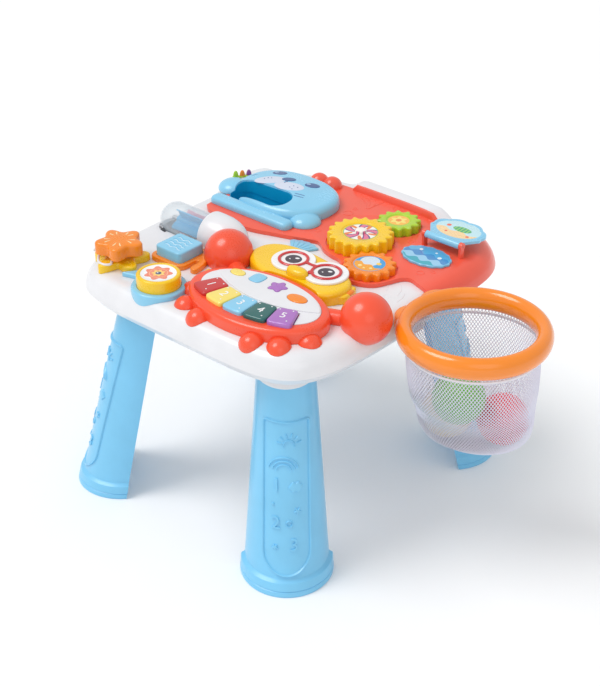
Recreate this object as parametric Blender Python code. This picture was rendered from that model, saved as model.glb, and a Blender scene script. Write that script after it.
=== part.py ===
"""Baby activity table: a rounded tray on four half-pipe legs, with press, spin, roll and flip
toys on its top and a clip-on ball basket at its side.

Metres, +Z up. The origin is on the floor under the middle of the whole object. The child
stands at -Y, and the basket hangs at +X.
"""

from math import cos, hypot, pi, radians, sin, sqrt, tan

import bmesh
import bpy
from mathutils import Matrix, Vector

# Fits

GAP = 0.0003  # between pieces that rest on, pass through or face each other
RUN = 0.0004  # round a piece that slides or turns in a guide
OVERRUN = 0.004  # how far a cutter passes what it cuts
JOIN = 0.001  # how far two shapes of one piece reach into each other

# Smoothness

DOME_SHARES = (0.78, 0.5, 0.2)  # rings of a crowned top, from its edge to its middle
EDGE_SAMPLES = 7200  # places tried along the tray's edge when it is divided evenly
ROD_SEGMENTS = 16
BALL_SEGMENTS = 16
BALL_RINGS = 9
DRUM_SEGMENTS = 24

# Tray

TRAY_HALF_X = 0.190
TRAY_FRONT = 0.278  # from the widest line to the front edge
TRAY_BACK = 0.133  # from the widest line to the back edge
WIDEST_Y = 0.080
FRONT_SQUARENESS = 6.0
BACK_SQUARENESS = 3.3
TRAY_BOTTOM_Z = 0.261
TRAY_SIDE_Z = 0.272  # height of the widest line
TRAY_TOP_Z = 0.298
TRAY_TUCK = 0.008  # how far the bottom edge draws in
SHOULDER = 0.018
TRAY_WALL = 0.003
RIM_RISE = 0.010  # back rim over the tray top
RIM_WIDTH = 0.030
RIM_SPANS = ((radians(46), radians(124)), (radians(146), radians(190)))
RIM_EASE = radians(14)
TRAY_STEPS = 60
TOP_EDGE_SHARE = 1.1  # of the rim's width: where the flat top starts
LEAST_SQUARE = 0.5  # limits how far a sharp corner of a moved profile reaches
RIM_SHARES = ((0.03, 0.42), (0.16, 0.86), (0.36, 1.0), (0.78, 1.0))

# Legs

FOOT_X = 0.137  # middle of the open side of a foot
FOOT_Y = 0.160
LEG_HEADING = radians(48.5)  # which way the closed side faces, from the X axis
LEG_LEAN = 0.2133  # inward travel for each metre up
LEG_FOOT_HALF_WIDTH = 0.050
LEG_FOOT_DEPTH = 0.054
LEG_TOP_HALF_WIDTH = 0.030
LEG_TOP_DEPTH = 0.043
LEG_TOP_Z = 0.283
LEG_WALL = 0.003
BAND_HEIGHT = 0.017
BAND_FLARE = 0.0045
LEG_STEPS = 12
LEGS = (
    ("leg_front_right", 1, -1),
    ("leg_front_left", -1, -1),
    ("leg_back_right", 1, 1),
    ("leg_back_left", -1, 1),
)

# Bottom cover, with its leg sockets and battery well

COVER_THICK = 0.003
COVER_Z = 0.263
SOCKET_LOW_Z = 0.240
SOCKET_WALL = 0.003
BATTERY_WELL = (0.072, 0.058, 0.019)
BATTERY_WELL_WALL = 0.002
BATTERY_X = 0.020
BATTERY_Y = -0.020
DOOR_THICK = 0.0022
DOOR_LEDGE = 0.003
SPEAKER_RADIUS = 0.024
SPEAKER_HEIGHT = 0.016
SPEAKER_X = 0.0
SPEAKER_Y = 0.080
GRILLE_HOLE_RADIUS = 0.0022
GRILLE_PITCH = 0.008
GRILLE_PLACES = ((0, 0), (1, 0), (-1, 0), (0, 1), (0, -1))
SCREW_FRONT = (0.118, -0.075)
SCREW_BACK = (0.070, 0.168)
SCREW_HEAD_RADIUS = 0.0036
SCREW_HEAD = 0.0018
SCREW_RADIUS = 0.0014
SCREW_LENGTH = 0.012
BOSS_RADIUS = 0.0045

# Red deck over the back half of the tray

DECK_THICK = 0.005
DECK_LOW_Z = 0.277
DECK_START = radians(44)
DECK_END = radians(196)
DECK_BAND_START = radians(48)
DECK_BAND_END = radians(116)
DECK_BAND_IN = 0.0355
DECK_BAND_RISE = 0.0075
WELL_DEPTH = 0.0025
WELL_MARGIN = 0.0018
# Front edge of the deck, from left to right.
DECK_EDGE = (
    (-0.158, 0.024), (-0.150, 0.018), (-0.141, 0.015), (-0.120, 0.010),
    (-0.097, 0.009), (-0.070, 0.012), (-0.045, 0.020), (-0.021, 0.028), (0.000, 0.036),
    (0.010, 0.039), (0.018, 0.036), (0.030, 0.028), (0.045, 0.023), (0.058, 0.021),
    (0.067, 0.015), (0.073, 0.003), (0.086, -0.007), (0.102, -0.011), (0.118, -0.008),
    (0.130, 0.001), (0.137, 0.016), (0.143, 0.031), (0.152, 0.037), (0.165, 0.033),
    (0.180, 0.029), (0.200, 0.028),
)
BUMP_RADIUS = 0.013
BUMP_PLACES = ((-0.094, 0.166), (-0.074, 0.168))

# Seal

SEAL_X = -0.090
SEAL_Y = 0.098
SEAL_HALF_X = 0.070
SEAL_HALF_Y = 0.054
SEAL_HEIGHT = 0.020
SEAL_SQUARENESS = 2.3
SEAL_WALL = 0.003
MOUTH_X = -0.107
MOUTH_Y = 0.069
MOUTH_HALF_X = 0.046
MOUTH_HALF_Y = 0.019
MOUTH_DEPTH = 0.018  # below the tray top
MOUTH_CUP_WALL = 0.002
LIP_HALF_X = 0.064
LIP_HALF_Y = 0.0095
LIP_HEIGHT = 0.0095
LIP_CORNER = 0.0076
LIP_ROUND = 0.0057
FLIPPER_RADIUS = 0.020
FLIPPER_HEIGHT = 0.012
LEFT_FLIPPER_SHARES = (-1.08, -0.30)
RIGHT_FLIPPER_SHARES = (0.82, -0.58)
LEAF_X = -0.1735
LEAF_Y = 0.106
LEAF_LENGTH = 0.026
LEAF_WIDTH = 0.004
LEAF_HEIGHT = 0.009
LEAF_TURN = radians(56)

# Crab piano

CRAB_X = 0.064
CRAB_Y = -0.120
CRAB_HALF_X = 0.092
CRAB_HALF_Y = 0.057
CRAB_MIDDLE_Y = -0.123
CRAB_TOP_Z = 0.314
CRAB_WALL = 0.003
CRAB_EDGE = 0.006
FACEPLATE_HALF_X = 0.080
FACEPLATE_HALF_Y = 0.044
FACEPLATE_THICK = 0.003
FACEPLATE_PROUD = 0.001
FACEPLATE_LEDGE = 0.004
FOOT_BUMP_RADIUS = 0.0145
FOOT_BUMP_SHARES = ((0.43, -0.95), (0.75, -0.76), (0.95, -0.26))
CLAW_RADIUS = 0.029
CLAW_WALL = 0.003
LEFT_CLAW = (-0.040, -0.060, 0.308)
RIGHT_CLAW = (0.175, -0.072, 0.307)
CLAW_NOTCH = 0.007
ARM_RADIUS = 0.010
ARM_REACH_SHARE = 0.6  # of the way from the claw to the middle of the body
CLAW_NOTCH_SHARE = 0.55  # height of the notch over the claw's middle, of its radius
KEY_COUNT = 5
KEY_ARC_RADIUS = 0.156
KEY_STEP = radians(10)
KEY_SPACE = 0.0003  # between a key and the line it shares with the next
KEY_DEPTH = 0.034
KEY_ROW_Y = -0.151
KEY_TOP_Z = 0.3195
KEY_TRAVEL = 0.003
KEY_ROUND = 0.0021  # rounding of its upper edges
BUTTON_TOP_Z = 0.3175
BUTTON_HEIGHT = 0.010
BUTTON_ROUND = 0.001
# Each melody button: place along and across the faceplate, and half sizes.
BUTTON_PLACE_SHARES = ((-0.67, 0.50), (-0.34, 0.60), (0.04, 0.59), (0.46, 0.45))
BUTTON_SIZES = ((0.010, 0.0065), (0.0085, 0.0095), (0.0115, 0.0115), (0.0130, 0.0080))
BUTTON_SQUARENESS = (2.0, 3.0, 2.0, 2.0)
STAR_BUTTON = 2  # which melody button is a star
BOARD_SIZE = (0.120, 0.034, 0.0016)
BOARD_Y = -0.138
SWITCH_X = -0.034
SWITCH_Y = -0.101
SWITCH_SIZE = (0.007, 0.008, 0.010)
SWITCH_TRAVEL = 0.0035

# Owl

OWL_X = 0.062
OWL_Y = -0.034
OWL_BODY_X = 0.052
OWL_BODY_Y = -0.040
OWL_TILT = radians(-8)
OWL_HALF_X = 0.073
OWL_HALF_Y = 0.037
OWL_TOP_Z = 0.314
OWL_EDGE = 0.006
OWL_WALL = 0.003
OWL_SQUARENESS = 2.4
TUFT_REACH_SHARES = ((0.80, -0.40), (1.07, 0.05), (0.92, 0.66), (0.60, 0.50))
EYE_SPREAD = 0.0245
EYE_DISC_RADIUS = 0.0258
EYE_PLATE_THICK = 0.0026
GLASSES_RADIUS = 0.0165
GLASSES_WIDTH = 0.0034
GLASSES_HEIGHT = 0.0014
BEAK_HALF_X = 0.0145
BEAK_HALF_Y = 0.0085
BEAK_OFFSET_Y = -0.0215
BEAK_TOP_Z = 0.3235
BEAK_ROUND = 0.006
BEAK_TRAVEL = 0.003
FAN_X = 0.004
FAN_Y = 0.000
FAN_RADIUS = 0.034
FAN_THICK = 0.0028
FAN_SPREAD = radians(76)
FAN_TURN = radians(96)

# Star spinner and its starfish base

STAR_X = -0.133
STAR_Y = -0.145
STAR_RADIUS = 0.029
STAR_WAIST = 0.020
STAR_HEIGHT = 0.016
STAR_TOP_Z = 0.329
STAR_EDGE = 0.0025
STAR_TURN = radians(90)
STARFISH_RADIUS = 0.034
STARFISH_WAIST = 0.019
STARFISH_TURN = radians(54)
STARFISH_TOP_Z = 0.307
STAR_POST_RADIUS = 0.0045
STAR_POST_TOP_Z = 0.323

# Fish drum button

FISH_X = -0.053
FISH_Y = -0.161
FISH_RADIUS = 0.0255
FISH_TOP_Z = 0.319
FISH_WALL = 0.003
FISH_EDGE = 0.0025
FISH_TRAVEL = 0.004
COLLAR_RADIUS = 0.032
COLLAR_TOP_Z = 0.3045
COLLAR_EDGE = 0.003
TAIL_REACH = 0.050
TAIL_FORK_SHARE = 0.86  # reach of the fork between the fin's two points
TAIL_HALF_WIDTH = 0.024
TAIL_TURN = radians(162)

# Wave key and its orange frame

WAVE_X = -0.089
WAVE_Y = -0.092
WAVE_HALF = 0.0205
WAVE_CORNER = 0.005
WAVE_TOP_Z = 0.317
WAVE_TRAVEL = 0.003
WAVE_FRAME_WIDTH = 0.0055
WAVE_FRAME_TOP_Z = 0.3045
# Outline of the frame's arm, from the frame's corner.
WAVE_ARM = (
    (-0.0070, 0.0000), (0.0000, 0.0070), (0.0112, -0.0060), (0.0168, -0.0300),
    (0.0070, -0.0300), (0.0042, -0.0120), (-0.0070, -0.0180),
)

# Roller: clear drum with a blue vane, on an axle held in the white hood

DRUM_Y = -0.034
DRUM_Z = 0.308
DRUM_RADIUS = 0.021
DRUM_WALL = 0.002
DRUM_RIGHT_X = -0.084
DRUM_DOME_X = -0.151
AXLE_RADIUS = 0.0025
AXLE_LEFT_X = -0.158
AXLE_RIGHT_X = -0.066
VANE_RADIUS = 0.0165
VANE_THICK = 0.003
VANE_LEFT_X = -0.148
HOOD_RADIUS = 0.0265
HOOD_MOUTH_X = -0.092
HOOD_PROFILE_SHARES = ((0.0, 1.0), (0.35, 0.98), (0.62, 0.84), (0.85, 0.52), (1.0, 0.0))
HOOD_LENGTH = 0.056
DRUM_ROOM = 0.001
CRADLE_WALL = 0.003
BEAD_RADIUS = 0.003
BEAD_X_SHARES = (0.35, 0.70)
BEAD_SIDE = 0.0109  # beads stand this far from the axis, sideways and down

# Gears

GEAR_X = 0.052
GEAR_Y = 0.070
GEAR_MODULE = 0.0042
LARGE_TEETH = 18
MEDIUM_TEETH = 14
SMALL_TEETH = 12
SMALL_BEARING = radians(81.9)
MEDIUM_BEARING = radians(-42.2)
TOOTH_WAVE = 0.0026
TOOTH_EASE = 0.0007
TOOTH_POINTS = 6
LARGE_TOP_Z = 0.318
MEDIUM_TOP_Z = 0.311
SMALL_TOP_Z = 0.313
GEAR_EDGE = 0.0015
GEAR_AXLE_RADIUS = 0.004
GEAR_CAP_THICK = 0.003
HUB_RADIUS = 0.007
HUB_HEIGHT = 0.003

# Flip page and the picture disc that it covers

PAGE_X = 0.139
HINGE_Y = 0.116
HINGE_Z = 0.318
PAGE_HALF_WIDTH = 0.037
PAGE_REACH = 0.056
PAGE_THICK = 0.0035
PAGE_WAVE = 0.0025
PAGE_ROOT_HALF = 0.0192  # half the width where it leaves the barrel
PAGE_SPREAD = radians(201.6)  # how far round its edge runs
PAGE_RIPPLES = 4
BARREL_RADIUS = 0.0045
BARREL_HALF = 0.024
PIN_RADIUS = 0.0015
LUG_THICK = 0.004
LUG_FOOT_HALF = 0.004
DISC_X = 0.135
DISC_Y = 0.0895
DISC_HALF_X = 0.033
DISC_HALF_Y = 0.0225
DISC_THICK = 0.0028

# Basket with its ring, net and balls

RING_X = 0.267
RING_Y = 0.000
RING_Z = 0.2938
RING_RADIUS = 0.076
RING_TUBE = 0.0096
RING_TUBE_HIGH = 0.0128
LOBE_RADIUS = 0.022
LOBE_SPREAD = 0.023
LOBE_X = 0.203
LOBE_THICK = 0.015
LOBE_TOP_Z = 0.304
TONGUE_HALF_Y = 0.012
TONGUE_THICK = 0.003
TONGUE_LOW_Z = 0.263
KEEPER_WALL = 0.002
KEEPER_DEEP = 0.005
KEEPER_LOW_Z = 0.2665
KEEPER_TOP_Z = 0.279
KEEPER_INSIDE_TOP_Z = 0.284
NET_WALL = 0.002
NET_TURN = radians(21.8)  # the line from the yellow ball to the red one
# Sections of the loaded net: height, centre and radii along and across that line, as shares of
# the ring's radius.
NET_SHARES = (
    (-0.175, 0.00, 0.00, 1.006, 1.006), (-0.20, 0.00, 0.00, 0.967, 0.967),
    (-0.58, 0.00, 0.03, 0.96, 0.95),
    (-0.88, -0.02, 0.09, 0.95, 0.92), (-1.16, -0.06, 0.17, 0.93, 0.84),
    (-1.41, -0.09, 0.27, 0.90, 0.73), (-1.64, -0.115, 0.34, 0.885, 0.62),
    (-1.86, -0.12, 0.36, 0.84, 0.55), (-2.02, -0.125, 0.355, 0.75, 0.47),
    (-2.13, -0.125, 0.35, 0.55, 0.33), (-2.17, -0.125, 0.35, 0.25, 0.15),
)
# How far the net's wall is measured upward, not sideways, at each of its sections.
NET_FLOOR_SHARES = (0.0, 0.0, 0.0, 0.0, 0.0, 0.1, 0.3, 0.5, 0.8, 1.0, 1.0)
BALL_RADIUS = 0.0301
# Balls in the net, in shares of the ring's radius from its centre.
BALL_SHARES = ((-0.0936, -0.139, -1.0855), (0.276, 0.526, -1.63), (-0.513, 0.21, -1.68))

# Where the tray's centre stands, so that the whole object is centred on the origin

REACH_RIGHT = RING_X + RING_RADIUS + RING_TUBE
FOOT_REACH = hypot(
    cos(LEG_HEADING) * (LEG_FOOT_DEPTH + BAND_FLARE),
    sin(LEG_HEADING) * (LEG_FOOT_HALF_WIDTH + BAND_FLARE),
)
REACH_LEFT = FOOT_X + FOOT_REACH
TRAY_X = (REACH_LEFT - REACH_RIGHT) / 2

COLOURS = {
    "white": (0.93, 0.93, 0.94, 0.35),
    "sky": (0.27, 0.66, 0.90, 0.35),
    "aqua": (0.45, 0.78, 0.93, 0.30),
    "deep_blue": (0.00, 0.36, 0.62, 0.30),
    "red": (0.95, 0.10, 0.04, 0.30),
    "deck_red": (0.88, 0.14, 0.07, 0.35),
    "orange": (1.00, 0.28, 0.01, 0.25),
    "yellow": (0.98, 0.62, 0.01, 0.30),
    "lime": (0.50, 0.70, 0.02, 0.30),
    "pale_yellow": (0.98, 0.85, 0.35, 0.30),
    "teal": (0.00, 0.16, 0.17, 0.30),
    "purple": (0.42, 0.16, 0.60, 0.30),
    "green": (0.28, 0.66, 0.18, 0.35),
    "pink": (0.88, 0.12, 0.16, 0.35),
    "clear": (0.90, 0.94, 0.97, 0.05),
    "net": (0.92, 0.92, 0.96, 0.90),
    "steel": (0.62, 0.62, 0.64, 0.30),
    "board": (0.03, 0.22, 0.08, 0.50),
    "black": (0.02, 0.02, 0.02, 0.60),
}


def clear_scene():
    for obj in list(bpy.data.objects):
        bpy.data.objects.remove(obj, do_unlink=True)


def material(colour):
    """The named plastic, steel, net or board colour as a Principled material, made once."""
    found = bpy.data.materials.get(colour)
    if found:
        return found
    red, green, blue, roughness = COLOURS[colour]
    made = bpy.data.materials.new(colour)
    made.use_nodes = True
    shader = made.node_tree.nodes["Principled BSDF"]
    shader.inputs["Base Color"].default_value = (red, green, blue, 1)
    shader.inputs["Roughness"].default_value = roughness
    shader.inputs["Metallic"].default_value = 1 if colour == "steel" else 0
    return made


def finish(name, bm, colour="white", origin=(0, 0, 0), hidden=False):
    """Turn a bmesh in tray coordinates into an object whose origin is at `origin`."""
    bmesh.ops.recalc_face_normals(bm, faces=bm.faces)
    bmesh.ops.translate(bm, verts=bm.verts, vec=-Vector(origin))
    mesh = bpy.data.meshes.new(name)
    bm.to_mesh(mesh)
    bm.free()
    mesh.materials.append(material(colour))
    if not hidden:
        mesh.shade_smooth()
        mesh.set_sharp_from_angle(angle=radians(40))
    obj = bpy.data.objects.new(name, mesh)
    bpy.context.scene.collection.objects.link(obj)
    obj.parent = TRAY
    obj.location = origin
    if hidden:
        obj.hide_render = True
        obj.display_type = "WIRE"
    return obj


def helper(name, bm):
    return finish(name, bm, hidden=True)


def boolean(obj, operation, tools):
    """Add, cut or keep common space with each helper in turn."""
    for tool in tools:
        step = obj.modifiers.new(f"{operation.lower()} {tool.name}", "BOOLEAN")
        step.operation = operation
        step.solver = "EXACT"
        step.object = tool
    return obj


def cut(obj, *tools):
    return boolean(obj, "DIFFERENCE", tools)


def add(obj, *tools):
    return boolean(obj, "UNION", tools)


def keep(obj, *tools):
    return boolean(obj, "INTERSECT", tools)


def loft(bm, rings, closed=False):
    """Skin through rings of equal count, capped at both ends, or joined end to start."""
    rows = [[bm.verts.new(point) for point in ring] for ring in rings]
    pairs = list(zip(rows, rows[1:]))
    if closed:
        pairs.append((rows[-1], rows[0]))
    for low, high in pairs:
        for i in range(len(low)):
            j = (i + 1) % len(low)
            bm.faces.new((low[i], low[j], high[j], high[i]))
    if not closed:
        bm.faces.new(rows[0][::-1])
        bm.faces.new(rows[-1])
    return bm


def at_height(outline, z):
    return [(x, y, z) for x, y in outline]


def grown(outline, centre, by):
    """The outline moved away from its centre by a distance, or towards it when negative."""
    moved = []
    for x, y in outline:
        away = Vector((x - centre[0], y - centre[1]))
        away *= 1 + by / away.length
        moved.append((centre[0] + away.x, centre[1] + away.y))
    return moved


def slab(name, outline, low, high, colour=None, origin=(0, 0, 0)):
    """A straight-sided piece of any outline; a helper when it has no colour."""
    bm = loft(bmesh.new(), [at_height(outline, low), at_height(outline, high)])
    if colour is None:
        return helper(name, bm)
    return finish(name, bm, colour, origin)


def pillow_rings(outline, centre, low, high, edge, steps=3, dome=0.0):
    """Rings of a piece with a rounded upper edge and, where asked, a crowned top."""
    rings = [at_height(outline, low)]
    for step in range(steps + 1):
        turn = step / steps * pi / 2
        inset = edge * (1 - cos(turn))
        height = high - dome - edge * (1 - sin(turn))
        rings.append(at_height(grown(outline, centre, -inset), height))
    if dome:
        last = rings[-1]
        for share in DOME_SHARES:
            height = high - dome * share * share
            middle = Vector((centre[0], centre[1], height))
            level = [middle + (Vector((x, y, height)) - middle) * share for x, y, _ in last]
            rings.append([tuple(point) for point in level])
    return rings


def pillow(name, outline, centre, low, high, edge, colour=None, origin=(0, 0, 0), steps=3, dome=0.0):
    bm = loft(bmesh.new(), pillow_rings(outline, centre, low, high, edge, steps, dome))
    if colour is None:
        return helper(name, bm)
    return finish(name, bm, colour, origin)


def ellipse(x, y, half_x, half_y, count=32, squareness=2.0):
    """An ellipse, or a squarer oval, with evenly turned points."""
    points = []
    for step in range(count):
        turn = 2 * pi * step / count
        along, across = cos(turn), sin(turn)
        reach = (abs(along) ** squareness + abs(across) ** squareness) ** (-1 / squareness)
        points.append((x + half_x * along * reach, y + half_y * across * reach))
    return points


def rounded_box(x, y, half_x, half_y, corner, steps=4):
    points = []
    for quarter, (side_x, side_y) in enumerate(((1, 1), (-1, 1), (-1, -1), (1, -1))):
        for step in range(steps + 1):
            turn = (quarter + step / steps) * pi / 2
            points.append((
                x + side_x * (half_x - corner) + corner * cos(turn),
                y + side_y * (half_y - corner) + corner * sin(turn),
            ))
    return points


def star(x, y, tip, waist, turn, arms=5, count=8):
    """A soft star whose radius swings between tip and waist."""
    points = []
    for step in range(arms * count):
        angle = 2 * pi * step / (arms * count)
        swing = (1 + cos(arms * angle)) / 2
        radius = waist + (tip - waist) * swing
        points.append((x + radius * cos(angle + turn), y + radius * sin(angle + turn)))
    return points


def turned(outline, centre, angle):
    """The outline turned about a centre."""
    out = []
    for x, y in outline:
        dx, dy = x - centre[0], y - centre[1]
        out.append((
            centre[0] + dx * cos(angle) - dy * sin(angle),
            centre[1] + dx * sin(angle) + dy * cos(angle),
        ))
    return out


def ball(name, centre, radii, colour=None, origin=(0, 0, 0), segments=BALL_SEGMENTS, rings=BALL_RINGS):
    bm = bmesh.new()
    size = Matrix.Diagonal((*radii, 1))
    place = Matrix.Translation(centre) @ size
    bmesh.ops.create_uvsphere(bm, u_segments=segments, v_segments=rings, radius=1, matrix=place)
    if colour is None:
        return helper(name, bm)
    return finish(name, bm, colour, origin)


def rod(name, start, end, radius, colour=None, origin=(0, 0, 0), segments=ROD_SEGMENTS):
    """A straight round bar between two points."""
    line = Vector(end) - Vector(start)
    place = Matrix.Translation((Vector(start) + Vector(end)) / 2)
    place @= line.to_track_quat("Z", "Y").to_matrix().to_4x4()
    bm = bmesh.new()
    bmesh.ops.create_cone(
        bm, cap_ends=True, segments=segments, radius1=radius, radius2=radius,
        depth=line.length, matrix=place,
    )
    if colour is None:
        return helper(name, bm)
    return finish(name, bm, colour, origin)


def box(name, low, high, colour=None, origin=(0, 0, 0)):
    outline = ((low[0], low[1]), (high[0], low[1]), (high[0], high[1]), (low[0], high[1]))
    return slab(name, outline, low[2], high[2], colour, origin)


def revolve(profile, place, steps):
    """Rings about the local Z axis through (radius, height) points; `place` sets the axis."""
    rings = []
    for radius, height in profile:
        ring = []
        for step in range(steps):
            turn = 2 * pi * step / steps
            ring.append(place @ Vector((radius * cos(turn), radius * sin(turn), height)))
        rings.append(ring)
    return rings


# Tray surface


def tray_edge(angle, inset):
    """The tray's outline in plan, seen from the middle of its widest line."""
    along, across = cos(angle), sin(angle)
    half_x = TRAY_HALF_X - inset
    half_y = (TRAY_BACK if across > 0 else TRAY_FRONT) - inset
    power = BACK_SQUARENESS if across > 0 else FRONT_SQUARENESS
    reach = (abs(along / half_x) ** power + abs(across / half_y) ** power) ** (-1 / power)
    return reach * along, WIDEST_Y + reach * across


def edge_angles():
    """Angles that space the tray's outline evenly."""
    dense = [2 * pi * step / EDGE_SAMPLES for step in range(EDGE_SAMPLES + 1)]
    points = [Vector(tray_edge(angle, 0.0)) for angle in dense]
    along = [0.0]
    for first, second in zip(points, points[1:]):
        along.append(along[-1] + (second - first).length)
    angles = []
    place = 0
    for step in range(TRAY_STEPS):
        want = along[-1] * step / TRAY_STEPS
        while along[place + 1] <= want:
            place += 1
        angles.append(dense[place])
    return angles


def rim_share(angle):
    """How much of the back rim stands at this angle, from 0 to 1."""
    share = 0.0
    for start, end in RIM_SPANS:
        share = max(share, min(1.0, (angle - start) / RIM_EASE, (end - angle) / RIM_EASE))
    return share * share * (3 - 2 * share)


def plain_height(inset):
    """Height of the tray's skin where no rim stands."""
    if inset >= SHOULDER:
        return TRAY_TOP_Z
    slope = 1 - inset / SHOULDER
    return TRAY_SIDE_Z + (TRAY_TOP_Z - TRAY_SIDE_Z) * sqrt(1 - slope * slope)


def tray_profile(share):
    """(inset, height) from the side to the top, with the given share of the rim standing."""
    rim_top = TRAY_TOP_Z + RIM_RISE * share
    rows = [(0.0, TRAY_SIDE_Z)]
    for across, up in RIM_SHARES:
        inset = across * RIM_WIDTH
        plain = plain_height(inset)
        raised = TRAY_SIDE_Z + (rim_top - TRAY_SIDE_Z) * up
        rows.append((inset, plain + (max(plain, raised) - plain) * share))
    rows.append((RIM_WIDTH, TRAY_TOP_Z))
    rows.append((RIM_WIDTH * TOP_EDGE_SHARE, TRAY_TOP_Z))
    return rows


def moved_profile(rows, outset):
    """The profile moved outward, along its own normals, by `outset`."""
    moved = []
    for i, (inset, height) in enumerate(rows):
        before = Vector(rows[max(i - 1, 0)])
        here = Vector((inset, height))
        after = Vector(rows[min(i + 1, len(rows) - 1)])
        start = (here - before) if i else Vector((0, 1))
        end = (after - here) if i < len(rows) - 1 else Vector((1, 0))
        line = (start.normalized() + end.normalized()).normalized()
        normal = Vector((-line.y, line.x))
        square = Vector((-end.normalized().y, end.normalized().x))
        moved.append(here + normal * outset / max(normal.dot(square), LEAST_SQUARE))
    return moved


def tray_rings(outset, low, rim=True):
    """Rings of the tray's outer skin moved out by `outset`, from its bottom edge to its top."""
    tuck = TRAY_TUCK * min(1.0, (TRAY_SIDE_Z - low) / (TRAY_SIDE_Z - TRAY_BOTTOM_Z))
    columns = []
    for angle in edge_angles():
        rows = moved_profile(tray_profile(rim_share(angle) if rim else 0.0), outset)
        column = [(*tray_edge(angle, tuck - outset), low)]
        column += [(*tray_edge(angle, row.x), row.y) for row in rows]
        columns.append(column)
    return [list(ring) for ring in zip(*columns)]


def tray_solid(name, outset, low, rim=True):
    """The whole space inside the tray's outer skin, moved out by `outset`."""
    return helper(name, loft(bmesh.new(), tray_rings(outset, low, rim)))


def deck_outline():
    """The plan of the red deck: its wavy front edge, then round the inside of the back rim."""
    outline = list(DECK_EDGE)
    right = 2 * TRAY_HALF_X
    outline.append((right, DECK_EDGE[-1][1]))
    outline.append((right, WIDEST_Y + right * tan(DECK_START)))
    steps = 40
    for step in range(steps + 1):
        angle = DECK_START + (DECK_END - DECK_START) * step / steps
        outline.append(tray_edge(angle, RIM_WIDTH + 2 * GAP))
    return outline


def leg_frame(side_x, side_y):
    """(middle of the foot's open side, outward direction, sideways direction) of one leg."""
    out = Vector((side_x * cos(LEG_HEADING), side_y * sin(LEG_HEADING)))
    along = Vector((-out.y, out.x))
    return Vector((side_x * FOOT_X, side_y * FOOT_Y)), out, along


def leg_size(z):
    share = z / LEG_TOP_Z
    half = LEG_FOOT_HALF_WIDTH + (LEG_TOP_HALF_WIDTH - LEG_FOOT_HALF_WIDTH) * share
    depth = LEG_FOOT_DEPTH + (LEG_TOP_DEPTH - LEG_FOOT_DEPTH) * share
    return half, depth


def leg_arc(frame, z, more, back=0.0):
    """A half ellipse of the leg at height z, grown by `more`, its ends moved inward by `back`."""
    foot, out, along = frame
    half, depth = leg_size(z)
    middle = foot - out * LEG_LEAN * z
    points = []
    for step in range(LEG_STEPS + 1):
        turn = pi * step / LEG_STEPS - pi / 2
        place = middle + out * (depth + more) * cos(turn) + along * (half + more) * sin(turn)
        points.append(place)
    if back:
        points.append(middle - out * back + along * (half + more))
        points.append(middle - out * back - along * (half + more))
    return [(point.x, point.y, z) for point in points]


def make_leg(name, side_x, side_y):
    """A half-pipe leg with a flared band at its foot."""
    frame = leg_frame(side_x, side_y)
    rings = []
    levels = (
        (0.0, BAND_FLARE),
        (BAND_HEIGHT, BAND_FLARE),
        (BAND_HEIGHT + BAND_FLARE / 2, 0.0),
        (LEG_TOP_Z, 0.0),
    )
    for z, flare in levels:
        outer = leg_arc(frame, z, flare)
        inner = leg_arc(frame, z, -LEG_WALL)
        rings.append(outer + inner[::-1])
    return finish(name, loft(bmesh.new(), rings), "sky")


def screw_places():
    return [(side * x, y) for side in (-1, 1) for x, y in (SCREW_FRONT, SCREW_BACK)]


def drum_place(x=0.0):
    """The roller's axis: local Z runs along -X from the given place."""
    return Matrix.Translation((x, DRUM_Y, DRUM_Z)) @ Matrix.Rotation(-pi / 2, 4, "Y")


def key_arc(start, end, more=0.0, steps=4):
    """Part of the row of keys between two angles, from the middle of the row."""
    centre_y = KEY_ROW_Y + KEY_ARC_RADIUS
    outline = []
    half = KEY_DEPTH / 2 + more
    for radius, way in ((KEY_ARC_RADIUS - half, 1), (KEY_ARC_RADIUS + half, -1)):
        for step in range(steps + 1):
            share = step / steps if way > 0 else 1 - step / steps
            side = more * (2 * share - 1) / radius
            turn = start + (end - start) * share + side
            outline.append((CRAB_X + radius * sin(turn), centre_y - radius * cos(turn)))
    return outline


def key_outline(index):
    """(outline, centre) of one key: a wedge of the curved row."""
    middle = (index - (KEY_COUNT - 1) / 2) * KEY_STEP
    half = KEY_STEP / 2
    outline = key_arc(middle - half, middle + half, -KEY_SPACE)
    x = CRAB_X + KEY_ARC_RADIUS * sin(middle)
    y = KEY_ROW_Y + KEY_ARC_RADIUS * (1 - cos(middle))
    return outline, (x, y)


def key_window():
    half = KEY_STEP * KEY_COUNT / 2
    return key_arc(-half, half, RUN - KEY_SPACE, 4 * KEY_COUNT)


def button_outline(index, more=0.0):
    across, along = BUTTON_PLACE_SHARES[index]
    half_x, half_y = BUTTON_SIZES[index]
    x = CRAB_X + across * FACEPLATE_HALF_X
    y = CRAB_Y + along * FACEPLATE_HALF_Y
    if index == STAR_BUTTON:
        waist = half_x * STAR_WAIST / STAR_RADIUS
        outline = star(x, y, half_x + more, waist + more, pi / 2, count=4)
    else:
        outline = ellipse(x, y, half_x + more, half_y + more, 16, BUTTON_SQUARENESS[index])
    return outline, (x, y)


def crab_outline(more=0.0):
    return ellipse(CRAB_X, CRAB_MIDDLE_Y, CRAB_HALF_X + more, CRAB_HALF_Y + more, 36)


def claw_tools(more, tag):
    """Helpers for both claws, grown by `more`."""
    radius = CLAW_RADIUS + more
    left = ball(f"left claw {tag}", LEFT_CLAW, (radius, radius, radius))
    right = ball(f"right claw {tag}", RIGHT_CLAW, (radius, radius, radius))
    return left, right


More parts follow.
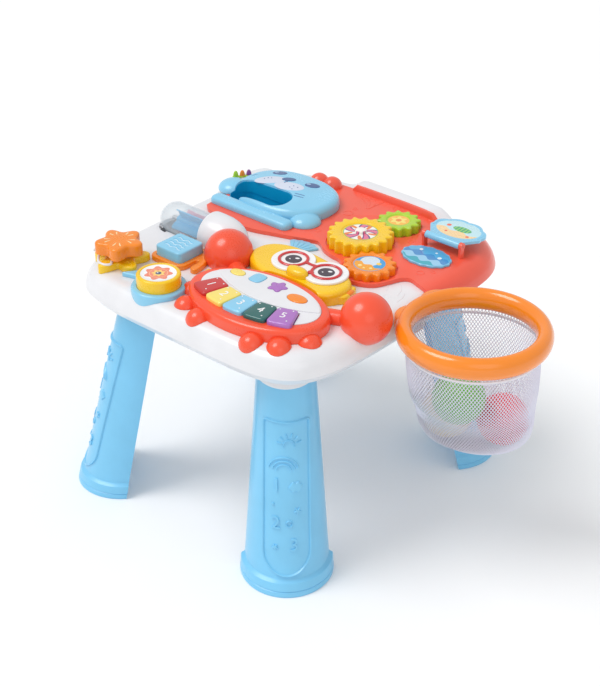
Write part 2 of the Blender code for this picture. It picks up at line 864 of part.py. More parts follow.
def foot_tools(more, tag):
    """Helpers for the crab's six feet, grown by `more`."""
    feet = []
    radius = FOOT_BUMP_RADIUS + more
    for side in (-1, 1):
        for number, (across, along) in enumerate(FOOT_BUMP_SHARES, 1):
            x, y = CRAB_X + side * across * CRAB_HALF_X, CRAB_MIDDLE_Y + along * CRAB_HALF_Y
            z = TRAY_TOP_Z - FOOT_BUMP_RADIUS / 3
            feet.append(
                ball(
                    f"foot {side} {number} {tag}",
                    (x, y, z),
                    (radius, radius, radius),
                    segments=10,
                    rings=7,
                )
            )
    return feet


def crab_space(tag):
    """Everything that the crab fills, grown by the fit, for cutting its neighbours."""
    outline = slab(f"crab outline {tag}", crab_outline(GAP), TRAY_BOTTOM_Z, CRAB_TOP_Z + 2 * OVERRUN)
    return outline, *foot_tools(GAP, tag), *claw_tools(GAP, tag)


def make_tray():
    """White tray: a hollow shell, open below, with its screw bosses and the basket's keeper."""
    outer = tray_rings(0.0, TRAY_BOTTOM_Z)
    inner = tray_rings(-TRAY_WALL, TRAY_BOTTOM_Z)
    bm = bmesh.new()
    rows = [[bm.verts.new(point) for point in ring] for ring in outer + inner]
    count = len(outer)
    skins = list(zip(rows[: count - 1], rows[1:count])) + list(zip(rows[count:], rows[count + 1 :]))
    skins.append((rows[0], rows[count]))
    for low, high in skins:
        for i in range(TRAY_STEPS):
            j = (i + 1) % TRAY_STEPS
            bm.faces.new((low[i], low[j], high[j], high[i]))
    bm.faces.new(rows[count - 1])
    bm.faces.new(rows[-1])
    tray = finish("table_shell", bm, "white")
    ceiling = TRAY_TOP_Z - TRAY_WALL + JOIN
    floor = COVER_Z + COVER_THICK + GAP
    for number, (x, y) in enumerate(screw_places(), 1):
        add(tray, rod(f"boss {number}", (x, y, floor), (x, y, ceiling), BOSS_RADIUS))
        tip = floor + SCREW_LENGTH
        cut(
            tray,
            rod(
                f"boss bore {number}",
                (x, y, floor - OVERRUN),
                (x, y, tip),
                SCREW_RADIUS + GAP,
                segments=8,
            ),
        )
    half = TONGUE_HALF_Y + GAP + KEEPER_WALL
    slot_out = TRAY_HALF_X + GAP
    slot_in = slot_out - TONGUE_THICK - 2 * GAP
    inside = slot_in - KEEPER_DEEP
    add(
        tray,
        box(
            "keeper",
            (inside, RING_Y - half, KEEPER_LOW_Z),
            (slot_out + KEEPER_WALL, RING_Y + half, KEEPER_TOP_Z),
        ),
    )
    add(
        tray,
        box(
            "keeper root",
            (inside, RING_Y - half, KEEPER_LOW_Z),
            (slot_in, RING_Y + half, KEEPER_INSIDE_TOP_Z),
        ),
    )
    slot_half = TONGUE_HALF_Y + GAP
    cut(tray, box(
        "keeper slot",
        (slot_in, RING_Y - slot_half, TRAY_BOTTOM_Z - OVERRUN),
        (slot_out, RING_Y + slot_half, TRAY_TOP_Z),
    ))
    return tray


def make_cover(tray):
    """Bottom cover with four leg sockets, the battery well and the speaker grille."""
    low, high = COVER_Z, COVER_Z + COVER_THICK
    angles = [2 * pi * step / TRAY_STEPS for step in range(TRAY_STEPS)]
    inset = TRAY_TUCK + TRAY_WALL + GAP
    outline = [tray_edge(angle, inset) for angle in angles]
    cover = slab("bottom_cover", outline, low, high, "white")
    for name, side_x, side_y in LEGS:
        frame = leg_frame(side_x, side_y)
        wall = GAP + SOCKET_WALL
        top = high + SOCKET_WALL
        socket = [leg_arc(frame, z, wall, wall) for z in (SOCKET_LOW_Z, top)]
        add(cover, helper(f"socket {name}", loft(bmesh.new(), socket)))
        ends = (SOCKET_LOW_Z - OVERRUN, top + OVERRUN)
        room = [leg_arc(frame, z, GAP, GAP) for z in ends]
        cut(cover, helper(f"socket room {name}", loft(bmesh.new(), room)))
    length, width, height = BATTERY_WELL
    half_x, half_y = length / 2, width / 2
    centre = Vector((BATTERY_X, BATTERY_Y, 0))
    wall = BATTERY_WELL_WALL
    well = box(
        "battery well",
        centre + Vector((-half_x - wall, -half_y - wall, high - JOIN)),
        centre + Vector((half_x + wall, half_y + wall, low + height)),
    )
    add(cover, well)
    cut(cover, box(
        "battery room",
        centre + Vector((-half_x, -half_y, low - OVERRUN)),
        centre + Vector((half_x, half_y, low + height - wall)),
    ))
    ledge = DOOR_LEDGE + GAP
    cut(cover, box(
        "door seat",
        centre + Vector((-half_x - ledge, -half_y - ledge, low - OVERRUN)),
        centre + Vector((half_x + ledge, half_y + ledge, low + DOOR_THICK + GAP)),
    ))
    for number, (column, row) in enumerate(GRILLE_PLACES, 1):
        x, y = SPEAKER_X + column * GRILLE_PITCH, SPEAKER_Y + row * GRILLE_PITCH
        start, end = (x, y, low - OVERRUN), (x, y, high + OVERRUN)
        cut(cover, rod(f"grille {number}", start, end, GRILLE_HOLE_RADIUS, segments=8))
    for number, (x, y) in enumerate(screw_places(), 1):
        cut(
            cover,
            rod(
                f"screw hole {number}",
                (x, y, low - OVERRUN),
                (x, y, high + OVERRUN),
                SCREW_RADIUS + GAP,
                segments=8,
            ),
        )
    door_low = centre + Vector((-half_x - DOOR_LEDGE, -half_y - DOOR_LEDGE, low))
    door_high = centre + Vector((half_x + DOOR_LEDGE, half_y + DOOR_LEDGE, low + DOOR_THICK))
    box("battery_door", door_low, door_high, "white")
    base = high + GAP
    speaker = rod(
        "speaker", (SPEAKER_X, SPEAKER_Y, base), (SPEAKER_X, SPEAKER_Y, base + SPEAKER_HEIGHT / 4),
        SPEAKER_RADIUS, "black", segments=24,
    )
    magnet_low = base + SPEAKER_HEIGHT / 4 - JOIN
    add(speaker, rod(
        "speaker magnet", (SPEAKER_X, SPEAKER_Y, magnet_low), (
            SPEAKER_X, SPEAKER_Y, base + SPEAKER_HEIGHT,
        ),
        SPEAKER_RADIUS / 2, segments=16,
    ))
    for number, (x, y) in enumerate(screw_places(), 1):
        make_screw(number, x, y, low)


def make_screw(number, x, y, seat):
    head_low = seat - GAP - SCREW_HEAD
    profile = (
        (SCREW_HEAD_RADIUS / 2, head_low), (SCREW_HEAD_RADIUS, head_low + SCREW_HEAD / 2),
        (SCREW_HEAD_RADIUS, seat - GAP), (SCREW_RADIUS, seat - GAP),
        (SCREW_RADIUS, seat + SCREW_LENGTH),
    )
    place = Matrix.Translation((x, y, 0))
    finish(f"cover_screw_{number}", loft(bmesh.new(), revolve(profile, place, 8)), "steel")


def mouth_outline(more=0.0):
    corner = MOUTH_HALF_Y - JOIN
    return rounded_box(MOUTH_X, MOUTH_Y, MOUTH_HALF_X + more, MOUTH_HALF_Y + more, corner + more, 4)


def make_deck(skin):
    """Red deck: a skin over the back of the tray, with a raised back band, wells and lugs."""
    deck = tray_deck_solid()
    keep(deck, slab("deck plan", deck_outline(), DECK_LOW_Z, TRAY_TOP_Z + 2 * DECK_THICK))
    add(deck, deck_band())
    base = deck_top()
    for number, (x, y) in enumerate(BUMP_PLACES, 1):
        radii = (BUMP_RADIUS, BUMP_RADIUS, BUMP_RADIUS)
        add(deck, ball(f"bump {number}", (x, y, base), radii, segments=12, rings=8))
    for side in (-1, 1):
        near = PAGE_X + side * (BARREL_HALF + RUN)
        far = near + side * LUG_THICK
        left, right = min(near, far), max(near, far)
        lug = rod(
            f"page lug {side}", (left, HINGE_Y, HINGE_Z), (right, HINGE_Y, HINGE_Z), BARREL_RADIUS, segments=16,
        )
        foot = box(
            f"page lug foot {side}",
            (left + GAP, HINGE_Y - LUG_FOOT_HALF, base - JOIN),
            (right - GAP, HINGE_Y + LUG_FOOT_HALF, HINGE_Z),
        )
        add(deck, foot, lug)
    bore_left = PAGE_X - BARREL_HALF - LUG_THICK - OVERRUN
    bore_right = PAGE_X + BARREL_HALF + LUG_THICK + OVERRUN
    cut(
        deck,
        rod(
            "lug bore",
            (bore_left, HINGE_Y, HINGE_Z),
            (bore_right, HINGE_Y, HINGE_Z),
            PIN_RADIUS + GAP,
            segments=12,
        ),
    )
    cut(deck, skin)
    for name, (x, y), tip in gear_places():
        radius = tip + WELL_MARGIN
        cut(
            deck,
            rod(f"{name} well", (x, y, base - WELL_DEPTH), (x, y, base + OVERRUN), radius, segments=28),
        )
        low = TRAY_TOP_Z - OVERRUN
        cut(
            deck,
            rod(f"{name} seat", (x, y, low), (x, y, base + OVERRUN), GEAR_AXLE_RADIUS + GAP, segments=12),
        )
    return deck


def deck_top():
    return TRAY_TOP_Z + GAP + DECK_THICK


def tray_deck_solid():
    bm = loft(bmesh.new(), tray_rings(GAP + DECK_THICK, TRAY_BOTTOM_Z, rim=False))
    return finish("red_panel", bm, "deck_red")


def deck_band():
    """The raised band that stands along the inside of the back rim."""
    rings = []
    steps = 14
    outer, inner = RIM_WIDTH + 3 * GAP, DECK_BAND_IN
    low, high = deck_top() - JOIN, deck_top() + DECK_BAND_RISE
    for step in range(steps + 1):
        angle = DECK_BAND_START + (DECK_BAND_END - DECK_BAND_START) * step / steps
        out_x, out_y = tray_edge(angle, outer)
        in_x, in_y = tray_edge(angle, inner)
        rings.append([(out_x, out_y, low), (out_x, out_y, high), (in_x, in_y, high), (in_x, in_y, low)])
    return helper("deck band", loft(bmesh.new(), rings))


def make_seal(tray, deck, skin):
    """Seal casing with its open mouth, and the blue cup that lines the mouth."""
    centre = (SEAL_X, SEAL_Y)
    base = deck_top() + GAP
    top = base + SEAL_HEIGHT
    head = ellipse(SEAL_X, SEAL_Y, SEAL_HALF_X, SEAL_HALF_Y, 30, SEAL_SQUARENESS)
    dome = SEAL_HEIGHT / 5
    seal = pillow("seal_body", head, centre, base, top, SEAL_HEIGHT / 2, "aqua", steps=3, dome=dome)
    lip_x, lip_y = MOUTH_X + LIP_HALF_Y, MOUTH_Y - MOUTH_HALF_Y - LIP_HALF_Y
    lip = rounded_box(lip_x, lip_y, LIP_HALF_X, LIP_HALF_Y, LIP_CORNER, 3)
    add(seal, pillow("seal lip", lip, (lip_x, lip_y), base, base + LIP_HEIGHT, LIP_ROUND))
    for tag, (across, along) in (("left", LEFT_FLIPPER_SHARES), ("right", RIGHT_FLIPPER_SHARES)):
        place = (SEAL_X + across * SEAL_HALF_X, SEAL_Y + along * SEAL_HALF_Y, base)
        add(
            seal,
            ball(
                f"{tag} flipper",
                place,
                (FLIPPER_RADIUS, FLIPPER_RADIUS, FLIPPER_HEIGHT),
                segments=12,
                rings=6,
            ),
        )
    inner = grown(head, centre, -SEAL_WALL)
    ceiling = top - SEAL_WALL - dome
    hollow = pillow("seal hollow", inner, centre, base - OVERRUN, ceiling, SEAL_HEIGHT / 2, steps=2)
    rim = slab("mouth surround", mouth_outline(SEAL_WALL), base - 2 * OVERRUN, top)
    cut(hollow, rim)
    cut(seal, hollow)
    deck_floor = box(
        "seal floor", (-TRAY_FRONT, -TRAY_FRONT, base - SEAL_HEIGHT), (TRAY_FRONT, TRAY_FRONT, base),
    )
    cut(seal, deck_floor, skin)
    cut(seal, slab("mouth opening", mouth_outline(), base - OVERRUN, top + OVERRUN))
    cup_low = TRAY_TOP_Z - MOUTH_DEPTH
    outer = mouth_outline(MOUTH_CUP_WALL)
    cup = slab("mouth_cup", outer, cup_low, base - GAP, "deep_blue")
    cut(cup, slab("cup room", mouth_outline(), cup_low + MOUTH_CUP_WALL, base + OVERRUN))
    hole = slab("mouth hole", mouth_outline(MOUTH_CUP_WALL + GAP), TRAY_BOTTOM_Z, base + OVERRUN)
    cut(tray, hole)
    cut(deck, hole)
    make_leaves()


def make_leaves():
    """Three small leaves on a strip behind the seal's left flipper."""
    turn = LEAF_TURN
    base = TRAY_TOP_Z + RIM_RISE + GAP
    strip = rounded_box(LEAF_X, LEAF_Y, LEAF_LENGTH / 2, LEAF_WIDTH / 2, LEAF_WIDTH / 3, 2)
    strip = turned(strip, (LEAF_X, LEAF_Y), turn)
    leaves = slab("leaf_strip", strip, base, base + LEAF_WIDTH / 2, "lime")
    for number in (-1, 0, 1):
        along = number * LEAF_LENGTH / 3
        place = (LEAF_X + along * cos(turn), LEAF_Y + along * sin(turn), base + LEAF_WIDTH / 2)
        size = (LEAF_WIDTH / 2, LEAF_WIDTH / 2, LEAF_HEIGHT)
        leaf = ball(f"leaf {number}", place, size, segments=10, rings=8)
        add(leaves, leaf)
    below = box(
        "leaf floor", (-TRAY_FRONT, -TRAY_FRONT, base - LEAF_HEIGHT * 2), (TRAY_FRONT, TRAY_FRONT, base),
    )
    cut(leaves, below)


def make_crab(skin):
    """Crab casing: hollow body, six feet, two claws and their arms, open for the faceplate."""
    centre = (CRAB_X, CRAB_MIDDLE_Y)
    low = TRAY_SIDE_Z
    crab = pillow("crab_body", crab_outline(), centre, low, CRAB_TOP_Z, CRAB_EDGE, "red")
    add(crab, *foot_tools(0.0, "outside"))
    left, right = claw_tools(0.0, "outside")
    arms = []
    for tag, claw in (("left", LEFT_CLAW), ("right", RIGHT_CLAW)):
        toward = Vector((CRAB_X, CRAB_Y, TRAY_TOP_Z + ARM_RADIUS / 3))
        start = Vector((claw[0], claw[1], TRAY_TOP_Z + ARM_RADIUS / 3))
        arms.append(
            rod(f"{tag} arm", start, start + (toward - start) * ARM_REACH_SHARE, ARM_RADIUS, segments=12)
        )
    add(crab, *arms, left, right)
    inside = pillow(
        "crab inside", crab_outline(-CRAB_WALL), centre, low - OVERRUN, CRAB_TOP_Z - CRAB_WALL, CRAB_EDGE,
    )
    cut(crab, inside)
    room = CLAW_RADIUS - CLAW_WALL
    for tag, claw in (("left", LEFT_CLAW), ("right", RIGHT_CLAW)):
        cut(crab, ball(f"{tag} claw inside", claw, (room, room, room), segments=12, rings=8))
        away = Vector((claw[0] - CRAB_X, claw[1] - CRAB_Y, 0)).normalized()
        across = Vector((-away.y, away.x, 0)) * (1 if tag == "right" else -1)
        tip = Vector(claw) + across * CLAW_RADIUS + Vector((0, 0, CLAW_RADIUS * CLAW_NOTCH_SHARE))
        size = (CLAW_NOTCH, CLAW_NOTCH, CLAW_NOTCH)
        cut(crab, ball(f"{tag} claw notch", tip, size, segments=10, rings=6))
    seat = faceplate_low() - GAP
    plate = ellipse(CRAB_X, CRAB_Y, FACEPLATE_HALF_X + GAP, FACEPLATE_HALF_Y + GAP, 40)
    cut(crab, slab("faceplate seat", plate, seat, CRAB_TOP_Z + OVERRUN))
    inner = ellipse(
        CRAB_X, CRAB_Y, FACEPLATE_HALF_X - FACEPLATE_LEDGE, FACEPLATE_HALF_Y - FACEPLATE_LEDGE, 40,
    )
    cut(crab, slab("faceplate window", inner, seat - CRAB_WALL - OVERRUN, CRAB_TOP_Z))
    cut(crab, skin)
    return crab


def faceplate_low():
    return CRAB_TOP_Z + FACEPLATE_PROUD - FACEPLATE_THICK


def make_piano(crab):
    """White faceplate, five keys, four melody buttons and the board under them."""
    outline = ellipse(CRAB_X, CRAB_Y, FACEPLATE_HALF_X, FACEPLATE_HALF_Y, 40)
    low, high = faceplate_low(), CRAB_TOP_Z + FACEPLATE_PROUD
    plate = slab("piano_faceplate", outline, low, high, "white")
    key_colours = ("red", "pale_yellow", "aqua", "teal", "purple")
    floor = TRAY_TOP_Z + GAP
    length, width, thick = BOARD_SIZE
    key_low = floor + thick + GAP + KEY_TRAVEL
    window = slab("key window", key_window(), key_low - OVERRUN, KEY_TOP_Z + OVERRUN)
    cut(plate, window)
    cut(crab, window)
    for index in range(KEY_COUNT):
        outline, centre = key_outline(index)
        origin = (*centre, KEY_TOP_Z)
        pillow(
            f"piano_key_{index + 1}", outline, centre, key_low, KEY_TOP_Z, KEY_ROUND,
            key_colours[index], origin, steps=2,
        )
    button_colours = ("pale_yellow", "aqua", "purple", "orange")
    for index in range(len(BUTTON_SIZES)):
        outline, centre = button_outline(index)
        window, _ = button_outline(index, RUN)
        button_low = BUTTON_TOP_Z - BUTTON_HEIGHT
        tool = slab(f"button window {index}", window, button_low - OVERRUN, BUTTON_TOP_Z + OVERRUN)
        cut(plate, tool)
        cut(crab, tool)
        origin = (*centre, BUTTON_TOP_Z)
        pillow(
            f"melody_button_{index + 1}", outline, centre, button_low, BUTTON_TOP_Z, BUTTON_ROUND,
            button_colours[index], origin, steps=2,
        )
    box(
        "circuit_board",
        (CRAB_X - length / 2, BOARD_Y - width / 2, floor),
        (CRAB_X + length / 2, BOARD_Y + width / 2, floor + thick),
        "board",
    )


def make_switch(tray):
    """Yellow slide switch that stands through a slot in the tray."""
    half_x, half_y = SWITCH_SIZE[0] / 2, SWITCH_SIZE[1] / 2
    low = TRAY_TOP_Z - TRAY_WALL - GAP
    high = low + SWITCH_SIZE[2]
    outline = rounded_box(SWITCH_X, SWITCH_Y, half_x, half_y, half_x / 2, 2)
    slot_y = half_y + SWITCH_TRAVEL + RUN
    slot = rounded_box(SWITCH_X, SWITCH_Y, half_x + RUN, slot_y, half_x / 2 + RUN, 2)
    cut(tray, slab("switch slot", slot, low - OVERRUN, high + OVERRUN))
    pillow(
        "mode_switch", outline, (SWITCH_X, SWITCH_Y), low, high, half_x / 2, "yellow",
        (SWITCH_X, SWITCH_Y, low), steps=2,
    )


def make_owl(skin):
    """Owl casing with its white eye plate, red glasses and beak button."""
    centre = (OWL_BODY_X, OWL_BODY_Y)
    low = TRAY_TOP_Z - OVERRUN
    body = turned(ellipse(*centre, OWL_HALF_X, OWL_HALF_Y, 32, OWL_SQUARENESS), centre, OWL_TILT)
    owl = pillow("owl_body", body, centre, low, OWL_TOP_Z, OWL_EDGE, "yellow")
    for side in (-1, 1):
        tuft = [
            (centre[0] + side * x * OWL_HALF_X, centre[1] + y * OWL_HALF_Y) for x, y in TUFT_REACH_SHARES
        ]
        tuft = turned(tuft, centre, OWL_TILT)
        add(owl, slab(f"tuft {side}", tuft, low, OWL_TOP_Z - OWL_EDGE))
    inner = ellipse(*centre, OWL_HALF_X - OWL_WALL, OWL_HALF_Y - OWL_WALL, 32, OWL_SQUARENESS)
    inner = turned(inner, centre, OWL_TILT)
    cut(owl, pillow("owl inside", inner, centre, low - OVERRUN, OWL_TOP_Z - OWL_WALL, OWL_EDGE, steps=2))
    cut(owl, skin, *crab_space("clear of owl"))
    plate_low = OWL_TOP_Z + GAP
    plate_high = plate_low + EYE_PLATE_THICK
    left, right = OWL_X - EYE_SPREAD, OWL_X + EYE_SPREAD
    plate = slab(
        "eye_plate",
        ellipse(left, OWL_Y, EYE_DISC_RADIUS, EYE_DISC_RADIUS, 28),
        plate_low,
        plate_high,
        "white",
    )
    add(
        plate,
        slab(
            "right eye disc",
            ellipse(right, OWL_Y, EYE_DISC_RADIUS, EYE_DISC_RADIUS, 28),
            plate_low,
            plate_high,
        ),
    )
    rim_low = plate_high + GAP
    rim_high = rim_low + GLASSES_HEIGHT
    outer = GLASSES_RADIUS + GLASSES_WIDTH / 2
    inner = GLASSES_RADIUS - GLASSES_WIDTH / 2
    glasses = slab("glasses", ellipse(left, OWL_Y, outer, outer, 28), rim_low, rim_high, "red")
    add(glasses, slab("right rim", ellipse(right, OWL_Y, outer, outer, 28), rim_low, rim_high))
    bridge = EYE_SPREAD - inner
    add(glasses, box(
        "bridge", (OWL_X - bridge, OWL_Y, rim_low), (OWL_X + bridge, OWL_Y + GLASSES_WIDTH, rim_high),
    ))
    for x in (left, right):
        cut(
            glasses,
            slab(
                f"lens {x:.3f}",
                ellipse(x, OWL_Y, inner, inner, 24),
                rim_low - OVERRUN,
                rim_high + OVERRUN,
            ),
        )
    beak_y = OWL_Y + BEAK_OFFSET_Y
    beak_low = TRAY_TOP_Z + 2 * GAP + BEAK_TRAVEL
    outline = ellipse(OWL_X, beak_y, BEAK_HALF_X, BEAK_HALF_Y, 20)
    guide = slab(
        "beak guide", ellipse(OWL_X, beak_y, BEAK_HALF_X + RUN, BEAK_HALF_Y + RUN, 20),
        beak_low - OVERRUN, BEAK_TOP_Z + OVERRUN,
    )
    cut(owl, guide)
    cut(plate, guide)
    cut(glasses, guide)
    pillow(
        "beak_button", outline, (OWL_X, beak_y), beak_low, BEAK_TOP_Z, BEAK_ROUND, "yellow",
        (OWL_X, beak_y, BEAK_TOP_Z), steps=3,
    )
    make_fan()


def make_fan():
    """Light-blue fan crest lying on the tray behind the owl."""
    steps = 10
    points = [(FAN_X, FAN_Y)]
    for step in range(steps + 1):
        turn = FAN_TURN + FAN_SPREAD * (steps / 2 - step) / steps
        points.append((FAN_X + FAN_RADIUS * cos(turn), FAN_Y + FAN_RADIUS * sin(turn)))
    low = TRAY_TOP_Z + GAP
    fan = slab("fan_crest", points, low, low + FAN_THICK, "aqua")
    edge = [(x, y - GAP) for x, y in deck_outline()]
    cut(fan, slab("deck clear of fan", edge, low - OVERRUN, low + FAN_THICK + OVERRUN))


def make_star(skin):
    """Yellow starfish base with its post, and the orange star that spins on it."""
    centre = (STAR_X, STAR_Y)
    low = TRAY_SIDE_Z + TRAY_WALL
    outline = star(STAR_X, STAR_Y, STARFISH_RADIUS, STARFISH_WAIST, STARFISH_TURN)
    base = pillow("starfish_base", outline, centre, low, STARFISH_TOP_Z, STAR_EDGE, "yellow", steps=2)
    post_low = STARFISH_TOP_Z - STAR_EDGE
    add(base, rod("star post", (*centre, post_low), (*centre, STAR_POST_TOP_Z), STAR_POST_RADIUS))
    cut(base, skin)
    outline = star(STAR_X, STAR_Y, STAR_RADIUS, STAR_WAIST, STAR_TURN)
    star_low = STAR_TOP_Z - STAR_HEIGHT
    spinner = pillow(
        "star_spinner", outline, centre, star_low, STAR_TOP_Z, STAR_EDGE, "orange", (*centre, star_low), steps=2,
    )
    bore = rod(
        "star bore",
        (*centre, star_low - OVERRUN),
        (*centre, STAR_POST_TOP_Z + GAP),
        STAR_POST_RADIUS + GAP,
    )
    cut(spinner, bore)


def make_fish(skin):
    """Blue collar with a tail fin, and the yellow drum button inside it."""
    centre = (FISH_X, FISH_Y)
    low = TRAY_SIDE_Z + TRAY_WALL
    ring = ellipse(FISH_X, FISH_Y, COLLAR_RADIUS, COLLAR_RADIUS, 32)
    collar = pillow("fish_collar", ring, centre, low, COLLAR_TOP_Z, COLLAR_EDGE, "aqua", steps=2)
    reach, half = TAIL_REACH, TAIL_HALF_WIDTH
    tail = [
        (FISH_X, FISH_Y - half / 3),
        (FISH_X + reach, FISH_Y - half),
        (FISH_X + reach * TAIL_FORK_SHARE, FISH_Y),
    ]
    tail += [(FISH_X + reach, FISH_Y + half), (FISH_X, FISH_Y + half / 3)]
    tail = turned(tail, centre, TAIL_TURN)
    add(collar, slab("tail fin", tail, low, COLLAR_TOP_Z - COLLAR_EDGE / 3))
    bore = ellipse(FISH_X, FISH_Y, FISH_RADIUS + RUN, FISH_RADIUS + RUN, 32)
    floor = COLLAR_TOP_Z - COLLAR_EDGE
    cut(collar, slab("drum guide", bore, TRAY_TOP_Z + GAP, floor + 2 * OVERRUN))
    cut(collar, skin, *starfish_clearance(), *crab_space("clear of fish"))
    bottom = TRAY_TOP_Z + 2 * GAP + FISH_TRAVEL
    outline = ellipse(FISH_X, FISH_Y, FISH_RADIUS, FISH_RADIUS, 32)
    drum = pillow(
        "fish_button",
        outline,
        centre,
        bottom,
        FISH_TOP_Z,
        FISH_EDGE,
        "yellow",
        (*centre, FISH_TOP_Z),
        steps=2,
    )
    inner = FISH_RADIUS - FISH_WALL
    room = slab(
        "drum room", ellipse(FISH_X, FISH_Y, inner, inner, 24), bottom - OVERRUN, FISH_TOP_Z - FISH_WALL,
    )
    cut(drum, room)


def starfish_clearance():
    outline = star(STAR_X, STAR_Y, STARFISH_RADIUS + GAP, STARFISH_WAIST + GAP, STARFISH_TURN)
    return (slab("clear of starfish", outline, TRAY_BOTTOM_Z, STARFISH_TOP_Z + OVERRUN),)


def make_wave(skin):
    """Orange frame with its curved arm, and the light-blue wave key inside it."""
    low = TRAY_SIDE_Z + TRAY_WALL
    outer_half = WAVE_HALF + RUN + WAVE_FRAME_WIDTH
    ring = rounded_box(WAVE_X, WAVE_Y, outer_half, outer_half, WAVE_CORNER + WAVE_FRAME_WIDTH, 3)
    frame = slab("wave_key_frame", ring, low, WAVE_FRAME_TOP_Z, "orange")
    arm = [(WAVE_X + outer_half + x, WAVE_Y + outer_half / 2 + y) for x, y in WAVE_ARM]
    add(frame, slab("frame arm", arm, low, WAVE_FRAME_TOP_Z - GAP))
    room = rounded_box(WAVE_X, WAVE_Y, WAVE_HALF + RUN, WAVE_HALF + RUN, WAVE_CORNER + RUN, 3)
    cut(frame, slab("wave guide", room, low - OVERRUN, WAVE_FRAME_TOP_Z + OVERRUN))
    clear_radius = COLLAR_RADIUS + GAP
    collar = slab(
        "clear of collar",
        ellipse(FISH_X, FISH_Y, clear_radius, clear_radius, 32),
        low - OVERRUN,
        FISH_TOP_Z,
    )
    cut(frame, skin, collar, drum_room("clear of cradle"), *claw_tools(GAP, "clear of frame"))
    outline = rounded_box(WAVE_X, WAVE_Y, WAVE_HALF, WAVE_HALF, WAVE_CORNER, 3)
    bottom = TRAY_TOP_Z + 2 * GAP + WAVE_TRAVEL
    pillow(
        "wave_key", outline, (WAVE_X, WAVE_Y), bottom, WAVE_TOP_Z, WAVE_CORNER / 3, "aqua",
        (WAVE_X, WAVE_Y, WAVE_TOP_Z), steps=2,
    )


def drum_room(name):
    """The space round the roller and its cradle."""
    return capsule(
        name, DRUM_RADIUS + DRUM_ROOM + CRADLE_WALL + GAP, DRUM_RIGHT_X + 2 * GAP + CRADLE_WALL,
    )


def capsule(name, radius, right):
    """A helper round the roller's axis: a ball end at the left and a flat end at the right."""
    profile = [(radius, DRUM_RIGHT_X - right)]
    steps = 6
    for step in range(steps):
        turn = pi / 2 * step / steps
        profile.append((radius * cos(turn), DRUM_RIGHT_X - DRUM_DOME_X + radius * sin(turn)))
    return helper(name, loft(bmesh.new(), revolve(profile, drum_place(DRUM_RIGHT_X), DRUM_SEGMENTS)))


def make_roller(tray, skin):
    """White hood and cradle, steel axle, clear drum and the blue vane inside it."""
    hood_rings = [(HOOD_RADIUS * up or JOIN, -HOOD_LENGTH * along) for along, up in HOOD_PROFILE_SHARES]
    place = drum_place(HOOD_MOUTH_X)
    hood = finish("roller_hood", loft(bmesh.new(), revolve(hood_rings, place, DRUM_SEGMENTS)), "white")
    cut(hood, skin)
    room = DRUM_RADIUS + DRUM_ROOM
    cradle = capsule("cradle", room + CRADLE_WALL, DRUM_RIGHT_X + GAP + CRADLE_WALL)
    keep(cradle, tray_solid("inside the tray skin", GAP + JOIN, TRAY_BOTTOM_Z))
    add(hood, cradle)
    cut(hood, capsule("drum space", room, DRUM_RIGHT_X + GAP), *crab_space("clear of hood"))
    cut(
        hood,
        rod(
            "axle seat",
            (DRUM_RIGHT_X - OVERRUN, DRUM_Y, DRUM_Z),
            (AXLE_RIGHT_X + GAP, DRUM_Y, DRUM_Z),
            AXLE_RADIUS + GAP,
            segments=12,
        ),
    )
    cut(tray, drum_room("cradle hole"))
    rod(
        "roller_axle",
        (AXLE_LEFT_X, DRUM_Y, DRUM_Z),
        (AXLE_RIGHT_X, DRUM_Y, DRUM_Z),
        AXLE_RADIUS,
        "steel",
        segments=12,
    )
    make_drum()


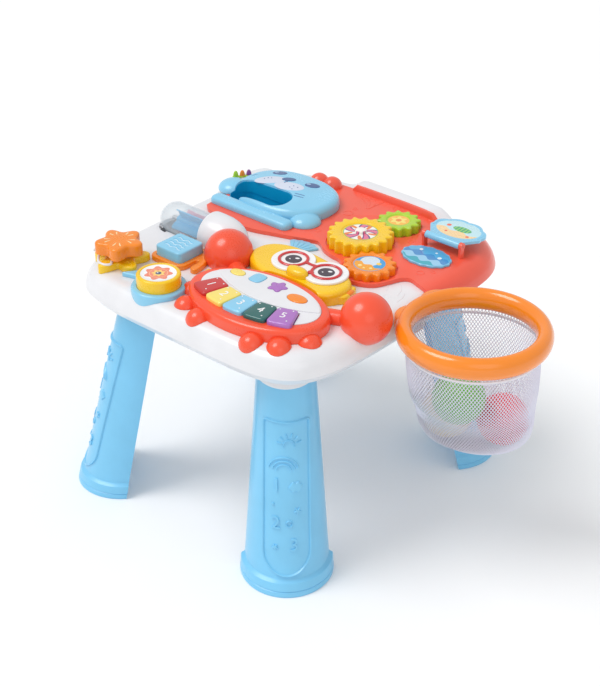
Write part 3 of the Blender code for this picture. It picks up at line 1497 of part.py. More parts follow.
def make_drum():
    length = DRUM_RIGHT_X - DRUM_DOME_X
    bore = AXLE_RADIUS + GAP
    inner = DRUM_RADIUS - DRUM_WALL
    profile = [(bore, 0.0), (DRUM_RADIUS, 0.0)]
    steps = 5
    for step in range(steps):
        turn = pi / 2 * step / steps
        profile.append((DRUM_RADIUS * cos(turn), length + DRUM_RADIUS * sin(turn)))
    inside = []
    for step in range(steps):
        turn = pi / 2 * step / steps
        inside.append((inner * cos(turn), length + inner * sin(turn)))
    place = drum_place(DRUM_RIGHT_X)
    bm = bmesh.new()
    outer_rows = [
        [bm.verts.new(point) for point in ring] for ring in revolve(profile, place, DRUM_SEGMENTS)
    ]
    inner_rows = [
        [bm.verts.new(point) for point in ring] for ring in revolve(
            [(bore, DRUM_WALL), (inner, DRUM_WALL)] + inside, place, DRUM_SEGMENTS,
        )
    ]
    pairs = list(zip(outer_rows, outer_rows[1:])) + list(zip(inner_rows, inner_rows[1:]))
    pairs.append((outer_rows[0], inner_rows[0]))
    for low, high in pairs:
        for i in range(DRUM_SEGMENTS):
            j = (i + 1) % DRUM_SEGMENTS
            bm.faces.new((low[i], low[j], high[j], high[i]))
    bm.faces.new(outer_rows[-1])
    bm.faces.new(inner_rows[-1])
    origin = (DRUM_RIGHT_X, DRUM_Y, DRUM_Z)
    finish("roller_drum", bm, "clear", origin)
    right = DRUM_RIGHT_X - DRUM_WALL - GAP
    vane = rod(
        "roller_vane",
        (VANE_LEFT_X, DRUM_Y, DRUM_Z),
        (right, DRUM_Y, DRUM_Z),
        AXLE_RADIUS * 2,
        "deep_blue",
        origin,
    )
    half = VANE_THICK / 2
    left = VANE_LEFT_X + VANE_THICK
    add(
        vane,
        box(
            "vane upright",
            (left, DRUM_Y - half, DRUM_Z - VANE_RADIUS),
            (right - VANE_THICK, DRUM_Y + half, DRUM_Z + VANE_RADIUS),
        ),
    )
    add(
        vane,
        box(
            "vane level",
            (left, DRUM_Y - VANE_RADIUS, DRUM_Z - half),
            (right - VANE_THICK, DRUM_Y + VANE_RADIUS, DRUM_Z + half),
        ),
    )
    for number, share in enumerate(BEAD_X_SHARES, 1):
        side = BEAD_SIDE if number == 1 else -BEAD_SIDE
        place = (DRUM_DOME_X + share * length, DRUM_Y + side, DRUM_Z - BEAD_SIDE)
        ball(f"roller_bead_{number}", place, (BEAD_RADIUS,) * 3, "steel", origin, 10, 7)
    cut(
        vane,
        rod(
            "vane bore",
            (VANE_LEFT_X - OVERRUN, DRUM_Y, DRUM_Z),
            (right + OVERRUN, DRUM_Y, DRUM_Z),
            bore,
            segments=12,
        ),
    )


def pitch_radius(teeth):
    return GEAR_MODULE * teeth / 2


def tip_radius(teeth):
    return pitch_radius(teeth) - TOOTH_EASE + TOOTH_WAVE


def gear_places():
    """(name, centre, tip radius) of the three gears; the outer two mesh with the large one."""
    small = pitch_radius(LARGE_TEETH) + pitch_radius(SMALL_TEETH)
    medium = pitch_radius(LARGE_TEETH) + pitch_radius(MEDIUM_TEETH)
    return (
        ("large", (GEAR_X, GEAR_Y), tip_radius(LARGE_TEETH)),
        (
            "small",
            (GEAR_X + small * cos(SMALL_BEARING), GEAR_Y + small * sin(SMALL_BEARING)),
            tip_radius(SMALL_TEETH),
        ),
        (
            "medium",
            (GEAR_X + medium * cos(MEDIUM_BEARING), GEAR_Y + medium * sin(MEDIUM_BEARING)),
            tip_radius(MEDIUM_TEETH),
        ),
    )


def mesh_phase(teeth, bearing):
    """First tooth's angle on a follower, so that its gap faces a tooth of the large gear."""
    pitch = 2 * pi / LARGE_TEETH
    ahead = (-bearing % pitch) / pitch
    gap_angle = bearing + pi - ahead * 2 * pi / teeth
    return gap_angle + pi / teeth


def gear_outline(centre, teeth, phase):
    points = []
    count = teeth * TOOTH_POINTS
    for step in range(count):
        turn = phase + 2 * pi * step / count
        wave = cos(teeth * (turn - phase))
        radius = pitch_radius(teeth) - TOOTH_EASE + TOOTH_WAVE * wave
        points.append((centre[0] + radius * cos(turn), centre[1] + radius * sin(turn)))
    return points


def make_gears():
    low = deck_top() - WELL_DEPTH + GAP
    tops = {"large": LARGE_TOP_Z, "small": SMALL_TOP_Z, "medium": MEDIUM_TOP_Z}
    teeth = {"large": LARGE_TEETH, "small": SMALL_TEETH, "medium": MEDIUM_TEETH}
    phases = {
        "large": 0.0,
        "small": mesh_phase(SMALL_TEETH, SMALL_BEARING),
        "medium": mesh_phase(MEDIUM_TEETH, MEDIUM_BEARING),
    }
    colours = {"large": "yellow", "small": "lime", "medium": "orange"}
    for name, centre, _ in gear_places():
        high = tops[name]
        outline = gear_outline(centre, teeth[name], phases[name])
        gear = pillow(
            f"gear_{name}", outline, centre, low, high, GEAR_EDGE, colours[name], (*centre, low), steps=1,
        )
        if name == "large":
            hub = rod(
                "hub", (*centre, high - GEAR_EDGE), (*centre, high + HUB_HEIGHT), HUB_RADIUS, segments=16,
            )
            add(gear, hub)
        axle_top = high - GEAR_CAP_THICK
        bore = rod(
            f"{name} gear bore",
            (*centre, low - OVERRUN),
            (*centre, axle_top + GAP),
            GEAR_AXLE_RADIUS + GAP,
            segments=16,
        )
        cut(gear, bore)
        rod(
            f"gear_axle_{name}",
            (*centre, TRAY_TOP_Z + GAP),
            (*centre, axle_top),
            GEAR_AXLE_RADIUS,
            "steel",
            segments=12,
        )


def page_outline():
    """Scallop-shell outline of the page, from its barrel out to its wavy edge."""
    points = [(PAGE_X - PAGE_ROOT_HALF, HINGE_Y)]
    steps = 20
    for step in range(steps + 1):
        turn = pi / 2 + PAGE_SPREAD * (steps / 2 - step) / steps
        ripple = PAGE_WAVE * abs(sin(turn * PAGE_RIPPLES))
        x = PAGE_X + (PAGE_HALF_WIDTH - ripple) * cos(turn)
        y = HINGE_Y + PAGE_REACH / 2 + (PAGE_REACH / 2 - ripple) * sin(turn)
        points.append((x, y))
    points.append((PAGE_X + PAGE_ROOT_HALF, HINGE_Y))
    return points


def make_page():
    """Flip page with its barrel, the hinge pin and the picture disc in front of it."""
    origin = (PAGE_X, HINGE_Y, HINGE_Z)
    half = PAGE_THICK / 2
    page = slab("flip_page", page_outline(), HINGE_Z - half, HINGE_Z + half, "aqua", origin)
    left, right = PAGE_X - BARREL_HALF, PAGE_X + BARREL_HALF
    add(
        page,
        rod("barrel", (left, HINGE_Y, HINGE_Z), (right, HINGE_Y, HINGE_Z), BARREL_RADIUS, segments=16),
    )
    cut(
        page,
        rod(
            "barrel bore",
            (left - OVERRUN, HINGE_Y, HINGE_Z),
            (right + OVERRUN, HINGE_Y, HINGE_Z),
            PIN_RADIUS + GAP,
            segments=12,
        ),
    )
    reach = RUN + LUG_THICK
    rod(
        "page_pin",
        (left - reach, HINGE_Y, HINGE_Z),
        (right + reach, HINGE_Y, HINGE_Z),
        PIN_RADIUS,
        "steel",
        segments=10,
    )
    low = deck_top() + GAP
    outline = ellipse(DISC_X, DISC_Y, DISC_HALF_X, DISC_HALF_Y, 32)
    pillow(
        "picture_disc", outline, (DISC_X, DISC_Y), low, low + DISC_THICK, DISC_THICK / 2, "aqua", steps=2,
    )


def make_basket(skin):
    """Orange ring with its two-lobed clip and tongue, the net and the balls."""
    bm = bmesh.new()
    rings = []
    around, section = 32, 8
    for step in range(around):
        turn = 2 * pi * step / around
        ring = []
        for part in range(section):
            angle = 2 * pi * part / section
            radius = RING_RADIUS + RING_TUBE * cos(angle)
            ring.append((
                RING_X + radius * cos(turn),
                RING_Y + radius * sin(turn),
                RING_Z + RING_TUBE_HIGH * sin(angle),
            ))
        rings.append(ring)
    ring = finish("basket_ring", loft(bm, rings, closed=True), "orange", (RING_X, RING_Y, RING_Z))
    high = LOBE_TOP_Z
    low = high - LOBE_THICK
    for side in (-1, 1):
        place = (LOBE_X, RING_Y + side * LOBE_SPREAD)
        outline = ellipse(*place, LOBE_RADIUS, LOBE_RADIUS, 24)
        add(ring, pillow(f"clip lobe {side}", outline, place, low, high, LOBE_THICK / 3, steps=2))
    tongue_out = TRAY_HALF_X
    tongue_in = tongue_out - TONGUE_THICK
    tongue = box(
        "tongue", (tongue_in, RING_Y - TONGUE_HALF_Y, TONGUE_LOW_Z),
        (tongue_out, RING_Y + TONGUE_HALF_Y, low + LOBE_THICK / 2),
    )
    hole = RING_RADIUS - RING_TUBE - GAP
    middle = rod(
        "open middle", (RING_X, RING_Y, low - OVERRUN), (RING_X, RING_Y, high + OVERRUN), hole, segments=around,
    )
    deck_space = helper(
        "deck space", loft(bmesh.new(), tray_rings(2 * GAP + DECK_THICK, TRAY_BOTTOM_Z, rim=False)),
    )
    plan = [(x, y - GAP) for x, y in deck_outline()]
    keep(deck_space, slab("deck space plan", plan, DECK_LOW_Z - GAP, TRAY_TOP_Z + 2 * DECK_THICK))
    cut(ring, middle, skin, deck_space, right_claw_clearance())
    add(ring, tongue)
    make_net()
    for number, shares in enumerate(BALL_SHARES):
        centre = tuple(
            base + share * RING_RADIUS for base, share in zip((RING_X, RING_Y, RING_Z), shares)
        )
        colour = ("green", "pink", "pale_yellow")[number]
        ball(f"ball_{('green', 'red', 'yellow')[number]}", centre, (BALL_RADIUS,) * 3, colour, centre)


def right_claw_clearance():
    radius = CLAW_RADIUS + GAP
    return ball("clear of right claw", RIGHT_CLAW, (radius, radius, radius))


def make_net():
    """Closed-wall bag under the ring, open at the top, sagging round the balls."""
    steps = 20
    outer, inner = [], []
    for up, x, y, wide, deep in NET_SHARES:
        for rings, wall in ((outer, 0.0), (inner, NET_WALL)):
            ring = []
            for step in range(steps):
                turn = 2 * pi * step / steps
                along = (wide * RING_RADIUS - wall) * cos(turn)
                across = (deep * RING_RADIUS - wall) * sin(turn)
                ring.append((
                    RING_X + x * RING_RADIUS + along * cos(NET_TURN) - across * sin(NET_TURN),
                    RING_Y + y * RING_RADIUS + along * sin(NET_TURN) + across * cos(NET_TURN),
                    RING_Z + up * RING_RADIUS + wall * NET_FLOOR_SHARES[len(rings)],
                ))
            rings.append(ring)
    top = RING_Z - RING_TUBE_HIGH - GAP
    for rings in (outer, inner):
        rings[0] = [(x, y, top) for x, y, _ in rings[0]]
    bm = bmesh.new()
    rows_out = [[bm.verts.new(point) for point in ring] for ring in outer]
    rows_in = [[bm.verts.new(point) for point in ring] for ring in inner]
    pairs = list(zip(rows_out, rows_out[1:])) + list(zip(rows_in, rows_in[1:])) + [
        (rows_out[0], rows_in[0])
    ]
    for low, high in pairs:
        for i in range(steps):
            j = (i + 1) % steps
            bm.faces.new((low[i], low[j], high[j], high[i]))
    bm.faces.new(rows_out[-1])
    bm.faces.new(rows_in[-1])
    finish("basket_net", bm, "net", (RING_X, RING_Y, RING_Z))


clear_scene()
TRAY = bpy.data.objects.new("tray_centre", None)
bpy.context.scene.collection.objects.link(TRAY)
TRAY.location.x = TRAY_X

SKIN = tray_solid("tray skin", GAP, TRAY_BOTTOM_Z - OVERRUN)
SHELL = make_tray()
make_cover(SHELL)
for leg_name, leg_side_x, leg_side_y in LEGS:
    make_leg(leg_name, leg_side_x, leg_side_y)
DECK = make_deck(SKIN)
make_seal(SHELL, DECK, SKIN)
CRAB = make_crab(SKIN)
make_piano(CRAB)
make_switch(SHELL)
make_owl(SKIN)
make_star(SKIN)
make_fish(SKIN)
make_wave(SKIN)
make_roller(SHELL, SKIN)
make_gears()
make_page()
make_basket(SKIN)
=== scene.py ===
"""Dresses the activity table: fine shells, moulded reliefs, prints, the open mesh of the net, and
the studio that it stands in. Tray coordinates are metres from the middle of the tray."""

from math import asin, atan2, cos, hypot, pi, radians, sin, sqrt, tan

import bmesh
import bpy
from bpy.props import FloatProperty, FloatVectorProperty, IntProperty, PointerProperty
from bpy.types import Operator, Panel, PropertyGroup
from mathutils import Matrix, Vector


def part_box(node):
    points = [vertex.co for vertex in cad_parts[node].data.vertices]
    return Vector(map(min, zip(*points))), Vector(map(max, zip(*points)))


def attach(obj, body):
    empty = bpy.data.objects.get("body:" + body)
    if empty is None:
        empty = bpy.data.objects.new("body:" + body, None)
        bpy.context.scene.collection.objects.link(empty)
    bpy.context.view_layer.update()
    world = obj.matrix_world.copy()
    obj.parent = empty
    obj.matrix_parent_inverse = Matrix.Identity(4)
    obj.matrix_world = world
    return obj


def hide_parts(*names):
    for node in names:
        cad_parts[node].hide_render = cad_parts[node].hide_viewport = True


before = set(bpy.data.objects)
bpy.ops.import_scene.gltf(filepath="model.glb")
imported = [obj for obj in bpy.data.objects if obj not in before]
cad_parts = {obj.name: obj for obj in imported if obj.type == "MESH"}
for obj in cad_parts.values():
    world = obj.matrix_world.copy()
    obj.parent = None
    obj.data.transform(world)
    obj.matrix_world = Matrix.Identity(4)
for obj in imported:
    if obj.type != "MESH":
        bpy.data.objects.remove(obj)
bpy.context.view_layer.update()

bl_info = {
    "name": "Activity table",
    "version": (1, 0, 0),
    "blender": (4, 5, 0),
    "location": "3D View > Sidebar > Activity table",
    "description": "Builds the shells, prints, net and studio of a toddler's activity table",
    "category": "Object",
}


def node_box(name):
    low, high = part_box(name)
    return Vector(low), Vector(high)


# Where the tray's middle stands, from its two front legs
TRAY_X = (node_box("leg_front_left")[0].x + node_box("leg_front_right")[1].x) / 2

# Fits
GAP = 0.0003
OVERRUN = 0.004
SINK = 0.0006  # how far a raised detail reaches into what carries it

# Tray
TRAY_HALF_X = 0.190
TRAY_FRONT = 0.278
TRAY_BACK = 0.133
WIDEST_Y = 0.080
FRONT_SQUARENESS = 6.0
BACK_SQUARENESS = 3.3
TRAY_BOTTOM_Z = 0.261
TRAY_SIDE_Z = 0.272
TRAY_TOP_Z = 0.298
TRAY_TUCK = 0.008
SHOULDER = 0.018
TRAY_WALL = 0.003
RIM_RISE = 0.010
RIM_WIDTH = 0.030
RIM_SPANS = ((radians(46), radians(124)), (radians(146), radians(190)))
RIM_EASE = radians(14)
RIM_SHARES = ((0.03, 0.42), (0.08, 0.68), (0.16, 0.86), (0.25, 0.96), (0.36, 1.0), (0.70, 1.0), (0.82, 0.97))
SHOULDER_SHARES = (0.02, 0.07, 0.15, 0.28, 0.45, 0.65, 0.85)
TRAY_STEPS = 240
TRAY_LINES = (
    ((0.132, 0.020), (0.139, 0.012), (0.143, 0.002)),
    ((0.146, 0.026), (0.155, 0.016), (0.160, 0.002)),
    ((0.163, 0.012), (0.167, 0.002), (0.168, -0.010)),
)
TRAY_DOTS = ((0.152, -0.006), (0.118, -0.019), (-0.168, -0.020), (-0.165, -0.052))
TRAY_DOT_RADIUS = 0.004
SWITCH_SLOT_HALF = (0.0039, 0.0079)
SWITCH_SLOT_CORNER = 0.002
TONGUE_X = 0.1885
KEEPER_LOW_Z = 0.2665
KEEPER_HIGH_Z = 0.279
KEEPER_BACK_X = 0.1913
KEEPER_SIDE_Y = 0.0133
SMALL_CORNER = 0.0006

# Legs
FOOT_X = 0.137
FOOT_Y = 0.160
LEG_HEADING = radians(48.5)
LEG_LEAN = 0.2133
LEG_FOOT_HALF_WIDTH = 0.050
LEG_FOOT_DEPTH = 0.054
LEG_TOP_HALF_WIDTH = 0.030
LEG_TOP_DEPTH = 0.043
LEG_TOP_Z = 0.283
LEG_WALL = 0.003
LEG_STEPS = 56
LEG_SUN = (0.003, 0.176)
LEG_SUN_RADIUS = 0.0062
LEG_SUN_RAYS = (0.0092, 0.0115, 0.0138)
LEG_RAINBOW = (-0.003, 0.146)
LEG_RAINBOW_RADII = (0.0165, 0.0125, 0.0085)
LEG_NUMERALS = (("1", -0.011, 0.130), ("2", -0.012, 0.086), ("3", 0.008, 0.060))
LEG_NUMERAL_SIZE = 0.021
# Flare of the foot's band: height and how far it stands out.
BAND_PROFILE = (
    (0.0, 0.0036), (0.0010, 0.0045), (0.0060, 0.0045), (0.0068, 0.0036), (0.0076, 0.0045),
    (0.0150, 0.0045), (0.0168, 0.0040), (0.0178, 0.0026), (0.0186, 0.0010), (0.0200, 0.0),
)
LEGS = (
    ("leg_front_right", 1, -1),
    ("leg_front_left", -1, -1),
    ("leg_back_right", 1, 1),
    ("leg_back_left", -1, 1),
)
PANEL_LOW = 0.024
PANEL_TOP = 0.202
PANEL_HALF_LOW = 0.0265
PANEL_HALF_TOP = 0.0245
PANEL_RIDGE = 0.0024

# Bottom cover
DOOR_SEAT = 0.0025
DOOR_THICK = 0.0022
DOOR_CORNER = 0.0008
DOOR_RIBS = 5
DOOR_RIB_PITCH = 0.004
DOOR_RIB_HALF = 0.01
GRILLE_PITCH = 0.006
GRILLE_HOLE = 0.0019
COVER_Z = 0.263
COVER_THICK = 0.003
SOCKET_LOW_Z = 0.240
SOCKET_WALL = 0.003
COLLAR_LIP = 0.0009

# Red deck
DECK_WEDGE = (
    (-0.024, 0.167), (-0.006, 0.172), (0.006, 0.184), (0.004, 0.166), (0.001, 0.146), (-0.010, 0.158),
)
DECK_VEINS = (
    ((-0.016, 0.167), (-0.008, 0.163), (-0.002, 0.154)),
    ((-0.006, 0.170), (0.000, 0.164), (0.002, 0.156)),
)
# Centre and radius of each small ring moulded on the deck
DECK_CIRCLES = (
    (-0.009, 0.121, 0.006), (-0.010, 0.136, 0.003), (0.096, 0.113, 0.004), (0.107, 0.104, 0.0025),
    (0.152, 0.055, 0.0045), (0.163, 0.066, 0.0026), (-0.006, 0.060, 0.0035), (0.028, 0.170, 0.004),
)
DECK_THICK = 0.005
DECK_LOW_Z = 0.277
DECK_START = radians(44)
DECK_END = radians(196)
DECK_BAND_START = radians(48)
DECK_BAND_END = radians(116)
DECK_BAND_IN = 0.0355
DECK_BAND_RISE = 0.0075
WELL_DEPTH = 0.0025
WELL_MARGIN = 0.0018
DECK_EDGE = (
    (-0.158, 0.024), (-0.150, 0.018), (-0.141, 0.015), (-0.120, 0.010),
    (-0.097, 0.009), (-0.070, 0.012), (-0.045, 0.020), (-0.021, 0.028), (0.000, 0.036),
    (0.010, 0.039), (0.018, 0.036), (0.030, 0.028), (0.045, 0.023), (0.058, 0.021),
    (0.067, 0.015), (0.073, 0.003), (0.086, -0.007), (0.102, -0.011), (0.118, -0.008),
    (0.130, 0.001), (0.137, 0.016), (0.143, 0.031), (0.152, 0.037), (0.165, 0.033),
    (0.180, 0.029), (0.200, 0.028),
)
DECK_TOP = TRAY_TOP_Z + GAP + DECK_THICK
BUMP_RADIUS = 0.013
BUMP_PLACES = ((-0.094, 0.166), (-0.074, 0.168))

# Seal
SEAL = (-0.090, 0.098)
SEAL_HALF = (0.070, 0.054)
SEAL_HEIGHT = 0.020
SEAL_SQUARENESS = 2.3
MOUTH = (-0.107, 0.069)
MOUTH_HALF = (0.046, 0.019)
MOUTH_DEPTH = 0.018
MOUTH_CUP_WALL = 0.002
LIP_HALF = (0.064, 0.0095)
LIP_HEIGHT = 0.0095
FLIPPER_RADIUS = 0.020
FLIPPER_HEIGHT = 0.012
FLIPPER_SHARES = ((-1.08, -0.30), (0.82, -0.58))
LEAF = (-0.1735, 0.106)
LEAF_TURN = radians(56)

# Crab piano
CRAB = (0.064, -0.120)
CRAB_MIDDLE = (0.064, -0.123)
CRAB_HALF = (0.092, 0.057)
CRAB_TOP_Z = 0.314
CRAB_EDGE = 0.006
FACEPLATE_HALF = (0.080, 0.044)
FACEPLATE_TOP = 0.315
FOOT_BUMP_RADIUS = 0.0145
FOOT_BUMP_SHARES = ((0.43, -0.95), (0.75, -0.76), (0.95, -0.26))
CLAW_RADIUS = 0.029
CLAWS = ((-0.040, -0.060, 0.308), (0.175, -0.072, 0.307))
KEY_ARC_RADIUS = 0.156
KEY_STEP = radians(10)
KEY_DEPTH = 0.034
KEY_ROW_Y = -0.151
KEY_TOP_Z = 0.3195
BUTTON_TOP_Z = 0.3175
BUTTON_PLACE_SHARES = ((-0.67, 0.50), (-0.34, 0.60), (0.04, 0.59), (0.46, 0.45))
BUTTON_SIZES = ((0.010, 0.0065), (0.0085, 0.0095), (0.0115, 0.0115), (0.0130, 0.0080))
SWITCH = (-0.034, -0.101)

# Owl
OWL = (0.062, -0.034)
OWL_BODY = (0.052, -0.040)
OWL_TILT = radians(-8)
OWL_HALF = (0.073, 0.037)
OWL_TOP_Z = 0.314
OWL_SQUARENESS = 2.4
EYE_SPREAD = 0.0245
EYE_DISC_RADIUS = 0.0258
PLATE_TOP_Z = 0.3169
BEAK_HALF = (0.0145, 0.0085)
BEAK_Y = -0.0555
BEAK_TOP_Z = 0.3235
FAN = (0.004, 0.000)
FAN_RADIUS = 0.034

# Star, fish and wave toys
STAR = (-0.133, -0.145)
STAR_TOP_Z = 0.329
STAR_LOW_Z = 0.313
FISH = (-0.053, -0.161)
FISH_RADIUS = 0.0255
FISH_TOP_Z = 0.319
COLLAR_RADIUS = 0.032
COLLAR_TOP_Z = 0.3045
WAVE = (-0.089, -0.092)
WAVE_HALF = 0.0205
WAVE_CORNER = 0.005
WAVE_TOP_Z = 0.317
WAVE_ARM = (
    (-0.0070, 0.0000), (0.0000, 0.0070), (0.0112, -0.0060), (0.0168, -0.0300),
    (0.0070, -0.0300), (0.0042, -0.0120), (-0.0070, -0.0180),
)

# Roller
DRUM_Y = -0.034
DRUM_Z = 0.308
DRUM_RADIUS = 0.021
DRUM_WALL = 0.0012
DRUM_RIGHT_X = -0.084
DRUM_DOME_X = -0.151
HOOD_RADIUS = 0.0265
HOOD_MOUTH_X = -0.092
HOOD_PROFILE_SHARES = (
    (0.0, 1.0), (0.18, 0.995), (0.35, 0.98), (0.5, 0.925), (0.62, 0.84), (0.74, 0.71), (0.85, 0.52),
    (0.94, 0.30), (1.0, 0.0),
)
HOOD_LENGTH = 0.056
TROUGH_ROOM = 0.001
TROUGH_WALL = 0.003
TROUGH_END = 0.0035
DRUM_BORE = 0.0028
VANE_RIGHT_GAP = 0.0023
VANE_LEFT_GAP = 0.003
VANE_HUB = 0.0050
VANE_ROOT = 0.0045
VANE_REACH = 0.0118
VANE_BEND = 0.35
VANE_HALF_THICK = 0.0009
RIBBON_INNER = 0.0105
RIBBON_OUTER = 0.0150
RIBBON_BEND = 0.5
RIBBON_HALF_THICK = 0.0006
BEAD_RADIUS = 0.003
BEAD_PITCH = 0.010

# Gears
GEAR = (0.052, 0.070)
GEAR_MODULE = 0.0042
TEETH = {"large": 18, "small": 12, "medium": 14}
GEAR_TOPS = {"large": 0.318, "small": 0.313, "medium": 0.311}
BEARINGS = {"small": radians(81.9), "medium": radians(-42.2)}
TOOTH_WAVE = 0.0026
TOOTH_EASE = 0.0007

# Page and picture disc
PAGE_X = 0.139
HINGE_Y = 0.116
HINGE_Z = 0.318
PAGE_HALF_WIDTH = 0.037
PAGE_REACH = 0.056
PAGE_THICK = 0.0035
BARREL_RADIUS = 0.0045
BARREL_HALF = 0.024
DISC = (0.135, 0.0895)
DISC_HALF = (0.033, 0.0225)

# Basket
RING = (0.267, 0.0, 0.2938)
RING_RADIUS = 0.076
RING_TUBE = 0.0096
RING_TUBE_HIGH = 0.0128
LOBE_RADIUS = 0.022
LOBE_SPREAD = 0.023
LOBE_X = 0.203
LOBE_THICK = 0.015
LOBE_TOP_Z = 0.304
TONGUE_LOW_Z = 0.263
NET_TURN = radians(21.8)
# Sections of the loaded net: height, centre and radii, as shares of the ring's radius.
NET_SHARES = (
    (-0.10, 0.00, 0.00, 0.985, 0.985), (-0.30, 0.00, 0.00, 0.967, 0.967), (-0.58, 0.00, 0.03, 0.96, 0.95),
    (-0.88, -0.02, 0.09, 0.95, 0.92), (-1.16, -0.06, 0.17, 0.93, 0.84),
    (-1.41, -0.09, 0.27, 0.90, 0.73), (-1.64, -0.115, 0.34, 0.885, 0.62),
    (-1.86, -0.12, 0.36, 0.84, 0.55), (-2.02, -0.125, 0.355, 0.72, 0.46),
    (-2.12, -0.125, 0.35, 0.50, 0.32), (-2.165, -0.125, 0.35, 0.27, 0.17),
    (-2.17, -0.125, 0.35, 0.02, 0.013),
)
BALLS = {
    "ball_green": (-0.0936, -0.139, -1.0855),
    "ball_red": (0.276, 0.526, -1.63),
    "ball_yellow": (-0.513, 0.21, -1.68),
}
BALL_RADIUS = 0.0301
BALL_LEVELS = 49
BALL_SIDES = 72
SEAM_TILT_X = 0.5
SEAM_TILT_Y = 0.3
SEAM_DEPTH = 0.0005
STRAND_SIDES = 3
HEM_HALF_THICK = 0.0007
HEM_HALF_HEIGHT = 0.0016
HEM_DROP = 0.0105
HEM_SIDES = 8

# Studio
FLOOR_WHITE = (0.98, 0.98, 0.98, 1)
FLOOR_SHEEN = 0.1
WORLD_COLOUR = (0.98, 0.99, 1.0, 1)
WORLD_STRENGTH = 0.68
LAMP_AIM = (0, 0, 0.25)
# Name, kind, place, the sun's angle or the disc's width, and power
LAMPS = (
    ("key lamp", "SUN", (-0.55, -0.60, 1.6), radians(32), 1.35),
    ("fill lamp", "AREA", (1.9, -1.4, 1.6), 1.8, 5.0),
)


def linear(red, green, blue):
    """A colour picked as it looks on a screen, from 0 to 255, in the values that shaders take."""
    out = []
    for value in (red, green, blue):
        value /= 255
        out.append(value / 12.92 if value <= 0.04045 else ((value + 0.055) / 1.055) ** 2.4)
    return tuple(out)


WHITE = linear(236, 236, 239)
SKY = linear(126, 203, 242)
AQUA = linear(140, 208, 240)
DEEP_BLUE = linear(0, 158, 206)
NAVY = linear(52, 92, 150)
RED = linear(252, 84, 48)
DECK_RED = linear(249, 92, 66)
GLASS_RED = linear(214, 38, 42)
ORANGE = linear(255, 140, 16)
YELLOW = linear(255, 205, 12)
LIME = linear(176, 214, 40)
PALE_YELLOW = linear(253, 226, 110)
KEY_RED = linear(206, 34, 34)
TEAL = linear(0, 96, 92)
PURPLE = linear(176, 112, 196)
GREEN = linear(112, 190, 84)
PINK = linear(226, 62, 78)
CREAM = linear(240, 226, 190)
DARK = linear(62, 46, 62)
STEEL = linear(196, 198, 202)
BOARD = linear(28, 110, 60)
BLACK = linear(34, 34, 36)


def colour(name, default, text):
    return FloatVectorProperty(
        name=name, description=text, default=default, size=3, subtype="COLOR", min=0, max=1,
    )


def length(name, default, text):
    return FloatProperty(name=name, description=text, default=default, unit="LENGTH", min=0, precision=5)


class ShellSettings(PropertyGroup):
    white: colour("White", WHITE, "Colour of the tray, the hood and the faceplate")
    sky: colour("Legs", SKY, "Colour of the legs")
    deck: colour("Deck", DECK_RED, "Colour of the deck over the back of the tray")
    deck_round: length("Deck edge", 0.0013, "Rounding of the deck's edges")
    relief: length("Leg relief", 0.0017, "Height of the moulded motifs on the legs")


class ToySettings(PropertyGroup):
    aqua: colour("Seal", AQUA, "Colour of the seal, the page, the collar and the wave key")
    red: colour("Crab", RED, "Colour of the crab")
    yellow: colour("Owl", YELLOW, "Colour of the owl, the large gear and the starfish")
    orange: colour("Star", ORANGE, "Colour of the star, the frame and the medium gear")
    lime: colour("Small gear", LIME, "Colour of the small gear")
    key_round: length("Key edge", 0.0021, "Rounding of the keys' upper edges")


class BasketSettings(PropertyGroup):
    ring: colour("Ring", ORANGE, "Colour of the ring")
    cords: IntProperty(name="Meshes round the net", description="Meshes in one row", default=120, min=12)
    rows: IntProperty(
        name="Rows of the net", description="Half meshes from ring to bottom", default=66, min=8,
    )
    strand: length("Strand", 0.00052, "Radius of one strand of the net")


class StudioSettings(PropertyGroup):
    camera: FloatVectorProperty(
        name="Camera", description="Where the camera stands, from the tray's middle",
        default=(1.01354, -1.14306, 1.09398), size=3, unit="LENGTH", subtype="XYZ",
    )
    target: FloatVectorProperty(
        name="Target", description="What the camera faces, from the tray's middle",
        default=(0.0706, -0.06086, 0.230), size=3, unit="LENGTH", subtype="XYZ",
    )
    lens: FloatProperty(
        name="Lens", description="Focal length on a 36 mm sensor", default=76.4, unit="CAMERA",
    )
    floor: length("Floor", 6.0, "Half the floor's width")


class TableSettings(PropertyGroup):
    shell: PointerProperty(type=ShellSettings)
    toys: PointerProperty(type=ToySettings)
    basket: PointerProperty(type=BasketSettings)
    studio: PointerProperty(type=StudioSettings)


# Shader maths


class Value:
    """A shader socket that takes arithmetic."""

    def __init__(self, graph, socket):
        self.graph = graph
        self.socket = socket

    def math(self, operation, *others, clamp=False):
        return self.graph.add("ShaderNodeMath", {"operation": operation, "use_clamp": clamp}, self, *others)

    def __add__(self, other):
        return self.math("ADD", other)

    def __sub__(self, other):
        return self.math("SUBTRACT", other)

    def __mul__(self, other):
        return self.math("MULTIPLY", other)

    def __truediv__(self, other):
        return self.math("DIVIDE", other)

    def __rsub__(self, other):
        return self.math("MULTIPLY_ADD", -1, other)

    __radd__ = __add__
    __rmul__ = __mul__


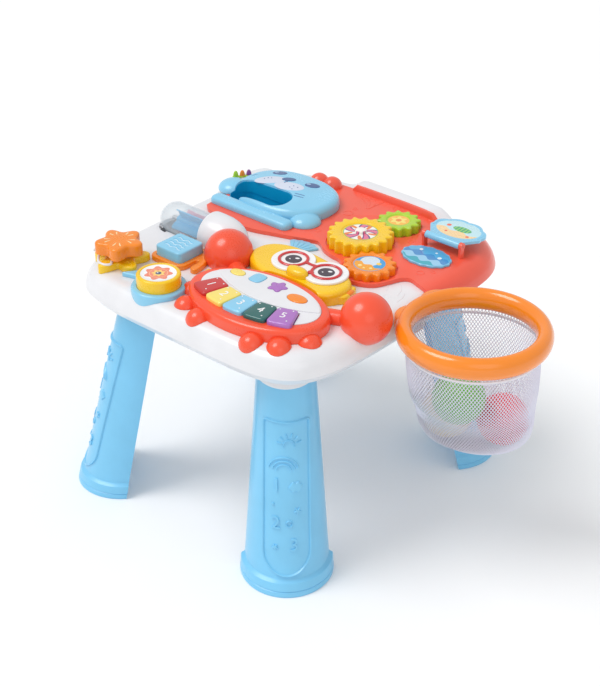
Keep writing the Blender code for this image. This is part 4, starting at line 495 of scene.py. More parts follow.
class Graph:
    """A material's node tree, its Principled shader and the point being shaded."""

    def __init__(self, name):
        self.material = bpy.data.materials.new(name)
        self.material.use_nodes = True
        self.tree = self.material.node_tree
        self.shader = self.tree.nodes["Principled BSDF"]

    def node(self, kind, settings, values):
        made = self.tree.nodes.new(kind)
        for key, value in settings.items():
            setattr(made, key, value)
        for key, value in values.items():
            if isinstance(value, Value):
                self.tree.links.new(value.socket, made.inputs[key])
            elif value is not None:
                made.inputs[key].default_value = value
        return made

    def add(self, kind, settings, *values, output=0, **named):
        numbered = dict(enumerate(values))
        made = self.node(kind, settings, {**numbered, **named})
        return Value(self, made.outputs[output])

    def point(self):
        return self.add("ShaderNodeTexCoord", {}, output="Object")

    def noise(self, scale, detail=2, point=None):
        place = point or self.point()
        made = self.node("ShaderNodeTexNoise", {}, {"Vector": place, "Scale": scale, "Detail": detail})
        return Value(self, made.outputs["Fac"])

    def mix(self, share, first, second):
        """The second colour laid over the first by `share`."""
        values = {0: share, 6: solid(first), 7: solid(second)}
        made = self.node("ShaderNodeMix", {"data_type": "RGBA"}, values)
        return Value(self, made.outputs[2])

    def set(self, name, value):
        if isinstance(value, Value):
            self.tree.links.new(value.socket, self.shader.inputs[name])
        else:
            self.shader.inputs[name].default_value = value

    def bump(self, height, distance, strength=1.0):
        values = {"Height": height, "Distance": distance, "Strength": strength}
        self.set("Normal", Value(self, self.node("ShaderNodeBump", {}, values).outputs[0]))


def solid(paint):
    """A colour with its alpha, or a socket as it is."""
    return paint if isinstance(paint, Value) or len(paint) == 4 else (*paint, 1)


def moulded(name, paint, rough=0.27, grain=0.000012, coat=0.35, print_on=None):
    """Moulded plastic: a faint unevenness in tone and gloss, and a fine grain."""
    found = bpy.data.materials.get(name)
    if found:
        return found
    graph = Graph(name)
    cloud = graph.noise(26, 3)
    fleck = graph.noise(420, 2)
    deep = tuple(value * 0.90 for value in paint)
    light = tuple(min(1.0, value * 1.05 + 0.004) for value in paint)
    tone = graph.mix(cloud, deep, light)
    if print_on:
        tone = print_on(graph, tone)
    graph.set("Base Color", tone)
    graph.set("Roughness", rough - 0.05 + cloud * 0.06 + fleck * 0.05)
    graph.set("Coat Weight", coat)
    graph.shader.inputs["Coat Roughness"].default_value = 0.12
    graph.bump(fleck + graph.noise(1400, 1) * 0.5, grain)
    return graph.material


def metal(name, paint):
    graph = Graph(name)
    fleck = graph.noise(700, 3)
    graph.set("Base Color", graph.mix(fleck, tuple(value * 0.8 for value in paint), paint))
    graph.set("Metallic", 1.0)
    graph.set("Roughness", 0.25 + fleck * 0.15)
    graph.bump(fleck, 0.00002)
    return graph.material


class Plan:
    """Masks in plan, in metres from a centre, for a print on a flat top."""

    def __init__(self, graph, centre, turn=0.0, soft=0.0002):
        self.graph = graph
        self.soft = soft
        mapped = graph.add(
            "ShaderNodeMapping", {"vector_type": "TEXTURE"}, graph.point(),
            (centre[0] + TRAY_X, centre[1], 0), (0, 0, turn),
        )
        parts = graph.node("ShaderNodeSeparateXYZ", {}, {0: mapped})
        self.x = Value(graph, parts.outputs[0])
        self.y = Value(graph, parts.outputs[1])
        self.radius = (self.x * self.x + self.y * self.y).math("SQRT")
        self.angle = self.y.math("ARCTAN2", self.x)

    def under(self, value, edge):
        """1 where the value is less than the edge, with a soft step."""
        return ((edge - value) * (1 / self.soft)).math("ADD", 0.5, clamp=True)

    def disc(self, x, y, radius, squash=1.0):
        across, along = self.x - x, (self.y - y) * (1 / squash)
        return self.under((across * across + along * along).math("SQRT"), radius)

    def ring(self, inner, outer):
        return self.under(self.radius, outer) * (1 - self.under(self.radius, inner))

    def petals(self, count, inner, outer, turn=0.0):
        """A rosette whose edge swings between two radii."""
        swing = (self.angle * count + turn).math("COSINE")
        return self.under(self.radius, swing * ((outer - inner) / 2) + (outer + inner) / 2)

    def sectors(self, count, twist, share=0.0):
        """Spiral arms that turn by `twist` radians a metre."""
        swing = (self.angle * count + self.radius * twist).math("COSINE")
        return ((swing - share) * 6).math("ADD", 0.5, clamp=True)


# Shapes


def oval(centre, half, count=96, power=2.0, turn=0.0):
    points = []
    for step in range(count):
        angle = 2 * pi * step / count
        along, across = cos(angle), sin(angle)
        reach = (abs(along) ** power + abs(across) ** power) ** (-1 / power)
        x, y = half[0] * along * reach, half[1] * across * reach
        points.append((centre[0] + x * cos(turn) - y * sin(turn), centre[1] + x * sin(turn) + y * cos(turn)))
    return points


def rounded_box(centre, half, corner, steps=8):
    points = []
    for quarter, (side_x, side_y) in enumerate(((1, 1), (-1, 1), (-1, -1), (1, -1))):
        for step in range(steps + 1):
            angle = (quarter + step / steps) * pi / 2
            points.append((
                centre[0] + side_x * (half[0] - corner) + corner * cos(angle),
                centre[1] + side_y * (half[1] - corner) + corner * sin(angle),
            ))
    return points


def soft_star(centre, tip, waist, turn, arms=5, count=24):
    points = []
    for step in range(arms * count):
        angle = 2 * pi * step / (arms * count)
        radius = waist + (tip - waist) * (1 + cos(arms * angle)) / 2
        points.append((centre[0] + radius * cos(angle + turn), centre[1] + radius * sin(angle + turn)))
    return points


def smooth_line(points, steps=6, closed=False):
    """A smooth curve through points of any dimension."""
    points = [Vector(point) for point in points]
    count = len(points)
    out = []
    spans = count if closed else count - 1
    for i in range(spans):
        a = points[(i - 1) % count] if closed or i else points[0]
        b, c = points[i], points[(i + 1) % count]
        d = points[(i + 2) % count] if closed or i + 2 < count else points[-1]
        for step in range(steps):
            t = step / steps
            out.append(
                b + (c - a) * (t / 2) + (a * 2 - b * 5 + c * 4 - d) * (t * t / 2)
                + (b * 3 - a - c * 3 + d) * (t * t * t / 2)
            )
    if not closed:
        out.append(points[-1])
    return out


def inward(outline, by):
    """The outline moved inward along its own normals."""
    count = len(outline)
    area = sum(
        outline[i][0] * outline[(i + 1) % count][1] - outline[(i + 1) % count][0] * outline[i][1]
        for i in range(count)
    )
    side = 1 if area > 0 else -1
    moved = []
    for i in range(count):
        before, after = Vector(outline[i - 1][:2]), Vector(outline[(i + 1) % count][:2])
        line = (after - before).normalized()
        moved.append((outline[i][0] - line.y * side * by, outline[i][1] + line.x * side * by))
    return moved


def loft(bm, rings, closed=False, caps=True):
    rows = [[bm.verts.new(point) for point in ring] for ring in rings]
    pairs = list(zip(rows, rows[1:]))
    if closed:
        pairs.append((rows[-1], rows[0]))
    for low, high in pairs:
        for i in range(len(low)):
            j = (i + 1) % len(low)
            bm.faces.new((low[i], low[j], high[j], high[i]))
    if caps and not closed:
        bm.faces.new(rows[0][::-1])
        bm.faces.new(rows[-1])
    return bm


def flat_ring(outline, z):
    return [(point[0], point[1], z) for point in outline]


def pillow(bm, outline, low, high, edge, dome=0.0, foot=0.0, steps=6):
    """A raised shape with a rounded upper edge, a crowned top and, where asked, a rounded foot."""
    centre = Vector((sum(p[0] for p in outline), sum(p[1] for p in outline))) / len(outline)
    rings = []
    for step in range(steps if foot else 0):
        turn = step / steps * pi / 2
        rings.append(flat_ring(inward(outline, foot * (1 - sin(turn))), low + foot * (1 - cos(turn))))
    rings.append(flat_ring(outline, low + foot))
    for step in range(steps + 1):
        turn = step / steps * pi / 2
        rings.append(flat_ring(inward(outline, edge * (1 - cos(turn))), high - dome - edge * (1 - sin(turn))))
    last = rings[-1]
    for share in (0.92, 0.8, 0.64, 0.46, 0.28, 0.12):
        height = high - dome * share * share
        rings.append([(*(centre + (Vector(p[:2]) - centre) * share), height) for p in last])
    return loft(bm, rings)


def slab(bm, outline, low, high):
    return loft(bm, [flat_ring(outline, low), flat_ring(outline, high)])


def dome(bm, centre, radii, segments=48, rings=28):
    place = Matrix.Translation(centre) @ Matrix.Diagonal((*radii, 1))
    bmesh.ops.create_uvsphere(bm, u_segments=segments, v_segments=rings, radius=1, matrix=place)
    return bm


def rod(bm, start, end, radius, segments=40, end_radius=None):
    line = Vector(end) - Vector(start)
    place = Matrix.Translation((Vector(start) + Vector(end)) / 2)
    place @= line.to_track_quat("Z", "Y").to_matrix().to_4x4()
    bmesh.ops.create_cone(
        bm, cap_ends=True, segments=segments, radius1=radius,
        radius2=radius if end_radius is None else end_radius, depth=line.length, matrix=place,
    )
    return bm


def revolve(profile, place, steps):
    rings = []
    for radius, height in profile:
        turns = [2 * pi * step / steps for step in range(steps)]
        rings.append([place @ Vector((radius * cos(turn), radius * sin(turn), height)) for turn in turns])
    return rings


def tube(bm, path, radius, sides=10, flat=1.0):
    """A round bar along a path, flattened by `flat` in height."""
    path = [Vector(point) for point in path]
    rings = []
    for i, point in enumerate(path):
        line = (path[min(i + 1, len(path) - 1)] - path[max(i - 1, 0)]).normalized()
        across = line.cross(Vector((0, 0, 1))).normalized()
        up = across.cross(line)
        size = radius * (0.35 if i in (0, len(path) - 1) else 1)
        angles = [2 * pi * side / sides for side in range(sides)]
        rings.append([point + across * size * cos(a) + up * size * flat * sin(a) for a in angles])
    return loft(bm, rings)


def raw(name, bm):
    """A bmesh in tray coordinates as an object in the scene, not yet a piece."""
    bmesh.ops.translate(bm, verts=bm.verts, vec=(TRAY_X, 0, 0))
    bmesh.ops.recalc_face_normals(bm, faces=bm.faces)
    mesh = bpy.data.meshes.new(name)
    bm.to_mesh(mesh)
    bm.free()
    obj = bpy.data.objects.new(name, mesh)
    bpy.context.scene.collection.objects.link(obj)
    return obj


def bake(obj):
    """Apply the object's modifiers."""
    graph = bpy.context.evaluated_depsgraph_get()
    mesh = bpy.data.meshes.new_from_object(obj.evaluated_get(graph))
    obj.modifiers.clear()
    old = obj.data
    obj.data = mesh
    bpy.data.meshes.remove(old)
    return obj


def carve(obj, operation, *tools, tangled=False):
    """Booleans with each tool; `tangled` is for an object whose own parts cross each other."""
    for tool in tools:
        step = obj.modifiers.new(tool.name, "BOOLEAN")
        step.operation = operation
        step.solver = "EXACT"
        step.use_self = tangled
        step.object = tool
    bake(obj)
    for tool in tools:
        bpy.data.objects.remove(tool, do_unlink=True)
    return obj


def rounded(obj, width, angle=radians(38), segments=3):
    step = obj.modifiers.new("rounding", "BEVEL")
    step.width = width
    step.segments = segments
    step.limit_method = "ANGLE"
    step.angle_limit = angle
    return bake(obj)


def piece(obj, material, body, nodes=(), smooth=34):
    """Finish an object: its material, its shading, the body it rides on and what it stands for."""
    obj.data.materials.clear()
    obj.data.materials.append(material)
    obj.data.shade_smooth()
    obj.data.set_sharp_from_angle(angle=radians(smooth))
    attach(obj, body)
    if nodes:
        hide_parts(*nodes)
    return obj


def glyph(text, size, thick):
    """A plain numeral as a mesh about its middle, standing on z = 0."""
    curve = bpy.data.curves.new("numeral", "FONT")
    curve.body = text
    curve.size = size
    curve.extrude = thick / 2
    curve.resolution_u = 4
    curve.align_x = "CENTER"
    curve.align_y = "CENTER"
    holder = bpy.data.objects.new("numeral", curve)
    bpy.context.scene.collection.objects.link(holder)
    graph = bpy.context.evaluated_depsgraph_get()
    mesh = bpy.data.meshes.new_from_object(holder.evaluated_get(graph))
    bpy.data.objects.remove(holder, do_unlink=True)
    bm = bmesh.new()
    bm.from_mesh(mesh)
    bpy.data.meshes.remove(mesh)
    bmesh.ops.translate(bm, verts=bm.verts, vec=(0, 0, thick / 2))
    bmesh.ops.remove_doubles(bm, verts=bm.verts, dist=0.00001)
    return bm


def merge(bm, other, move):
    """Copy another bmesh in, with each point moved by a function."""
    made = {vert: bm.verts.new(move(vert.co)) for vert in other.verts}
    for face in other.faces:
        bm.faces.new([made[vert] for vert in face.verts])
    other.free()


# Tray surface


def tray_edge(angle, inset):
    along, across = cos(angle), sin(angle)
    half_x = TRAY_HALF_X - inset
    half_y = (TRAY_BACK if across > 0 else TRAY_FRONT) - inset
    power = BACK_SQUARENESS if across > 0 else FRONT_SQUARENESS
    reach = (abs(along / half_x) ** power + abs(across / half_y) ** power) ** (-1 / power)
    return reach * along, WIDEST_Y + reach * across


def edge_angles(count):
    """Angles that space the tray's outline evenly."""
    dense = [2 * pi * step / 7200 for step in range(7201)]
    points = [Vector(tray_edge(angle, 0.0)) for angle in dense]
    along = [0.0]
    for first, second in zip(points, points[1:]):
        along.append(along[-1] + (second - first).length)
    angles, place = [], 0
    for step in range(count):
        while along[place + 1] <= along[-1] * step / count:
            place += 1
        angles.append(dense[place])
    return angles


EVEN_ANGLES = edge_angles(TRAY_STEPS)


def rim_share(angle):
    share = 0.0
    for start, end in RIM_SPANS:
        share = max(share, min(1.0, (angle - start) / RIM_EASE, (end - angle) / RIM_EASE))
    return share * share * (3 - 2 * share)


def plain_height(inset):
    if inset >= SHOULDER:
        return TRAY_TOP_Z
    slope = 1 - inset / SHOULDER
    return TRAY_SIDE_Z + (TRAY_TOP_Z - TRAY_SIDE_Z) * sqrt(1 - slope * slope)


def raised_height(across):
    """Share of the rim's height at a share of its width."""
    rows = ((0.0, 0.0), *RIM_SHARES, (1.0, 0.6))
    for (low, first), (high, second) in zip(rows, rows[1:]):
        if low <= across <= high:
            return first + (second - first) * (across - low) / (high - low)
    return 0.0


def tray_profile(share):
    rim_top = TRAY_TOP_Z + RIM_RISE * share
    insets = sorted({s * SHOULDER for s in SHOULDER_SHARES} | {s * RIM_WIDTH for s, _ in RIM_SHARES})
    rows = [(0.0, TRAY_SIDE_Z)]
    for inset in insets:
        plain = plain_height(inset)
        raised = TRAY_SIDE_Z + (rim_top - TRAY_SIDE_Z) * raised_height(inset / RIM_WIDTH)
        rows.append((inset, plain + (max(plain, raised) - plain) * share))
    rows.append((RIM_WIDTH, TRAY_TOP_Z))
    rows.append((RIM_WIDTH * 1.1, TRAY_TOP_Z))
    return rows


def moved_profile(rows, outset):
    moved = []
    for i, (inset, height) in enumerate(rows):
        before, here = Vector(rows[max(i - 1, 0)]), Vector((inset, height))
        after = Vector(rows[min(i + 1, len(rows) - 1)])
        start = (here - before) if i else Vector((0, 1))
        end = (after - here) if i < len(rows) - 1 else Vector((1, 0))
        line = (start.normalized() + end.normalized()).normalized()
        moved.append(here + Vector((-line.y, line.x)) * outset)
    return moved


def tray_rings(outset, low, rim=True):
    columns = []
    for angle in EVEN_ANGLES:
        rows = moved_profile(tray_profile(rim_share(angle) if rim else 0.0), outset)
        column = [(*tray_edge(angle, TRAY_TUCK - outset), low)]
        column += [(*tray_edge(angle, row.x), row.y) for row in rows]
        columns.append(column)
    return [list(ring) for ring in zip(*columns)]


def tray_solid(name, outset, low, rim=True):
    return raw(name, loft(bmesh.new(), tray_rings(outset, low, rim)))


def skin():
    """The space inside the tray, grown by the fit, which trims what stands on it."""
    return tray_solid("skin", GAP, TRAY_BOTTOM_Z - OVERRUN)


def tool(name, outline, low, high):
    return raw(name, slab(bmesh.new(), outline, low, high))


def ball_tool(name, centre, radius):
    return raw(name, dome(bmesh.new(), centre, (radius, radius, radius), 64, 40))


def rod_tool(name, start, end, radius, segments=64):
    return raw(name, rod(bmesh.new(), start, end, radius, segments))


def drum_place(x):
    return Matrix.Translation((x, DRUM_Y, DRUM_Z)) @ Matrix.Rotation(-pi / 2, 4, "Y")


def capsule(name, radius, right, steps=64):
    """A tool round the roller's axis, with a ball end at the left."""
    profile = [(radius, -right)]
    for step in range(16):
        turn = pi / 2 * step / 16
        profile.append((radius * cos(turn), DRUM_RIGHT_X - DRUM_DOME_X + radius * sin(turn)))
    return raw(name, loft(bmesh.new(), revolve(profile, drum_place(DRUM_RIGHT_X), steps)))


# Builders


def build_tray(shell):
    bm = bmesh.new()
    outer = tray_rings(0.0, TRAY_BOTTOM_Z)
    inner = [flat_ring([tray_edge(a, TRAY_TUCK + TRAY_WALL) for a in EVEN_ANGLES], TRAY_BOTTOM_Z)]
    inner += [[(*tray_edge(a, TRAY_WALL), TRAY_SIDE_Z) for a in EVEN_ANGLES]]
    inner += [[(*tray_edge(a, SHOULDER), TRAY_TOP_Z - TRAY_WALL) for a in EVEN_ANGLES]]
    rings = inner[::-1] + outer
    loft(bm, rings)
    tray = raw("tray_shell", bm)
    cup = rounded_box(MOUTH, (MOUTH_HALF[0] + MOUTH_CUP_WALL, MOUTH_HALF[1] + MOUTH_CUP_WALL), MOUTH_HALF[1])
    carve(
        tray, "DIFFERENCE",
        tool("mouth hole", cup, TRAY_BOTTOM_Z, TRAY_TOP_Z + OVERRUN),
        capsule("drum hole", DRUM_RADIUS + 4 * GAP + TRAY_WALL, 4 * GAP + TRAY_WALL),
        tool(
            "switch slot", rounded_box(SWITCH, SWITCH_SLOT_HALF, SWITCH_SLOT_CORNER), TRAY_BOTTOM_Z,
            TRAY_TOP_Z + OVERRUN,
        ),
    )
    white = moulded("white plastic", shell.white, rough=0.30)
    piece(tray, white, "table", ("table_shell",), smooth=28)
    bm = bmesh.new()
    for line in TRAY_LINES:
        tube(bm, [(*point, TRAY_TOP_Z) for point in smooth_line(line)], 0.0008, flat=0.6)
    for dot in TRAY_DOTS:
        tube(bm, [(*p, TRAY_TOP_Z) for p in oval(dot, (TRAY_DOT_RADIUS,) * 2, 24)], 0.0006, flat=0.6)
    piece(raw("tray_marks", bm), white, "table")
    # The hook's slot in the side wall is lined by the keeper.
    bm = bmesh.new()
    low, high = KEEPER_LOW_Z, KEEPER_HIGH_Z
    for side in (-1, 1):
        outline = rounded_box((TONGUE_X, side * KEEPER_SIDE_Y), (0.0038, 0.001), SMALL_CORNER, 3)
        slab(bm, outline, low, high)
    slab(bm, rounded_box((KEEPER_BACK_X, 0.0), (0.001, 0.0143), SMALL_CORNER, 3), low, high)
    piece(raw("tray_keeper", bm), white, "table")


def build_cover(shell):
    """Bottom cover with its four leg collars, battery well and speaker grille."""
    low, high = COVER_Z, COVER_Z + COVER_THICK
    outline = [tray_edge(angle, TRAY_TUCK + TRAY_WALL + GAP) for angle in EVEN_ANGLES]
    cover = raw("bottom_shell", slab(bmesh.new(), outline, low, high))
    collars = []
    for name, side_x, side_y in LEGS:
        leg = leg_frame(side_x, side_y)
        wall = GAP + SOCKET_WALL
        rings = []
        for z, more in (
            (SOCKET_LOW_Z, wall - COLLAR_LIP), (SOCKET_LOW_Z + COLLAR_LIP, wall), (high + SOCKET_WALL, wall),
        ):
            rings.append(leg_arc(leg, z, more, wall))
        collars.append(raw(f"collar {name}", loft(bmesh.new(), rings)))
    carve(cover, "UNION", *collars)
    rooms = []
    for name, side_x, side_y in LEGS:
        leg = leg_frame(side_x, side_y)
        ends = (SOCKET_LOW_Z - OVERRUN, high + SOCKET_WALL + OVERRUN)
        rings = [leg_arc(leg, z, GAP, GAP) for z in ends]
        rooms.append(raw(f"room {name}", loft(bmesh.new(), rings)))
    carve(cover, "DIFFERENCE", *rooms)
    door_low, door_high = node_box("battery_door")
    centre = (door_low + door_high) / 2
    half = (door_high - door_low) / 2
    middle = (centre.x - TRAY_X, centre.y)
    seat = rounded_box(middle, (half.x + GAP, half.y + GAP), DOOR_CORNER, 3)
    speaker_low, speaker_high = node_box("speaker")
    mouth = ((speaker_low.x + speaker_high.x) / 2 - TRAY_X, (speaker_low.y + speaker_high.y) / 2)
    cutters = [tool("door seat", seat, low - OVERRUN, low + DOOR_SEAT)]
    for column, row in ((0, 0), (1, 0), (-1, 0), (0, 1), (0, -1), (1, 1), (-1, -1), (1, -1), (-1, 1)):
        x, y = mouth[0] + column * GRILLE_PITCH, mouth[1] + row * GRILLE_PITCH
        cutters.append(
            rod_tool(f"grille {column} {row}", (x, y, low - OVERRUN), (x, y, high + OVERRUN), GRILLE_HOLE, 24)
        )
    carve(cover, "DIFFERENCE", *cutters)
    piece(
        cover, moulded("cover plastic", shell.white, rough=0.42, coat=0.1), "table", ("bottom_cover",),
    )
    bm = slab(bmesh.new(), rounded_box(middle, (half.x, half.y), DOOR_CORNER, 3), low, low + DOOR_THICK)
    for step in range(DOOR_RIBS):
        y = middle[1] - 0.008 + step * DOOR_RIB_PITCH
        tube(bm, [(middle[0] + x, y, low) for x in (-DOOR_RIB_HALF, 0, DOOR_RIB_HALF)], 0.0008, 8)
    piece(raw("battery_hatch", bm), bpy.data.materials["cover plastic"], "table", ("battery_door",))


def leg_frame(side_x, side_y):
    out = Vector((side_x * cos(LEG_HEADING), side_y * sin(LEG_HEADING)))
    return Vector((side_x * FOOT_X, side_y * FOOT_Y)), out, Vector((-out.y, out.x))


def leg_size(z):
    share = z / LEG_TOP_Z
    half = LEG_FOOT_HALF_WIDTH + (LEG_TOP_HALF_WIDTH - LEG_FOOT_HALF_WIDTH) * share
    return half, LEG_FOOT_DEPTH + (LEG_TOP_DEPTH - LEG_FOOT_DEPTH) * share


def leg_point(leg, z, turn, more):
    foot, out, along = leg
    half, depth = leg_size(z)
    place = foot - out * LEG_LEAN * z + out * (depth + more) * cos(turn) + along * (half + more) * sin(turn)
    return Vector((place.x, place.y, z))


def leg_arc(leg, z, more, back=0.0):
    points = [leg_point(leg, z, pi * (step / LEG_STEPS - 0.5), more) for step in range(LEG_STEPS + 1)]
    if back:
        foot, out, along = leg
        middle = foot - out * LEG_LEAN * z
        half = leg_size(z)[0] + more
        for side in (1, -1):
            place = middle - out * back + along * half * side
            points.append(Vector((place.x, place.y, z)))
    return [tuple(point) for point in points]


def on_leg(leg, across, z, more):
    """A point of the leg's outer face, measured across it and up it, lifted by `more`."""
    half, _ = leg_size(z)
    return leg_point(leg, z, asin(max(-1.0, min(1.0, across / half))), more)


def leg_ribbon(bm, leg, path, width, rise):
    """A raised rib along a path on the leg's outer face."""
    path = [Vector(point) for point in path]
    rings = []
    for i, point in enumerate(path):
        line = (path[min(i + 1, len(path) - 1)] - path[max(i - 1, 0)]).normalized()
        side = Vector((-line.y, line.x)) * width / 2
        ring = []
        for share, lift in (
            (-1, -SINK), (-0.72, rise * 0.6), (-0.3, rise), (0.3, rise), (0.72, rise * 0.6), (1, -SINK),
        ):
            place = point + side * share
            ring.append(on_leg(leg, place.x, place.y, lift))
        rings.append(ring)
    loft(bm, rings)


def leg_patch(bm, leg, centre, reach, rise, count=28):
    """A raised patch on the leg's outer face; `reach` gives its radius at each angle."""
    rings = []
    for share, lift in (
        (1.0, -SINK), (0.93, rise * 0.7), (0.82, rise), (0.5, rise * 1.1), (0.1, rise * 1.15),
    ):
        ring = []
        for step in range(count):
            turn = 2 * pi * step / count
            radius = reach(turn) * share
            ring.append(on_leg(leg, centre[0] + radius * cos(turn), centre[1] + radius * sin(turn), lift))
        rings.append(ring)
    loft(bm, rings)


def arc(centre, radius, start, end, steps=18):
    turns = [radians(start + (end - start) * step / steps) for step in range(steps + 1)]
    return [(centre[0] + radius * cos(turn), centre[1] + radius * sin(turn)) for turn in turns]


def leg_motifs(bm, leg, rise):
    """The framed panel with its sun, rainbow, cloud, stars and numerals."""
    border = [(-PANEL_HALF_TOP, PANEL_TOP - 0.004)]
    border += arc((-PANEL_HALF_TOP + 0.004, PANEL_TOP - 0.004), 0.004, 180, 90, 4)
    border += [(across * 0.004, PANEL_TOP) for across in range(-4, 5)]
    border += arc((PANEL_HALF_TOP - 0.004, PANEL_TOP - 0.004), 0.004, 90, 0, 4)
    for step in range(1, 13):
        share = step / 12
        z = PANEL_TOP + (PANEL_LOW + PANEL_HALF_LOW - PANEL_TOP) * share
        border.append((PANEL_HALF_TOP + (PANEL_HALF_LOW - PANEL_HALF_TOP) * share, z))
    border += arc((0, PANEL_LOW + PANEL_HALF_LOW), PANEL_HALF_LOW, 0, -180, 28)[1:]
    for step in range(1, 13):
        share = 1 - step / 12
        z = PANEL_TOP - 0.004 + (PANEL_LOW + PANEL_HALF_LOW - PANEL_TOP + 0.004) * share
        border.append((-PANEL_HALF_TOP - (PANEL_HALF_LOW - PANEL_HALF_TOP) * share, z))
    leg_ribbon(bm, leg, border, PANEL_RIDGE, rise * 1.3)
    leg_ribbon(bm, leg, arc(LEG_SUN, LEG_SUN_RADIUS, -10, 190), 0.0014, rise)
    for ray in range(6):
        turn = radians(15 + ray * 30)
        ends = [(LEG_SUN[0] + r * cos(turn), LEG_SUN[1] + r * sin(turn)) for r in LEG_SUN_RAYS]
        leg_ribbon(bm, leg, ends, 0.0016, rise)
    for radius in LEG_RAINBOW_RADII:
        leg_ribbon(bm, leg, arc(LEG_RAINBOW, radius, 12, 168), 0.0018, rise)
    leg_patch(bm, leg, (0.010, 0.128), lambda t: 0.0052 + 0.0022 * abs(cos(t)) + 0.0008 * cos(6 * t), rise)
    leg_patch(bm, leg, (0.012, 0.100), lambda t: 0.0030 + 0.0014 * cos(5 * t + pi / 2), rise)
    leg_patch(bm, leg, (-0.013, 0.058), lambda t: 0.0026 + 0.0012 * cos(5 * t + pi / 2), rise)
    leg_patch(bm, leg, (-0.015, 0.108), lambda t: 0.0016, rise, 16)
    leg_ribbon(bm, leg, arc((0.003, 0.086), 0.0034, 0, 360), 0.0013, rise)
    for text, across, up in LEG_NUMERALS:
        numeral = glyph(text, LEG_NUMERAL_SIZE, 1.0)
        merge(bm, numeral, lambda co: on_leg(leg, across + co.x, up + co.y, rise if co.z > 0.5 else -SINK))


def build_legs(shell):
    blue = moulded("sky plastic", shell.sky, rough=0.33, coat=0.25)
    for name, side_x, side_y in LEGS:
        leg = leg_frame(side_x, side_y)
        levels = list(BAND_PROFILE)
        levels += [(0.020 + (LEG_TOP_Z - 0.020) * step / 12, 0.0) for step in range(1, 13)]
        rings = []
        for z, more in levels:
            inner = leg_arc(leg, z, -LEG_WALL)
            rings.append(leg_arc(leg, z, more) + inner[::-1])
        bm = loft(bmesh.new(), rings)
        leg_motifs(bm, leg, shell.relief)
        piece(raw(f"{name}_shell", bm), blue, "table", (name,), smooth=30)


def deck_outline():
    outline = [tuple(point) for point in smooth_line(DECK_EDGE, 8)]
    right = 2 * TRAY_HALF_X
    outline.append((right, DECK_EDGE[-1][1]))
    outline.append((right, WIDEST_Y + right * tan(DECK_START)))
    steps = 140
    for step in range(steps + 1):
        angle = DECK_START + (DECK_END - DECK_START) * step / steps
        outline.append(tray_edge(angle, RIM_WIDTH + 2 * GAP))
    return outline


def pitch_radius(teeth):
    return GEAR_MODULE * teeth / 2


def tip_radius(teeth):
    return pitch_radius(teeth) - TOOTH_EASE + TOOTH_WAVE


def gear_place(name):
    if name == "large":
        return GEAR
    reach = pitch_radius(TEETH["large"]) + pitch_radius(TEETH[name])
    return GEAR[0] + reach * cos(BEARINGS[name]), GEAR[1] + reach * sin(BEARINGS[name])


def build_deck(shell):
    deck = tray_solid("deck_panel", GAP + DECK_THICK, TRAY_BOTTOM_Z, rim=False)
    carve(deck, "INTERSECT", tool("deck plan", deck_outline(), DECK_LOW_Z, TRAY_TOP_Z + 2 * DECK_THICK))
    cutters = [skin()]
    for name in TEETH:
        x, y = gear_place(name)
        radius = tip_radius(TEETH[name]) + WELL_MARGIN
        cutters.append(
            rod_tool(f"well {name}", (x, y, DECK_TOP - WELL_DEPTH), (x, y, DECK_TOP + OVERRUN), radius, 96)
        )
    carve(deck, "DIFFERENCE", *cutters)
    rounded(deck, shell.deck_round)
    cup = rounded_box(MOUTH, (MOUTH_HALF[0] + MOUTH_CUP_WALL, MOUTH_HALF[1] + MOUTH_CUP_WALL), MOUTH_HALF[1])
    carve(deck, "DIFFERENCE", tool("mouth hole", cup, TRAY_BOTTOM_Z, DECK_TOP + OVERRUN))
    red = moulded("deck plastic", shell.deck, rough=0.30)
    piece(deck, red, "table", ("red_panel",), smooth=30)
    bm = bmesh.new()
    rings = []
    steps = 70
    low, high = DECK_TOP - SINK, DECK_TOP + DECK_BAND_RISE
    outer, inner = RIM_WIDTH + 3 * GAP, DECK_BAND_IN
    for step in range(steps + 1):
        angle = DECK_BAND_START + (DECK_BAND_END - DECK_BAND_START) * step / steps
        ends = min(1.0, step / 3, (steps - step) / 3)
        top = low + (high - low) * (0.25 + 0.75 * ends)
        ring = [(*tray_edge(angle, outer), low), (*tray_edge(angle, outer), top - 0.001)]
        ring += [(*tray_edge(angle, outer + 0.0008), top), (*tray_edge(angle, inner - 0.0008), top)]
        ring += [(*tray_edge(angle, inner), top - 0.001), (*tray_edge(angle, inner + 0.0012), low)]
        rings.append(ring)
    loft(bm, rings)
    for x, y in BUMP_PLACES:
        dome(bm, (x, y, DECK_TOP), (BUMP_RADIUS, BUMP_RADIUS, BUMP_RADIUS))
    for side in (-1, 1):
        near = PAGE_X + side * (BARREL_HALF + 0.0004)
        far = near + side * 0.004
        rod(bm, (near, HINGE_Y, HINGE_Z), (far, HINGE_Y, HINGE_Z), BARREL_RADIUS, 32)
        foot = rounded_box(((near + far) / 2, HINGE_Y), (0.0017, 0.004), 0.0008, 3)
        slab(bm, foot, DECK_TOP - SINK, HINGE_Z)
    deck_marks(bm)
    piece(raw("deck_trim", bm), red, "table", smooth=30)


def deck_marks(bm):
    """Moulded lines on the deck: a leafy wedge and small rings."""
    tube(bm, [(*p, DECK_TOP) for p in smooth_line(DECK_WEDGE, 8, closed=True)], 0.0008, flat=0.7)
    for line in DECK_VEINS:
        tube(bm, [(*p, DECK_TOP) for p in smooth_line(line)], 0.0006, flat=0.7)
    for x, y, radius in DECK_CIRCLES:
        tube(bm, [(*p, DECK_TOP) for p in oval((x, y), (radius, radius), 32)], 0.0007, flat=0.7)


